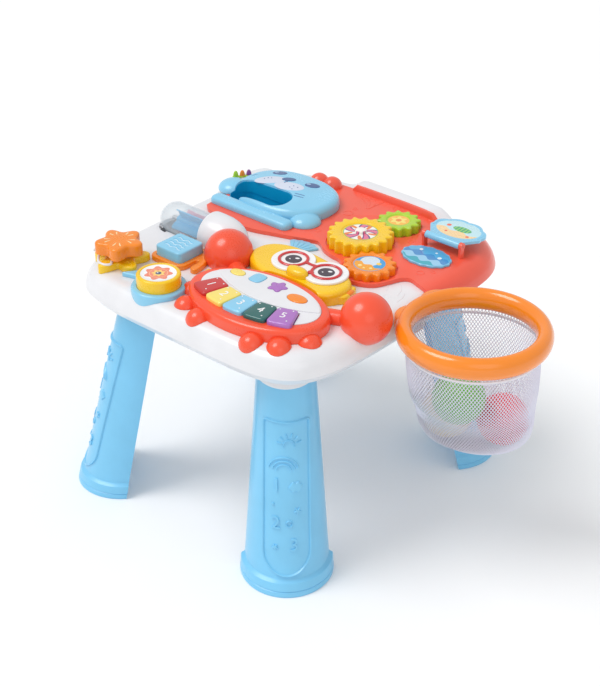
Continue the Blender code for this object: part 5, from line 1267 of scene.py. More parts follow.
def build_seal(toys):
    base = DECK_TOP + GAP
    top = base + SEAL_HEIGHT
    crown = SEAL_HEIGHT / 5
    bm = bmesh.new()
    pillow(bm, oval(SEAL, SEAL_HALF, 128, SEAL_SQUARENESS), base, top, SEAL_HEIGHT / 2, dome=crown, steps=10)
    for across, along in FLIPPER_SHARES:
        place = (SEAL[0] + across * SEAL_HALF[0], SEAL[1] + along * SEAL_HALF[1], base)
        dome(bm, place, (FLIPPER_RADIUS, FLIPPER_RADIUS, FLIPPER_HEIGHT))
    lip = (MOUTH[0] + LIP_HALF[1], MOUTH[1] - MOUTH_HALF[1] - LIP_HALF[1])
    pillow(bm, rounded_box(lip, LIP_HALF, 0.0076, 10), base, base + LIP_HEIGHT, 0.0057, dome=0.0006)
    seal = raw("seal_shell", bm)
    floor = tool("floor", oval(SEAL, (0.3, 0.3), 12), base - SEAL_HEIGHT, base)
    hole = tool(
        "mouth", rounded_box(MOUTH, MOUTH_HALF, MOUTH_HALF[1] - 0.001, 12), base - OVERRUN, top + OVERRUN,
    )
    carve(seal, "DIFFERENCE", floor, skin(), hole, tangled=True)
    rounded(seal, 0.0011, radians(50))
    aqua = moulded("seal plastic", toys.aqua, rough=0.26)
    piece(seal, aqua, "table", ("seal_body",), smooth=32)
    cup_low = TRAY_TOP_Z - MOUTH_DEPTH
    corner = MOUTH_HALF[1] - 0.001
    outer = rounded_box(MOUTH, [half + MOUTH_CUP_WALL for half in MOUTH_HALF], corner + MOUTH_CUP_WALL, 12)
    rings = [flat_ring(outer, cup_low), flat_ring(outer, base - GAP)]
    inner = rounded_box(MOUTH, MOUTH_HALF, corner, 12)
    for inset, z in (
        (0.0, base - GAP), (0.0, cup_low + 0.007), (0.0012, cup_low + 0.004), (0.004, cup_low + 0.002),
    ):
        rings.append(flat_ring(inward(inner, inset), z))
    blue = moulded("mouth plastic", DEEP_BLUE, rough=0.30)
    piece(raw("seal_mouth", loft(bmesh.new(), rings)), blue, "table", ("mouth_cup",))
    # A thin blue lining, which carries the cup's colour up the mouth's wall.
    rings = []
    for inset, drop in ((0.0002, None), (0.0002, 0.0016), (0.0005, 0.0013), (0.0009, 0.0016), (0.0009, None)):
        ring = []
        for (x, y), (near_x, near_y) in zip(inward(inner, inset), inner):
            z = base + 0.0001 if drop is None else max(base + 0.0004, crown_height(near_x, near_y) - drop)
            ring.append((x, y, z))
        rings.append(ring)
    piece(raw("mouth_lining", loft(bmesh.new(), rings, closed=True)), blue, "table")
    build_seal_face()
    build_leaves()


def crown_height(x, y):
    """Height of the seal's crowned top and rounded edge over a place."""
    round_edge = SEAL_HEIGHT / 2
    across, along = (x - SEAL[0]) / SEAL_HALF[0], (y - SEAL[1]) / SEAL_HALF[1]
    reach = (abs(across) ** SEAL_SQUARENESS + abs(along) ** SEAL_SQUARENESS) ** (1 / SEAL_SQUARENESS)
    inset = max(0.0, (1 - reach) * SEAL_HALF[1])
    share = min(1.0, reach * SEAL_HALF[1] / (SEAL_HALF[1] - round_edge))
    height = DECK_TOP + GAP + SEAL_HEIGHT - SEAL_HEIGHT / 5 * share * share
    if inset < round_edge:
        height -= round_edge * (1 - sqrt(1 - (1 - inset / round_edge) ** 2))
    return height


def seal_patch(bm, centre, half, turn, rise, power=2.0):
    rings = []
    for share, lift in (
        (1.0, -0.0004), (0.985, rise * 0.5), (0.94, rise), (0.7, rise), (0.35, rise), (0.08, rise),
    ):
        ring = []
        for x, y in oval(centre, (half[0] * share, half[1] * share), 48, power, turn):
            ring.append((x, y, crown_height(x, y) + lift))
        rings.append(ring)
    loft(bm, rings)


def build_seal_face():
    view = radians(41)
    bm = bmesh.new()
    for centre in ((-0.1265, 0.1265), (-0.0685, 0.1225)):
        seal_patch(bm, centre, (0.0098, 0.0072), view - radians(12), 0.0005)
    seal_patch(bm, (-0.1015, 0.1155), (0.0092, 0.0056), view - radians(6), 0.0007)
    piece(raw("seal_eyes", bm), moulded("navy print", NAVY, rough=0.22), "table")
    bm = bmesh.new()
    for centre in ((-0.1305, 0.1255), (-0.0735, 0.1215)):
        seal_patch(bm, centre, (0.0030, 0.0018), view, 0.0008)
    piece(
        raw("seal_glints", bm), moulded("pale blue print", linear(170, 205, 236), rough=0.25), "table",
    )
    bm = bmesh.new()
    seal_patch(bm, (-0.1195, 0.1005), (0.0205, 0.0115), view - radians(4), 0.0003)
    seal_patch(bm, (-0.0875, 0.1000), (0.0200, 0.0115), view - radians(22), 0.00034)
    piece(
        raw("seal_muzzle", bm), moulded("muzzle print", linear(214, 222, 240), rough=0.30), "table",
    )
    bm = bmesh.new()
    for x, y in (
        (-0.0845, 0.0975), (-0.0830, 0.1035), (-0.0765, 0.1035), (-0.0790, 0.0955), (-0.1255, 0.1030),
        (-0.1215, 0.1050), (-0.1280, 0.0985),
    ):
        seal_patch(bm, (x, y), (0.0008, 0.0007), 0, 0.0007)
    for side, x, y in (
        (1, -0.0665, 0.0915), (1, -0.0640, 0.0865), (-1, -0.1470, 0.1035), (-1, -0.1490, 0.0990),
    ):
        seal_patch(bm, (x + side * 0.004, y), (0.0072, 0.00055), view - radians(25), 0.0004)
    seal_patch(bm, (-0.0985, 0.1065), (0.0006, 0.0040), 0, 0.0007)
    piece(
        raw("seal_whiskers", bm), moulded("whisker print", linear(92, 120, 170), rough=0.3), "table",
    )


def build_leaves():
    base = TRAY_TOP_Z + RIM_RISE + GAP
    colours = (LIME, ORANGE, linear(150, 80, 150))
    for number, paint in enumerate(colours):
        along = (number - 1) * 0.026 / 3
        centre = (LEAF[0] + along * cos(LEAF_TURN), LEAF[1] + along * sin(LEAF_TURN))
        rings = []
        for share in range(13):
            up = share / 12
            width = 0.0034 * sqrt(max(0.0, 1 - up * up)) + 0.00015
            half = (width, width * 0.55)
            rings.append(flat_ring(oval(centre, half, 24, 2.0, LEAF_TURN), base + 0.0010 + 0.0085 * up))
        paint_name = f"leaf plastic {number + 1}"
        piece(
            raw(f"leaf_tip_{number + 1}", loft(bmesh.new(), rings)), moulded(paint_name, paint), "table",
        )
    strip = rounded_box((0, 0), (0.013, 0.002), 0.0013, 4)
    turned = [
        (
            LEAF[0] + x * cos(LEAF_TURN) - y * sin(LEAF_TURN),
            LEAF[1] + x * sin(LEAF_TURN) + y * cos(LEAF_TURN),
        )
        for x, y in strip
    ]
    obj = raw("leaf_base", pillow(bmesh.new(), turned, base, base + 0.002, 0.0006))
    piece(obj, moulded("leaf base plastic", LIME), "table", ("leaf_strip",))


def build_crab(toys):
    low = TRAY_SIDE_Z
    bm = bmesh.new()
    pillow(bm, oval(CRAB_MIDDLE, CRAB_HALF, 128), low, CRAB_TOP_Z, CRAB_EDGE, steps=8)
    for side in (-1, 1):
        for across, along in FOOT_BUMP_SHARES:
            x, y = CRAB_MIDDLE[0] + side * across * CRAB_HALF[0], CRAB_MIDDLE[1] + along * CRAB_HALF[1]
            radius = FOOT_BUMP_RADIUS
            dome(bm, (x, y, TRAY_TOP_Z - radius / 3), (radius, radius, radius), 36, 24)
    for claw in CLAWS:
        start = Vector((claw[0], claw[1], TRAY_TOP_Z + 0.0033))
        toward = Vector((CRAB[0], CRAB[1], TRAY_TOP_Z + 0.0033))
        rod(bm, start, start + (toward - start) * 0.6, 0.010, 40)
    crab = raw("crab_shell", bm)
    claws = []
    for side, claw in zip((-1, 1), CLAWS):
        obj = ball_tool(f"claw {side}", claw, CLAW_RADIUS)
        away = Vector((claw[0] - CRAB[0], claw[1] - CRAB[1], 0)).normalized()
        across = Vector((-away.y, away.x, 0)) * side
        tip = Vector(claw) + across * CLAW_RADIUS + Vector((0, 0, CLAW_RADIUS * 0.55))
        carve(obj, "DIFFERENCE", ball_tool("notch", tip, 0.007))
        rounded(obj, 0.0012, radians(40))
        claws.append(obj)
    carve(crab, "UNION", *claws, tangled=True)
    seat = oval(CRAB, [half + GAP for half in FACEPLATE_HALF], 128)
    carve(
        crab, "DIFFERENCE", tool("seat", seat, FACEPLATE_TOP - 0.0033, CRAB_TOP_Z + OVERRUN), skin(),
        rod_tool("fish clearance", (*FISH, TRAY_TOP_Z), (*FISH, FISH_TOP_Z), FISH_RADIUS + GAP, 96),
    )
    red = moulded("crab plastic", toys.red, rough=0.28)
    piece(crab, red, "table", ("crab_body",), smooth=36)


def key_outline(index, count=72):
    middle = (index - 2) * KEY_STEP
    centre_y = KEY_ROW_Y + KEY_ARC_RADIUS
    outline = []
    for s, t in oval((0, 0), (1, 1), count, 7.0):
        turn = middle + s * (KEY_STEP / 2 - GAP / KEY_ARC_RADIUS)
        radius = KEY_ARC_RADIUS + t * (KEY_DEPTH / 2 - GAP)
        outline.append((CRAB[0] + radius * sin(turn), centre_y - radius * cos(turn)))
    return outline, middle


def build_piano(shell, toys):
    plate = raw(
        "faceplate_shell",
        pillow(bmesh.new(), oval(CRAB, FACEPLATE_HALF, 128), 0.312, FACEPLATE_TOP, 0.0008),
    )
    half = 5 * KEY_STEP / 2 + 0.004
    window = []
    for radius, way in (
        (KEY_ARC_RADIUS - KEY_DEPTH / 2 - 0.0004, 1), (KEY_ARC_RADIUS + KEY_DEPTH / 2 + 0.0004, -1),
    ):
        for step in range(41):
            turn = half * (step / 20 - 1) * way
            window.append((CRAB[0] + radius * sin(turn), KEY_ROW_Y + KEY_ARC_RADIUS - radius * cos(turn)))
    carve(plate, "DIFFERENCE", tool("window", window, 0.305, KEY_TOP_Z), *button_holes())
    white = moulded("white plastic", shell.white)
    piece(plate, white, "table", ("piano_faceplate",))
    upper = raw(
        "faceplate_upper",
        pillow(bmesh.new(), oval(CRAB, [h - 0.0012 for h in FACEPLATE_HALF], 128), 0.3145, 0.3161, 0.0009),
    )
    centre = (CRAB[0], KEY_ROW_Y + KEY_ARC_RADIUS)
    reach = KEY_ARC_RADIUS - KEY_DEPTH / 2 - 0.004
    carve(upper, "INTERSECT", tool("above keys", oval(centre, (reach, reach), 256), 0.31, 0.33))
    carve(upper, "DIFFERENCE", *button_holes())
    rounded(upper, 0.0005, radians(45))
    piece(upper, white, "table")
    paints = (KEY_RED, PALE_YELLOW, AQUA, TEAL, PURPLE)
    slots = ("red", "pale_yellow", "aqua", "teal", "purple")
    cream = moulded("number print", linear(250, 250, 250), rough=0.3)
    for index, (paint, slot) in enumerate(zip(paints, slots)):
        outline, turn = key_outline(index)
        body = f"key_{index + 1}"
        low = node_box(f"piano_key_{index + 1}")[0].z
        bm = pillow(bmesh.new(), outline, low, KEY_TOP_Z, toys.key_round, dome=0.0003)
        material = moulded(f"key plastic {index + 1}", paint, rough=0.16, coat=0.6)
        piece(raw(f"key_shell_{index + 1}", bm), material, body, (f"piano_key_{index + 1}",))
        radius = KEY_ARC_RADIUS
        middle = Vector((CRAB[0] + radius * sin(turn), KEY_ROW_Y + radius * (1 - cos(turn)), KEY_TOP_Z))
        place = Matrix.Translation(middle) @ Matrix.Rotation(turn, 4, "Z")
        bm = bmesh.new()
        merge(bm, glyph(str(index + 1), 0.015, 0.0006), lambda co: place @ (co - Vector((0, 0, 0.0003))))
        dots = ((0.0075, -0.0100), (-0.0080, 0.0115), (0.0070, 0.0120))
        for x, y in dots:
            spot = place @ Vector((x, y, 0))
            dome(bm, spot, (0.0009, 0.0009, 0.0004), 16, 8)
        piece(raw(f"key_number_{index + 1}", bm), cream, body)
    build_buttons(toys)


def button_outline(index, more=0.0):
    across, along = BUTTON_PLACE_SHARES[index]
    centre = (CRAB[0] + across * FACEPLATE_HALF[0], CRAB[1] + along * FACEPLATE_HALF[1])
    half = [size + more for size in BUTTON_SIZES[index]]
    if index == 2:
        return soft_star(centre, half[0], BUTTON_SIZES[index][0] * 0.69 + more, pi / 2, count=20)
    return oval(centre, half, 72, 3.2 if index == 1 else 2.0)


def button_holes():
    return [tool(f"button hole {i}", button_outline(i, 0.0004), 0.305, KEY_TOP_Z) for i in range(4)]


def build_buttons(toys):
    paints = (PALE_YELLOW, AQUA, PURPLE, ORANGE)
    for index, (across, along) in enumerate(BUTTON_PLACE_SHARES):
        centre = (CRAB[0] + across * FACEPLATE_HALF[0], CRAB[1] + along * FACEPLATE_HALF[1])
        half = BUTTON_SIZES[index]
        node = f"melody_button_{index + 1}"
        bm = pillow(
            bmesh.new(), button_outline(index), node_box(node)[0].z, BUTTON_TOP_Z, 0.0011, dome=0.0004,
        )
        for side in (-1, 0, 1):
            spot = (
                centre[0] + side * half[0] * 0.36, centre[1] + (0.0012 if side else -0.0015),
                BUTTON_TOP_Z - 0.0001,
            )
            dome(bm, spot, (0.0010, 0.0010, 0.0004), 16, 8)
        material = moulded(f"button plastic {index + 1}", paints[index], rough=0.2, coat=0.5)
        piece(raw(f"button_shell_{index + 1}", bm), material, f"melody_{index + 1}", (node,))
    low, high = node_box("mode_switch")
    outline = rounded_box(SWITCH, (0.0035, 0.004), 0.0018)
    bm = pillow(bmesh.new(), outline, low.z, high.z, 0.0014, dome=0.0004)
    for step in range(3):
        y = SWITCH[1] - 0.0018 + step * 0.0018
        tube(
            bm,
            [
                (SWITCH[0] - 0.0022, y, high.z - 0.0003), (SWITCH[0], y, high.z - 0.0002),
                (SWITCH[0] + 0.0022, y, high.z - 0.0003),
            ],
            0.0004, 8,
        )
    piece(raw("switch_knob", bm), moulded("owl plastic", toys.yellow), "mode", ("mode_switch",))


def build_owl(toys):
    low = TRAY_TOP_Z + GAP
    bm = bmesh.new()
    pillow(
        bm, oval(OWL_BODY, OWL_HALF, 128, OWL_SQUARENESS, OWL_TILT), low - OVERRUN, OWL_TOP_Z, 0.006,
        steps=8,
    )
    for side in (-1, 1):
        points = []
        for x, y in (
            (0.76, -0.40), (0.98, -0.20), (1.06, 0.05), (1.01, 0.36), (0.93, 0.66), (0.80, 0.60),
            (0.58, 0.52), (0.60, 0.0),
        ):
            dx, dy = side * x * OWL_HALF[0], y * OWL_HALF[1]
            points.append((
                OWL_BODY[0] + dx * cos(OWL_TILT) - dy * sin(OWL_TILT),
                OWL_BODY[1] + dx * sin(OWL_TILT) + dy * cos(OWL_TILT),
            ))
        outline = [tuple(p) for p in smooth_line(points, 8, closed=True)]
        pillow(bm, outline, low - OVERRUN, OWL_TOP_Z - 0.006, 0.003)
    owl = raw("owl_shell", bm)
    crab = tool(
        "crab clearance", oval(CRAB_MIDDLE, [half + GAP for half in CRAB_HALF], 128), low - 2 * OVERRUN,
        CRAB_TOP_Z + 2 * OVERRUN,
    )
    tools = [ball_tool(f"claw clearance {i}", claw, CLAW_RADIUS + GAP) for i, claw in enumerate(CLAWS)]
    guide = tool(
        "beak guide", oval((OWL[0], BEAK_Y), [half + 0.0004 for half in BEAK_HALF], 64), low, BEAK_TOP_Z,
    )
    carve(owl, "DIFFERENCE", skin(), crab, guide, *tools, tangled=True)
    yellow = moulded("owl plastic", toys.yellow)
    piece(owl, yellow, "table", ("owl_body",), smooth=36)
    bm = bmesh.new()
    for x, y in ((1.0, 0.30), (-0.98, 0.42)):
        dx, dy = x * OWL_HALF[0] * 0.985, y * OWL_HALF[1]
        spot = (
            OWL_BODY[0] + dx * cos(OWL_TILT) - dy * sin(OWL_TILT),
            OWL_BODY[1] + dx * sin(OWL_TILT) + dy * cos(OWL_TILT), OWL_TOP_Z - 0.0075,
        )
        dome(bm, spot, (0.0042, 0.0070, 0.0028), 28, 16)
    piece(raw("owl_ear_tips", bm), moulded("star plastic", toys.orange), "table")
    build_owl_face(yellow)
    # Fan crest with raised ribs.
    turns = [radians(96 + 76 * (0.5 - step / 48)) for step in range(49)]
    reach = [
        FAN_RADIUS * (1 - 0.035 * abs(cos(4.5 * (turn - turns[0]) / (turns[-1] - turns[0]) * pi)))
        for turn in turns
    ]
    outline = [FAN] + [(FAN[0] + r * cos(t), FAN[1] + r * sin(t)) for r, t in zip(reach, turns)]
    fan = raw("fan_shell", slab(bmesh.new(), outline, low, low + 0.0028))
    edge = [(x, y - GAP) for x, y in deck_outline()]
    carve(fan, "DIFFERENCE", tool("deck clearance", edge, low - OVERRUN, low + OVERRUN))
    rounded(fan, 0.0007, radians(50))
    piece(fan, moulded("seal plastic", toys.aqua), "table", ("fan_crest",))
    bm = bmesh.new()
    for turn in turns[6::9]:
        path = [
            (FAN[0] + r * cos(turn), FAN[1] + r * sin(turn), low + 0.0028)
            for r in (0.012, 0.018, 0.024, 0.030)
        ]
        tube(bm, path, 0.0007, 8)
    ribs = raw("fan_ribs", bm)
    edge = [(x, y - GAP) for x, y in deck_outline()]
    carve(ribs, "DIFFERENCE", tool("deck clearance", edge, low - OVERRUN, low + 2 * OVERRUN))
    piece(ribs, moulded("seal plastic", toys.aqua), "table")


def build_owl_face(yellow):
    centres = [(OWL[0] + side * EYE_SPREAD, OWL[1]) for side in (-1, 1)]
    low = OWL_TOP_Z + GAP
    bean = []
    for step in range(128):
        turn = 2 * pi * step / 128
        # The farther eye disc's edge, seen from between the eyes.
        offset = EYE_SPREAD * abs(cos(turn))
        reach = offset + sqrt(max(0.0, EYE_DISC_RADIUS ** 2 - (EYE_SPREAD * sin(turn)) ** 2))
        bean.append((OWL[0] + reach * cos(turn), OWL[1] + reach * sin(turn)))
    plate = raw("owl_face", pillow(bmesh.new(), bean, low, PLATE_TOP_Z, 0.0012))
    guide = tool(
        "beak guide", oval((OWL[0], BEAK_Y), [half + 0.0004 for half in BEAK_HALF], 64), low - OVERRUN,
        BEAK_TOP_Z,
    )
    carve(plate, "DIFFERENCE", guide)
    piece(plate, moulded("face plastic", linear(250, 250, 250)), "table", ("eye_plate",))
    bm = bmesh.new()
    rim_low = PLATE_TOP_Z + GAP
    for centre in centres:
        rings = []
        for radius, z in (
            (0.0148, rim_low), (0.0182, rim_low), (0.0182, rim_low + 0.0009), (0.0176, rim_low + 0.0014),
            (0.0154, rim_low + 0.0014), (0.0148, rim_low + 0.0009),
        ):
            rings.append(flat_ring(oval(centre, (radius, radius), 96), z))
        loft(bm, rings, closed=True)
    bridge = [
        (OWL[0] + x, OWL[1] + y)
        for x, y in ((-0.0095, 0.0005), (0.0095, 0.0005), (0.0095, 0.0045), (0, 0.0034), (-0.0095, 0.0045))
    ]
    slab(bm, bridge, rim_low, rim_low + 0.0012)
    for centre, side in zip(centres, (-1, 1)):
        corner = (centre[0] + side * -0.0125, centre[1] - 0.0125)
        pillow(bm, oval(corner, (0.0038, 0.0034), 32), rim_low, rim_low + 0.0012, 0.0004)
    piece(
        raw("owl_glasses", bm), moulded("glasses plastic", GLASS_RED, rough=0.2), "table", ("glasses",),
    )
    bm = bmesh.new()
    glint = bmesh.new()
    for centre in centres:
        top = PLATE_TOP_Z + 0.0001
        pillow(bm, oval(centre, (0.0099, 0.0094), 64), top, top + 0.0006, 0.0004, dome=0.0001)
        pillow(
            glint, oval((centre[0] + 0.0032, centre[1] + 0.0030), (0.0026, 0.0016), 32, 2.0, 0.4), top,
            top + 0.0009, 0.0002,
        )
        pillow(
            glint, oval((centre[0] - 0.0028, centre[1] - 0.0032), (0.0011, 0.0008), 24), top, top + 0.0009,
            0.0002,
        )
    piece(raw("owl_pupils", bm), moulded("pupil print", DARK, rough=0.15), "table")
    piece(raw("owl_glints", glint), moulded("face plastic", linear(250, 250, 250)), "table")
    beak = node_box("beak_button")
    bm = pillow(
        bmesh.new(), oval((OWL[0], BEAK_Y), BEAK_HALF, 72), beak[0].z, BEAK_TOP_Z, 0.006, dome=0.0006,
        steps=10,
    )
    for side in (-1, 1):
        line = smooth_line(
            [
                (OWL[0] + side * 0.003, BEAK_Y + 0.004), (OWL[0] + side * 0.0055, BEAK_Y + 0.001),
                (OWL[0] + side * 0.0045, BEAK_Y - 0.002),
            ]
        )
        tube(bm, [(*p, BEAK_TOP_Z - 0.0012) for p in line], 0.0007, 8)
    piece(raw("owl_beak", bm), yellow, "beak", ("beak_button",))


def build_star(toys):
    low = TRAY_SIDE_Z + TRAY_WALL
    base = raw(
        "starfish_shell",
        pillow(bmesh.new(), soft_star(STAR, 0.034, 0.019, radians(54)), low, 0.307, 0.0025),
    )
    carve(base, "DIFFERENCE", skin())
    yellow = moulded("owl plastic", toys.yellow)
    piece(base, yellow, "table", ("starfish_base",), smooth=38)
    bm = bmesh.new()
    rod(bm, (*STAR, 0.305), (*STAR, 0.3226), 0.0045, 40, 0.0043)
    for arm in range(5):
        turn = radians(54) + 2 * pi * arm / 5
        for reach in (0.018, 0.024, 0.029):
            dome(
                bm, (STAR[0] + reach * cos(turn), STAR[1] + reach * sin(turn), 0.3068),
                (0.0013, 0.0013, 0.0008), 16, 8,
            )
    piece(raw("starfish_trim", bm), yellow, "table")
    outline = soft_star(STAR, 0.029, 0.020, radians(90))
    bm = pillow(bmesh.new(), outline, STAR_LOW_Z, STAR_TOP_Z, 0.0030, dome=0.0008, foot=0.001)
    spinner = raw("star_shell", bm)
    bore = rod_tool("bore", (*STAR, STAR_LOW_Z - OVERRUN), (*STAR, 0.3233), 0.0048)
    carve(spinner, "DIFFERENCE", bore)
    piece(spinner, moulded("star plastic", toys.orange), "star", ("star_spinner",), smooth=38)
    bm = bmesh.new()
    for arm in range(5):
        turn = radians(90) + 2 * pi * arm / 5
        for side in (-1, 1):
            ends = []
            for reach in (0.0065, 0.0105, 0.0145, 0.0185):
                bend = turn + side * (0.10 + 12 * (reach - 0.0065))
                ends.append(
                    (
                        STAR[0] + reach * cos(bend), STAR[1] + reach * sin(bend),
                        STAR_TOP_Z - 0.00075 + 0.00002,
                    )
                )
            tube(bm, smooth_line(ends, 4), 0.0010, 8, flat=0.6)
    piece(
        raw("star_spokes", bm), moulded("spoke print", linear(255, 226, 170), rough=0.3), "star",
    )
    bm = bmesh.new()
    for line in (
        ((-0.1800, -0.1465), (-0.1765, -0.1400), (-0.1725, -0.1345), (-0.1680, -0.1325)),
        ((-0.1545, -0.1330), (-0.1500, -0.1345), (-0.1440, -0.1400)),
    ):
        tube(bm, [(*p, TRAY_TOP_Z + 0.0004) for p in smooth_line(line)], 0.0016, 12)
    loop = (
        (-0.1560, -0.1560), (-0.1500, -0.1640), (-0.1400, -0.1730), (-0.1300, -0.1740), (-0.1250, -0.1680),
        (-0.1300, -0.1620),
    )
    tube(bm, [(*p, 0.3074) for p in smooth_line(loop)], 0.0015, 12)
    piece(raw("star_squiggles", bm), moulded("white plastic", WHITE), "table")


def fish_print(graph, tone):
    plan = Plan(graph, FISH, radians(41))
    white = linear(250, 250, 250)
    coral = linear(244, 140, 112)
    tone = graph.mix(plan.under(plan.radius, 0.0205), tone, white)
    tone = graph.mix(plan.petals(7, 0.0125, 0.0165, 0.5), tone, coral)
    tone = graph.mix(plan.ring(0.0098, 0.0106), tone, linear(255, 196, 150))
    tone = graph.mix(plan.petals(7, 0.0055, 0.0080, 3.6), tone, linear(255, 214, 120))
    tone = graph.mix(plan.disc(0, 0, 0.0034), tone, linear(70, 90, 120))
    return graph.mix(plan.disc(-0.0010, 0.0011, 0.0010), tone, white)


def build_fish(toys):
    low = TRAY_SIDE_Z + TRAY_WALL
    bm = bmesh.new()
    pillow(bm, oval(FISH, (COLLAR_RADIUS, COLLAR_RADIUS), 96), low, COLLAR_TOP_Z, 0.003)
    tail = []
    for x, y in (
        (0.0, -0.008), (0.030, -0.012), (0.049, -0.023), (0.046, -0.009), (0.043, 0.0), (0.046, 0.009),
        (0.049, 0.023), (0.030, 0.012), (0.0, 0.008),
    ):
        turn = radians(162)
        tail.append((FISH[0] + x * cos(turn) - y * sin(turn), FISH[1] + x * sin(turn) + y * cos(turn)))
    pillow(bm, [tuple(p) for p in smooth_line(tail, 8, closed=True)], low, COLLAR_TOP_Z - 0.001, 0.002)
    collar = raw("collar_shell", bm)
    crab = tool(
        "crab clearance", oval(CRAB_MIDDLE, [half + GAP for half in CRAB_HALF], 128), low - OVERRUN,
        CRAB_TOP_Z,
    )
    starfish = tool(
        "starfish clearance", soft_star(STAR, 0.0343, 0.0193, radians(54)), low - OVERRUN,
        COLLAR_TOP_Z + OVERRUN,
    )
    guide = rod_tool("guide", (*FISH, TRAY_TOP_Z), (*FISH, COLLAR_TOP_Z + OVERRUN), FISH_RADIUS + 0.0004, 96)
    carve(collar, "DIFFERENCE", skin(), crab, starfish, guide, tangled=True)
    aqua = moulded("seal plastic", toys.aqua)
    piece(collar, aqua, "table", ("fish_collar",), smooth=38)
    bm = bmesh.new()
    for side in (-1, 0, 1):
        turn = radians(162)
        path = [
            (
                FISH[0] + r * cos(turn + side * 0.16), FISH[1] + r * sin(turn + side * 0.16),
                COLLAR_TOP_Z - 0.001,
            )
            for r in (0.034, 0.037, 0.040)
        ]
        tube(bm, path, 0.0006, 8)
    piece(raw("collar_ribs", bm), aqua, "table")
    bottom = node_box("fish_button")[0].z
    outline = oval(FISH, (FISH_RADIUS, FISH_RADIUS), 128)
    bm = bmesh.new()
    rings = [flat_ring(inward(outline, 0.003), bottom), flat_ring(outline, bottom)]
    for step in range(9):
        turn = step / 8 * pi / 2
        rings.append(
            flat_ring(inward(outline, 0.0025 * (1 - cos(turn))), FISH_TOP_Z - 0.0025 * (1 - sin(turn)))
        )
    for inset, drop in ((0.0042, 0.0), (0.0046, 0.0005), (0.0050, 0.0008), (0.013, 0.0007), (0.022, 0.0007)):
        rings.append(flat_ring(inward(outline, inset), FISH_TOP_Z - drop))
    loft(bm, rings)
    plastic = moulded("fish plastic", toys.yellow, print_on=fish_print)
    piece(raw("fish_drum", bm), plastic, "fish", ("fish_button",), smooth=38)


def build_wave(toys):
    low = TRAY_SIDE_Z + TRAY_WALL
    half = WAVE_HALF + 0.0059
    bm = bmesh.new()
    pillow(bm, rounded_box(WAVE, (half, half), WAVE_CORNER + 0.0055), low, COLLAR_TOP_Z, 0.0016)
    arm = [(WAVE[0] + half + x, WAVE[1] + half / 2 + y) for x, y in WAVE_ARM]
    pillow(bm, [tuple(p) for p in smooth_line(arm, 6, closed=True)], low, COLLAR_TOP_Z - GAP, 0.0016)
    bezel = raw("wave_bezel", bm)
    inner = rounded_box(WAVE, (WAVE_HALF + 0.0004, WAVE_HALF + 0.0004), WAVE_CORNER)
    collar = rod_tool(
        "collar clearance", (*FISH, low - OVERRUN), (*FISH, FISH_TOP_Z), COLLAR_RADIUS + GAP, 96,
    )
    claws = [ball_tool(f"claw clearance {i}", claw, CLAW_RADIUS + GAP) for i, claw in enumerate(CLAWS)]
    carve(
        bezel, "DIFFERENCE", tool("guide", inner, low - OVERRUN, COLLAR_TOP_Z + OVERRUN), skin(), collar,
        capsule("cradle clearance", DRUM_RADIUS + 0.0043, 0.0036), *claws, tangled=True,
    )
    piece(bezel, moulded("star plastic", toys.orange), "table", ("wave_key_frame",), smooth=38)
    bottom = node_box("wave_key")[0].z
    outline = rounded_box(WAVE, (WAVE_HALF, WAVE_HALF), WAVE_CORNER)
    key = raw("wave_block", pillow(bmesh.new(), outline, bottom, WAVE_TOP_Z, 0.0022))
    grooves = []
    lines = bmesh.new()
    for number in range(4):
        y = WAVE[1] - 0.0105 + number * 0.007
        path = []
        for step in range(41):
            x = WAVE[0] - 0.013 + 0.026 * step / 40
            path.append((x, y + 0.0014 * sin(2 * pi * 2 * step / 40), WAVE_TOP_Z))
        grooves.append(raw(f"groove {number}", tube(bmesh.new(), path, 0.0015, 12)))
        tube(lines, [(a, b, c - 0.0011) for a, b, c in path], 0.0008, 10)
    carve(key, "DIFFERENCE", *grooves)
    piece(key, moulded("wave plastic", toys.aqua, rough=0.22), "wave", ("wave_key",), smooth=34)
    piece(raw("wave_lines", lines), moulded("line print", linear(206, 236, 250)), "wave")


def clear_plastic():
    """Clear, colourless plastic: mostly see-through, with a sharp gloss."""
    graph = Graph("clear plastic")
    faint = graph.noise(60, 2)
    graph.set("Base Color", graph.mix(faint, linear(222, 234, 242), linear(236, 244, 250)))
    graph.set("Roughness", 0.06)
    rim = graph.add("ShaderNodeLayerWeight", {}, 0.35, output="Facing")
    graph.set("Alpha", 0.10 + rim * 0.34 + faint * 0.03)
    graph.set("Coat Weight", 0.6)
    graph.bump(faint, 0.0001)
    return graph.material


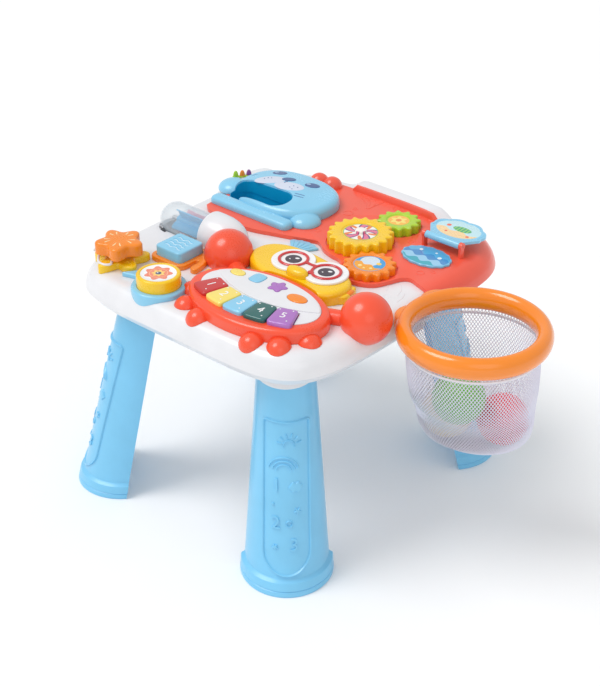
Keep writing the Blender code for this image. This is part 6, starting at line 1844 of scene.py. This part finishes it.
def build_roller():
    hood_rings = [(HOOD_RADIUS * up or 0.0006, -HOOD_LENGTH * along) for along, up in HOOD_PROFILE_SHARES]
    hood = raw("hood_shell", loft(bmesh.new(), revolve(hood_rings, drum_place(HOOD_MOUTH_X), 96)))
    room = DRUM_RADIUS + TROUGH_ROOM
    crab = tool(
        "crab clearance", oval(CRAB_MIDDLE, [half + GAP for half in CRAB_HALF], 128), TRAY_SIDE_Z, 0.34,
    )
    claws = [ball_tool(f"claw clearance {i}", claw, CLAW_RADIUS + GAP) for i, claw in enumerate(CLAWS)]
    carve(hood, "DIFFERENCE", skin(), capsule("drum space", room, GAP), crab, *claws)
    rounded(hood, 0.0009, radians(50))
    white = moulded("white plastic", WHITE)
    piece(hood, white, "table", ("roller_hood",), smooth=34)
    # The cradle is a thin trough inside the tray.
    rings = []
    for step in range(33):
        turn = pi + pi * step / 32
        outer, inner = room + TROUGH_WALL, room
        right, left = DRUM_RIGHT_X + TROUGH_END, DRUM_DOME_X
        rings.append([
            (x, DRUM_Y + reach * cos(turn), min(DRUM_Z + reach * sin(turn), TRAY_TOP_Z - GAP))
            for x, reach in ((right, outer), (left, outer), (left, inner), (right, inner))
        ])
    piece(raw("roller_trough", loft(bmesh.new(), rings)), white, "table")
    bm = bmesh.new()
    length_x = DRUM_RIGHT_X - DRUM_DOME_X
    profile = [(DRUM_BORE, 0.0), (DRUM_RADIUS, 0.0)]
    for step in range(24):
        turn = pi / 2 * step / 24
        profile.append((DRUM_RADIUS * cos(turn), length_x + DRUM_RADIUS * sin(turn)))
    inner = [(DRUM_BORE, DRUM_WALL), (DRUM_RADIUS - DRUM_WALL, DRUM_WALL)]
    for step in range(24):
        turn = pi / 2 * step / 24
        radius = DRUM_RADIUS - DRUM_WALL
        inner.append((radius * cos(turn), length_x + radius * sin(turn)))
    loft(bm, revolve(inner[::-1] + profile, drum_place(DRUM_RIGHT_X), 72))
    piece(raw("drum_shell", bm), clear_plastic(), "roller", ("roller_drum",), smooth=40)
    build_vane()


def build_vane():
    right, left = DRUM_RIGHT_X - VANE_RIGHT_GAP, DRUM_DOME_X + VANE_LEFT_GAP
    bm = bmesh.new()
    rod(bm, (left, DRUM_Y, DRUM_Z), (right, DRUM_Y, DRUM_Z), VANE_HUB, 32)
    for blade in range(4):
        turn = pi / 2 * blade
        rings = []
        for step in range(9):
            reach = VANE_ROOT + VANE_REACH * step / 8
            bend = turn + VANE_BEND * (step / 8) ** 2
            y, z = DRUM_Y + reach * cos(bend), DRUM_Z + reach * sin(bend)
            ny, nz = -sin(bend) * VANE_HALF_THICK, cos(bend) * VANE_HALF_THICK
            rings.append(
                [
                    (left + 0.002, y - ny, z - nz), (right - 0.003, y - ny, z - nz),
                    (right - 0.003, y + ny, z + nz), (left + 0.002, y + ny, z + nz),
                ]
            )
        loft(bm, rings)
    blue = moulded("vane plastic", linear(70, 178, 226), rough=0.2)
    piece(raw("vane_shell", bm), blue, "roller", ("roller_vane",))
    bm = bmesh.new()
    for blade in range(2):
        turn = pi / 4 + pi * blade
        rings = []
        for step in range(13):
            x = left + 0.006 + (right - left - 0.012) * step / 12
            bend = turn + RIBBON_BEND * sin(pi * step / 12)
            ring = []
            for reach, side in (
                (RIBBON_INNER, -1), (RIBBON_OUTER, -1), (RIBBON_OUTER, 1), (RIBBON_INNER, 1),
            ):
                y = DRUM_Y + reach * cos(bend) - side * RIBBON_HALF_THICK * sin(bend)
                ring.append((x, y, DRUM_Z + reach * sin(bend) + side * RIBBON_HALF_THICK * cos(bend)))
            rings.append(ring)
        loft(bm, rings)
    piece(
        raw("roller_ribbons", bm), moulded("ribbon plastic", linear(240, 150, 170), rough=0.2), "roller",
    )
    grey = moulded("bead plastic", linear(176, 180, 188), rough=0.2)
    for number in (1, 2):
        low, high = node_box(f"roller_bead_{number}")
        centre = (low + high) / 2 - Vector((TRAY_X, 0, 0))
        bm = bmesh.new()
        for shift in (-BEAD_PITCH, 0.0, BEAD_PITCH):
            dome(bm, (centre.x + shift, centre.y, centre.z), (BEAD_RADIUS,) * 3, 24, 16)
        piece(raw(f"bead_shell_{number}", bm), grey, "roller", (f"roller_bead_{number}",))


def gear_outline(centre, teeth, phase, count=12):
    points = []
    for step in range(teeth * count):
        turn = phase + 2 * pi * step / (teeth * count)
        swing = cos(teeth * (turn - phase))
        swing = swing * (1.25 - 0.25 * abs(swing))
        radius = pitch_radius(teeth) - TOOTH_EASE + TOOTH_WAVE * swing
        points.append((centre[0] + radius * cos(turn), centre[1] + radius * sin(turn)))
    return points


def mesh_phase(name):
    pitch = 2 * pi / TEETH["large"]
    bearing, teeth = BEARINGS[name], TEETH[name]
    ahead = (-bearing % pitch) / pitch
    return bearing + pi - ahead * 2 * pi / teeth + pi / teeth


def large_gear_print(graph, tone):
    plan = Plan(graph, gear_place("large"))
    tone = graph.mix(plan.under(plan.radius, 0.0205), tone, linear(250, 244, 236))
    tone = graph.mix(plan.sectors(5, 150) * plan.ring(0.006, 0.0200), tone, linear(92, 58, 132))
    tone = graph.mix(plan.sectors(5, 150, 0.55) * plan.ring(0.006, 0.0200), tone, linear(232, 120, 150))
    tone = graph.mix(plan.sectors(5, -90, 0.72) * plan.ring(0.010, 0.0200), tone, linear(240, 130, 60))
    return graph.mix(plan.ring(0.0200, 0.0210), tone, linear(120, 190, 90))


def small_gear_print(graph, tone):
    plan = Plan(graph, gear_place("small"))
    tone = graph.mix(plan.under(plan.radius, 0.0130), tone, linear(252, 186, 74))
    tone = graph.mix(plan.petals(6, 0.0065, 0.0105), tone, linear(250, 226, 120))
    return graph.mix(plan.disc(0, 0, 0.0036), tone, linear(240, 140, 50))


def medium_gear_print(graph, tone):
    plan = Plan(graph, gear_place("medium"))
    tone = graph.mix(plan.under(plan.radius, 0.0185), tone, linear(60, 160, 220))
    tone = graph.mix(plan.disc(-0.003, 0.005, 0.0115), tone, linear(214, 228, 240))
    hills = plan.under(
        plan.y - (plan.x * 420).math("SINE") * 0.0018, -0.003,
    ) * plan.under(plan.radius, 0.0175)
    tone = graph.mix(hills, tone, linear(246, 166, 40))
    for x, y, radius in ((0.008, -0.008, 0.0018), (-0.006, -0.010, 0.0024), (0.001, -0.012, 0.0014)):
        tone = graph.mix(plan.disc(x, y, radius), tone, linear(250, 226, 150))
    return graph.mix(plan.disc(0.009, 0.006, 0.0030), tone, linear(255, 210, 80))


def build_gears(toys):
    low = DECK_TOP - WELL_DEPTH + GAP
    paints = {"large": toys.yellow, "small": toys.lime, "medium": toys.orange}
    prints = {"large": large_gear_print, "small": small_gear_print, "medium": medium_gear_print}
    discs = {"large": 0.0225, "small": 0.0145, "medium": 0.0200}
    for name, teeth in TEETH.items():
        centre = gear_place(name)
        high = GEAR_TOPS[name]
        outline = gear_outline(centre, teeth, 0.0 if name == "large" else mesh_phase(name))
        bm = bmesh.new()
        rings = [flat_ring(outline, low)]
        for step in range(7):
            turn = step / 6 * pi / 2
            rings.append(
                flat_ring(inward(outline, 0.0022 * (1 - cos(turn))), high - 0.0022 * (1 - sin(turn)))
            )
        disc = discs[name]
        count = len(outline)
        start = atan2(outline[0][1] - centre[1], outline[0][0] - centre[0])
        for radius, drop in (
            (disc + 0.0012, 0.0), (disc + 0.0004, 0.0004), (disc, 0.0011), (disc * 0.6, 0.0010),
            (0.001, 0.0009),
        ):
            ring = []
            for step in range(count):
                turn = start + 2 * pi * step / count
                ring.append((centre[0] + radius * cos(turn), centre[1] + radius * sin(turn), high - drop))
            rings.append(ring)
        loft(bm, rings)
        if name == "large":
            pillow(bm, oval(centre, (0.007, 0.007), 48), high - 0.0015, high + 0.003, 0.0022, dome=0.0004)
        plastic = moulded(f"{name} gear plastic", paints[name], print_on=prints[name])
        piece(raw(f"{name}_gear", bm), plastic, f"{name}_gear", (f"gear_{name}",), smooth=40)


def page_print(graph, tone):
    plan = Plan(graph, (PAGE_X, HINGE_Y + 0.030), 0.0)
    sand = linear(250, 214, 160)
    area = plan.disc(0, 0.001, 0.029, 0.72)
    tone = graph.mix(area, tone, linear(196, 232, 240))
    tone = graph.mix(area * plan.under(plan.y - (plan.x * 260).math("SINE") * 0.0022, -0.004), tone, sand)
    leaf = plan.disc(0.004, 0.003, 0.0125, 0.5)
    tone = graph.mix(leaf, tone, linear(70, 170, 120))
    tone = graph.mix(leaf * plan.under((plan.x * 1400).math("SINE"), -0.2), tone, linear(150, 210, 110))
    for x, y, radius in ((-0.016, 0.004, 0.0030), (0.019, -0.009, 0.0022), (-0.010, -0.011, 0.0018)):
        tone = graph.mix(plan.disc(x, y, radius), tone, linear(240, 110, 80))
    return tone


def disc_print(graph, tone):
    plan = Plan(graph, DISC)
    area = plan.disc(0, 0, 0.0305, 0.68)
    tone = graph.mix(area, tone, linear(88, 176, 224))
    for number, paint in enumerate((linear(58, 140, 204), linear(150, 206, 238), linear(44, 170, 190))):
        level = 0.004 - number * 0.008
        swell = (plan.x * 330 + number * 2).math("SINE") * 0.0026
        tone = graph.mix(area * plan.under(plan.y - swell, level), tone, paint)
    for x, y, radius in ((-0.014, 0.009, 0.0022), (0.006, 0.012, 0.0016), (0.016, 0.004, 0.0026)):
        tone = graph.mix(plan.disc(x, y, radius), tone, linear(236, 246, 250))
    return tone


def build_page(toys):
    outline = [(PAGE_X - 0.0192, HINGE_Y)]
    for step in range(121):
        turn = pi * (1.06 - 1.12 * step / 120)
        ripple = 0.0025 * (1 - abs(sin(turn * 4)))
        x = PAGE_X + (PAGE_HALF_WIDTH - ripple) * cos(turn)
        outline.append((x, HINGE_Y + PAGE_REACH / 2 + (PAGE_REACH / 2 - ripple) * sin(turn)))
    outline.append((PAGE_X + 0.0192, HINGE_Y))
    half = PAGE_THICK / 2
    page = raw("page_leaf", slab(bmesh.new(), outline, HINGE_Z - half, HINGE_Z + half))
    barrel = rod_tool(
        "barrel", (PAGE_X - BARREL_HALF, HINGE_Y, HINGE_Z), (PAGE_X + BARREL_HALF, HINGE_Y, HINGE_Z),
        BARREL_RADIUS, 48,
    )
    carve(page, "UNION", barrel)
    bore = rod_tool("bore", (PAGE_X - 0.03, HINGE_Y, HINGE_Z), (PAGE_X + 0.03, HINGE_Y, HINGE_Z), 0.0018, 24)
    carve(page, "DIFFERENCE", bore)
    rounded(page, 0.0008, radians(50))
    plastic = moulded("page plastic", toys.aqua, print_on=page_print)
    piece(page, plastic, "page", ("flip_page",), smooth=34)
    rim = [(x, y, HINGE_Z + half - 0.0002) for x, y in inward(outline[1:-1], 0.0032)]
    bm = tube(bmesh.new(), rim, 0.0007, 8)
    piece(raw("page_rim", bm), moulded("seal plastic", toys.aqua), "page")
    low = DECK_TOP + GAP
    bm = bmesh.new()
    scallop = []
    for step in range(160):
        turn = 2 * pi * step / 160
        swing = 1 - 0.022 * (1 - cos(14 * turn))
        scallop.append(
            (DISC[0] + DISC_HALF[0] * cos(turn) * swing, DISC[1] + DISC_HALF[1] * sin(turn) * swing)
        )
    pillow(bm, scallop, low, low + 0.0028, 0.0012)
    plastic = moulded("disc plastic", linear(120, 198, 234), print_on=disc_print, rough=0.16, coat=0.7)
    piece(raw("picture_plate", bm), plastic, "table", ("picture_disc",))


def build_ring(basket):
    rings = []
    for step in range(160):
        turn = 2 * pi * step / 160
        ring = []
        for part in range(36):
            angle = 2 * pi * part / 36
            radius = RING_RADIUS + RING_TUBE * cos(angle)
            ring.append(
                (
                    RING[0] + radius * cos(turn), RING[1] + radius * sin(turn),
                    RING[2] + RING_TUBE_HIGH * sin(angle),
                )
            )
        rings.append(ring)
    ring = raw("ring_shell", loft(bmesh.new(), rings, closed=True))
    low = LOBE_TOP_Z - LOBE_THICK
    lobes = []
    for side in (-1, 1):
        outline = oval((LOBE_X, side * LOBE_SPREAD), (LOBE_RADIUS, LOBE_RADIUS), 80)
        lobes.append(
            raw(f"lobe {side}", pillow(bmesh.new(), outline, low, LOBE_TOP_Z, LOBE_THICK / 3, dome=0.0004))
        )
    inside = RING_RADIUS - RING_TUBE / 3
    for lobe in lobes:
        bore = rod_tool("inside", (*RING[:2], low - OVERRUN), (*RING[:2], LOBE_TOP_Z + OVERRUN), inside, 160)
        carve(lobe, "DIFFERENCE", bore)
    carve(ring, "UNION", *lobes)
    deck_space = tray_solid("deck space", 2 * GAP + DECK_THICK, TRAY_BOTTOM_Z, rim=False)
    plan = [(x, y - GAP) for x, y in deck_outline()]
    carve(deck_space, "INTERSECT", tool("deck plan", plan, DECK_LOW_Z - GAP, TRAY_TOP_Z + 2 * DECK_THICK))
    carve(ring, "DIFFERENCE", skin(), deck_space, ball_tool("claw", CLAWS[1], CLAW_RADIUS + GAP))
    tongue = tool(
        "tongue", rounded_box(
            (TONGUE_X, 0.0), (0.0015, 0.012), 0.0008, 3,
        ), TONGUE_LOW_Z, low + LOBE_THICK / 2,
    )
    carve(ring, "UNION", tongue)
    plastic = moulded("ring plastic", basket.ring, rough=0.2, coat=0.6)
    piece(ring, plastic, "basket", ("basket_ring",), smooth=34)


def net_surface(basket):
    """Rows of points of the loaded net, from the ring to its bottom."""
    sections = smooth_line(NET_SHARES, 12)
    path = [0.0]
    for first, second in zip(sections, sections[1:]):
        run = hypot(second[0] - first[0], (second[3] - first[3]))
        path.append(path[-1] + run)
    rows = []
    for row in range(basket.rows + 1):
        want = path[-1] * row / basket.rows
        i = max(k for k in range(len(path)) if path[k] <= want + 1e-9)
        i = min(i, len(sections) - 2)
        share = (want - path[i]) / (path[i + 1] - path[i])
        up, x, y, wide, deep = sections[i] + (sections[i + 1] - sections[i]) * share
        ring = []
        for step in range(basket.cords):
            turn = 2 * pi * (step + (row % 2) / 2) / basket.cords
            along, across = wide * RING_RADIUS * cos(turn), deep * RING_RADIUS * sin(turn)
            place = Vector((
                RING[0] + x * RING_RADIUS + along * cos(NET_TURN) - across * sin(NET_TURN),
                RING[1] + y * RING_RADIUS + along * sin(NET_TURN) + across * cos(NET_TURN),
                RING[2] + up * RING_RADIUS,
            ))
            ring.append(pushed_out(place, basket.strand))
        rows.append(ring)
    return rows


def pushed_out(place, strand):
    """The point moved outward where a ball presses on the net."""
    for shares in BALLS.values():
        centre = Vector([base + share * RING_RADIUS for base, share in zip(RING, shares)])
        away = place - centre
        reach = BALL_RADIUS + 2 * strand
        if away.length < reach:
            place = centre + away.normalized() * reach
    return place


def strand_tree(material):
    """Geometry nodes that lay a thin strand along each edge of a lattice."""
    tree = bpy.data.node_groups.new("Net strands", "GeometryNodeTree")
    tree.interface.new_socket("Geometry", in_out="INPUT", socket_type="NodeSocketGeometry")
    size = tree.interface.new_socket("Strand radius", in_out="INPUT", socket_type="NodeSocketFloat")
    sides = tree.interface.new_socket("Strand sides", in_out="INPUT", socket_type="NodeSocketInt")
    tree.interface.new_socket("Geometry", in_out="OUTPUT", socket_type="NodeSocketGeometry")
    source = tree.nodes.new("NodeGroupInput")
    line = tree.nodes.new("GeometryNodeMeshToCurve")
    circle = tree.nodes.new("GeometryNodeCurvePrimitiveCircle")
    sweep = tree.nodes.new("GeometryNodeCurveToMesh")
    real = tree.nodes.new("GeometryNodeRealizeInstances")
    paint = tree.nodes.new("GeometryNodeSetMaterial")
    paint.inputs["Material"].default_value = material
    out = tree.nodes.new("NodeGroupOutput")
    link = tree.links.new
    link(source.outputs[0], line.inputs[0])
    link(source.outputs[1], circle.inputs["Radius"])
    link(source.outputs[2], circle.inputs["Resolution"])
    link(line.outputs[0], sweep.inputs[0])
    link(circle.outputs[0], sweep.inputs[1])
    link(sweep.outputs[0], real.inputs[0])
    link(real.outputs[0], paint.inputs[0])
    link(paint.outputs[0], out.inputs[0])
    return tree, size.identifier, sides.identifier


def thread_material():
    graph = Graph("net thread")
    twist = graph.noise(1800, 2)
    graph.set("Base Color", graph.mix(twist, linear(214, 214, 232), linear(240, 240, 250)))
    graph.set("Roughness", 0.55 + twist * 0.2)
    graph.bump(twist, 0.00008)
    return graph.material


def build_net(basket):
    rows = net_surface(basket)
    bm = bmesh.new()
    verts = [[bm.verts.new(point) for point in row] for row in rows]
    count = basket.cords
    for row, (upper, lower) in enumerate(zip(verts, verts[1:])):
        side = -1 if row % 2 == 0 else 1
        for step in range(count):
            bm.edges.new((upper[step], lower[step]))
            bm.edges.new((upper[step], lower[(step + side) % count]))
    for ring in (verts[0], verts[-1]):
        for step in range(count):
            bm.edges.new((ring[step], ring[(step + 1) % count]))
    thread = thread_material()
    bmesh.ops.translate(bm, verts=bm.verts, vec=(TRAY_X, 0, 0))
    mesh = bpy.data.meshes.new("net_mesh")
    bm.to_mesh(mesh)
    bm.free()
    net = bpy.data.objects.new("net_mesh", mesh)
    bpy.context.scene.collection.objects.link(net)
    tree, size, sides = strand_tree(thread)
    step = net.modifiers.new("strands", "NODES")
    step.node_group = tree
    step[size] = basket.strand
    step[sides] = STRAND_SIDES
    bake(net)
    piece(net, thread, "basket", ("basket_net",), smooth=80)
    bm = bmesh.new()
    rings = []
    for point in rows[0]:
        away = Vector((point.x - RING[0], point.y - RING[1], 0)).normalized()
        ring = []
        for part in range(HEM_SIDES):
            angle = 2 * pi * part / HEM_SIDES
            drop = Vector((0, 0, HEM_HALF_HEIGHT * sin(angle) - HEM_DROP))
            ring.append(point + away * HEM_HALF_THICK * cos(angle) + drop)
        rings.append(ring)
    loft(bm, rings, closed=True)
    tape = moulded("hem tape", linear(236, 236, 244), rough=0.7, coat=0.0, grain=0.00008)
    return net, piece(raw("net_hem", bm), tape, "basket")


def ball_plastic(name, paint):
    graph = Graph(name)
    cloud, fleck = graph.noise(30, 3), graph.noise(600, 2)
    graph.set(
        "Base Color",
        graph.mix(cloud, tuple(v * 0.9 for v in paint), tuple(min(1, v * 1.08) for v in paint)),
    )
    graph.set("Roughness", 0.36 + fleck * 0.08)
    graph.bump(fleck + cloud * 0.6, 0.00005)
    return graph.material


def build_balls():
    paints = {
        "ball_green": (GREEN, "green"), "ball_red": (PINK, "pink"), "ball_yellow": (CREAM, "pale_yellow"),
    }
    bodies = {"ball_green": "green_ball", "ball_red": "red_ball", "ball_yellow": "yellow_ball"}
    for name, shares in BALLS.items():
        centre = Vector([base + share * RING_RADIUS for base, share in zip(RING, shares)])
        seam = Matrix.Rotation(SEAM_TILT_X, 4, "X") @ Matrix.Rotation(SEAM_TILT_Y, 4, "Y")
        rings = []
        for step in range(BALL_LEVELS):
            turn = pi * (step + 0.5) / BALL_LEVELS - pi / 2
            groove = SEAM_DEPTH if step == BALL_LEVELS // 2 else 0.0
            radius = BALL_RADIUS - groove
            level = []
            for part in range(BALL_SIDES):
                angle = 2 * pi * part / BALL_SIDES
                wide = radius * cos(turn)
                level.append(
                    centre + seam @ Vector((wide * cos(angle), wide * sin(angle), radius * sin(turn)))
                )
            rings.append(level)
        paint, slot = paints[name]
        obj = raw(f"{name}_shell", loft(bmesh.new(), rings))
        piece(obj, ball_plastic(f"{name} plastic", paint), bodies[name], (name,), smooth=50)


def dress_hidden_nodes():
    """Materials for the CAD nodes that stay: fasteners, axles, the speaker and the board."""
    steel = metal("ground steel", STEEL)
    looks = {
        "speaker": moulded("speaker paper", BLACK, rough=0.6, coat=0.0),
        "circuit_board": moulded("board lacquer", BOARD, rough=0.4),
    }
    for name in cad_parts:
        if name.startswith(("cover_screw", "gear_axle")) or name in ("page_pin", "roller_axle"):
            looks[name] = steel
    for name, material in looks.items():
        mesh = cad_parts[name].data
        mesh.materials.clear()
        mesh.materials.append(material)


def build_stage(studio):
    """Pale floor, soft lamps, world and the camera of the photograph."""
    half = studio.floor
    bm = bmesh.new()
    corners = [
        bm.verts.new((x, y, 0))
        for x, y in ((-half, -half), (half, -half), (half, half), (-half, half))
    ]
    bm.faces.new(corners)
    mesh = bpy.data.meshes.new("floor")
    bm.to_mesh(mesh)
    bm.free()
    floor = bpy.data.objects.new("floor", mesh)
    bpy.context.scene.collection.objects.link(floor)
    graph = Graph("floor paint")
    graph.set("Base Color", FLOOR_WHITE)
    graph.set("Roughness", 0.9)
    graph.shader.inputs["Specular IOR Level"].default_value = FLOOR_SHEEN
    mesh.materials.append(graph.material)
    world = bpy.data.worlds.new("studio")
    bpy.context.scene.world = world
    world.use_nodes = True
    nodes, links = world.node_tree.nodes, world.node_tree.links
    nodes.clear()
    path = nodes.new("ShaderNodeLightPath")
    seen = nodes.new("ShaderNodeMath")
    seen.operation = "MAXIMUM"
    links.new(path.outputs["Is Camera Ray"], seen.inputs[0])
    links.new(path.outputs["Is Transmission Ray"], seen.inputs[1])
    plain = nodes.new("ShaderNodeBackground")
    plain.inputs["Color"].default_value = WORLD_COLOUR
    plain.inputs["Strength"].default_value = WORLD_STRENGTH
    bright = nodes.new("ShaderNodeBackground")
    bright.inputs["Color"].default_value = (1, 1, 1, 1)
    mixed = nodes.new("ShaderNodeMixShader")
    out = nodes.new("ShaderNodeOutputWorld")
    links.new(seen.outputs[0], mixed.inputs[0])
    links.new(plain.outputs[0], mixed.inputs[1])
    links.new(bright.outputs[0], mixed.inputs[2])
    links.new(mixed.outputs[0], out.inputs[0])
    aim = Vector(LAMP_AIM)
    for name, kind, place, size, power in LAMPS:
        lamp = bpy.data.lights.new(name, kind)
        if kind == "SUN":
            lamp.angle = size
        else:
            lamp.shape = "DISK"
            lamp.size = size
        lamp.energy = power
        holder = bpy.data.objects.new(name, lamp)
        bpy.context.scene.collection.objects.link(holder)
        holder.location = place
        holder.rotation_euler = (aim - Vector(place)).to_track_quat("-Z", "Y").to_euler()
    camera = bpy.data.cameras.new("camera")
    camera.lens = studio.lens
    camera.sensor_width = 36
    camera.clip_end = 20
    holder = bpy.data.objects.new("camera", camera)
    bpy.context.scene.collection.objects.link(holder)
    shift = Vector((TRAY_X, 0, 0))
    place, target = Vector(studio.camera) + shift, Vector(studio.target) + shift
    holder.location = place
    holder.rotation_euler = (target - place).to_track_quat("-Z", "Y").to_euler()
    bpy.context.scene.camera = holder
    bpy.context.scene.view_settings.view_transform = "Standard"


# Operators


class ACTIVITY_OT_stage(Operator):
    """Set up the floor, lamps, world and camera."""

    bl_idname = "activity.stage"
    bl_label = "Stage"

    def execute(self, context):
        build_stage(context.scene.activity_table.studio)
        return {"FINISHED"}


class ACTIVITY_OT_tray(Operator):
    """Build the tray, its moulded marks and the keeper."""

    bl_idname = "activity.tray"
    bl_label = "Tray"

    def execute(self, context):
        build_tray(context.scene.activity_table.shell)
        return {"FINISHED"}


class ACTIVITY_OT_cover(Operator):
    """Build the bottom cover and the battery hatch."""

    bl_idname = "activity.cover"
    bl_label = "Bottom cover"

    def execute(self, context):
        build_cover(context.scene.activity_table.shell)
        return {"FINISHED"}


class ACTIVITY_OT_legs(Operator):
    """Build the four legs with their moulded motifs."""

    bl_idname = "activity.legs"
    bl_label = "Legs"

    def execute(self, context):
        build_legs(context.scene.activity_table.shell)
        return {"FINISHED"}


class ACTIVITY_OT_deck(Operator):
    """Build the red deck, its band, lugs and marks."""

    bl_idname = "activity.deck"
    bl_label = "Red deck"

    def execute(self, context):
        build_deck(context.scene.activity_table.shell)
        return {"FINISHED"}


class ACTIVITY_OT_seal(Operator):
    """Build the seal, its mouth, its face and the leaves behind it."""

    bl_idname = "activity.seal"
    bl_label = "Seal"

    def execute(self, context):
        build_seal(context.scene.activity_table.toys)
        return {"FINISHED"}


class ACTIVITY_OT_crab(Operator):
    """Build the crab's casing."""

    bl_idname = "activity.crab"
    bl_label = "Crab"

    def execute(self, context):
        build_crab(context.scene.activity_table.toys)
        return {"FINISHED"}


class ACTIVITY_OT_piano(Operator):
    """Build the faceplate, keys, buttons and the switch knob."""

    bl_idname = "activity.piano"
    bl_label = "Piano"

    def execute(self, context):
        settings = context.scene.activity_table
        build_piano(settings.shell, settings.toys)
        return {"FINISHED"}


class ACTIVITY_OT_owl(Operator):
    """Build the owl, its face, its beak and the fan crest."""

    bl_idname = "activity.owl"
    bl_label = "Owl"

    def execute(self, context):
        build_owl(context.scene.activity_table.toys)
        return {"FINISHED"}


class ACTIVITY_OT_star(Operator):
    """Build the starfish, the spinning star and the white squiggles."""

    bl_idname = "activity.star"
    bl_label = "Star"

    def execute(self, context):
        build_star(context.scene.activity_table.toys)
        return {"FINISHED"}


class ACTIVITY_OT_fish(Operator):
    """Build the fish's collar and its drum button."""

    bl_idname = "activity.fish"
    bl_label = "Fish"

    def execute(self, context):
        build_fish(context.scene.activity_table.toys)
        return {"FINISHED"}


class ACTIVITY_OT_wave(Operator):
    """Build the wave key and its bezel."""

    bl_idname = "activity.wave"
    bl_label = "Wave key"

    def execute(self, context):
        build_wave(context.scene.activity_table.toys)
        return {"FINISHED"}


class ACTIVITY_OT_roller(Operator):
    """Build the hood, the clear drum and what turns inside it."""

    bl_idname = "activity.roller"
    bl_label = "Roller"

    def execute(self, context):
        build_roller()
        return {"FINISHED"}


class ACTIVITY_OT_gears(Operator):
    """Build the three gears with their printed discs."""

    bl_idname = "activity.gears"
    bl_label = "Gears"

    def execute(self, context):
        build_gears(context.scene.activity_table.toys)
        return {"FINISHED"}


class ACTIVITY_OT_page(Operator):
    """Build the flip page and the picture plate."""

    bl_idname = "activity.page"
    bl_label = "Flip page"

    def execute(self, context):
        build_page(context.scene.activity_table.toys)
        return {"FINISHED"}


class ACTIVITY_OT_basket(Operator):
    """Build the ring, the net and the balls."""

    bl_idname = "activity.basket"
    bl_label = "Basket"

    def execute(self, context):
        basket = context.scene.activity_table.basket
        build_ring(basket)
        net, hem = build_net(basket)
        build_balls()
        return {"FINISHED"}


class ACTIVITY_OT_fasteners(Operator):
    """Give the screws, axles, speaker and board their materials."""

    bl_idname = "activity.fasteners"
    bl_label = "Fasteners"

    def execute(self, context):
        dress_hidden_nodes()
        return {"FINISHED"}


OPERATORS = (
    ACTIVITY_OT_stage, ACTIVITY_OT_tray, ACTIVITY_OT_cover, ACTIVITY_OT_legs, ACTIVITY_OT_deck,
    ACTIVITY_OT_seal, ACTIVITY_OT_crab, ACTIVITY_OT_piano, ACTIVITY_OT_owl, ACTIVITY_OT_star,
    ACTIVITY_OT_fish, ACTIVITY_OT_wave, ACTIVITY_OT_roller, ACTIVITY_OT_gears, ACTIVITY_OT_page,
    ACTIVITY_OT_basket, ACTIVITY_OT_fasteners,
)


class ACTIVITY_PT_panel(Panel):
    """Buttons for each piece of the activity table."""

    bl_label = "Activity table"
    bl_idname = "ACTIVITY_PT_panel"
    bl_space_type = "VIEW_3D"
    bl_region_type = "UI"
    bl_category = "Activity table"

    def draw(self, context):
        for operator in OPERATORS:
            self.layout.operator(operator.bl_idname)


CLASSES = (
    ShellSettings, ToySettings, BasketSettings, StudioSettings, TableSettings, *OPERATORS, ACTIVITY_PT_panel,
)


def register():
    for item in CLASSES:
        bpy.utils.register_class(item)
    bpy.types.Scene.activity_table = PointerProperty(type=TableSettings)


def unregister():
    del bpy.types.Scene.activity_table
    for item in reversed(CLASSES):
        bpy.utils.unregister_class(item)


def main():
    register()
    for operator in OPERATORS:
        group, name = operator.bl_idname.split(".")
        getattr(getattr(bpy.ops, group), name)()
    bpy.context.view_layer.update()


def plain(box):
    return [[float(value) for value in corner] for corner in box]


if __name__ == "__main__":
    main()
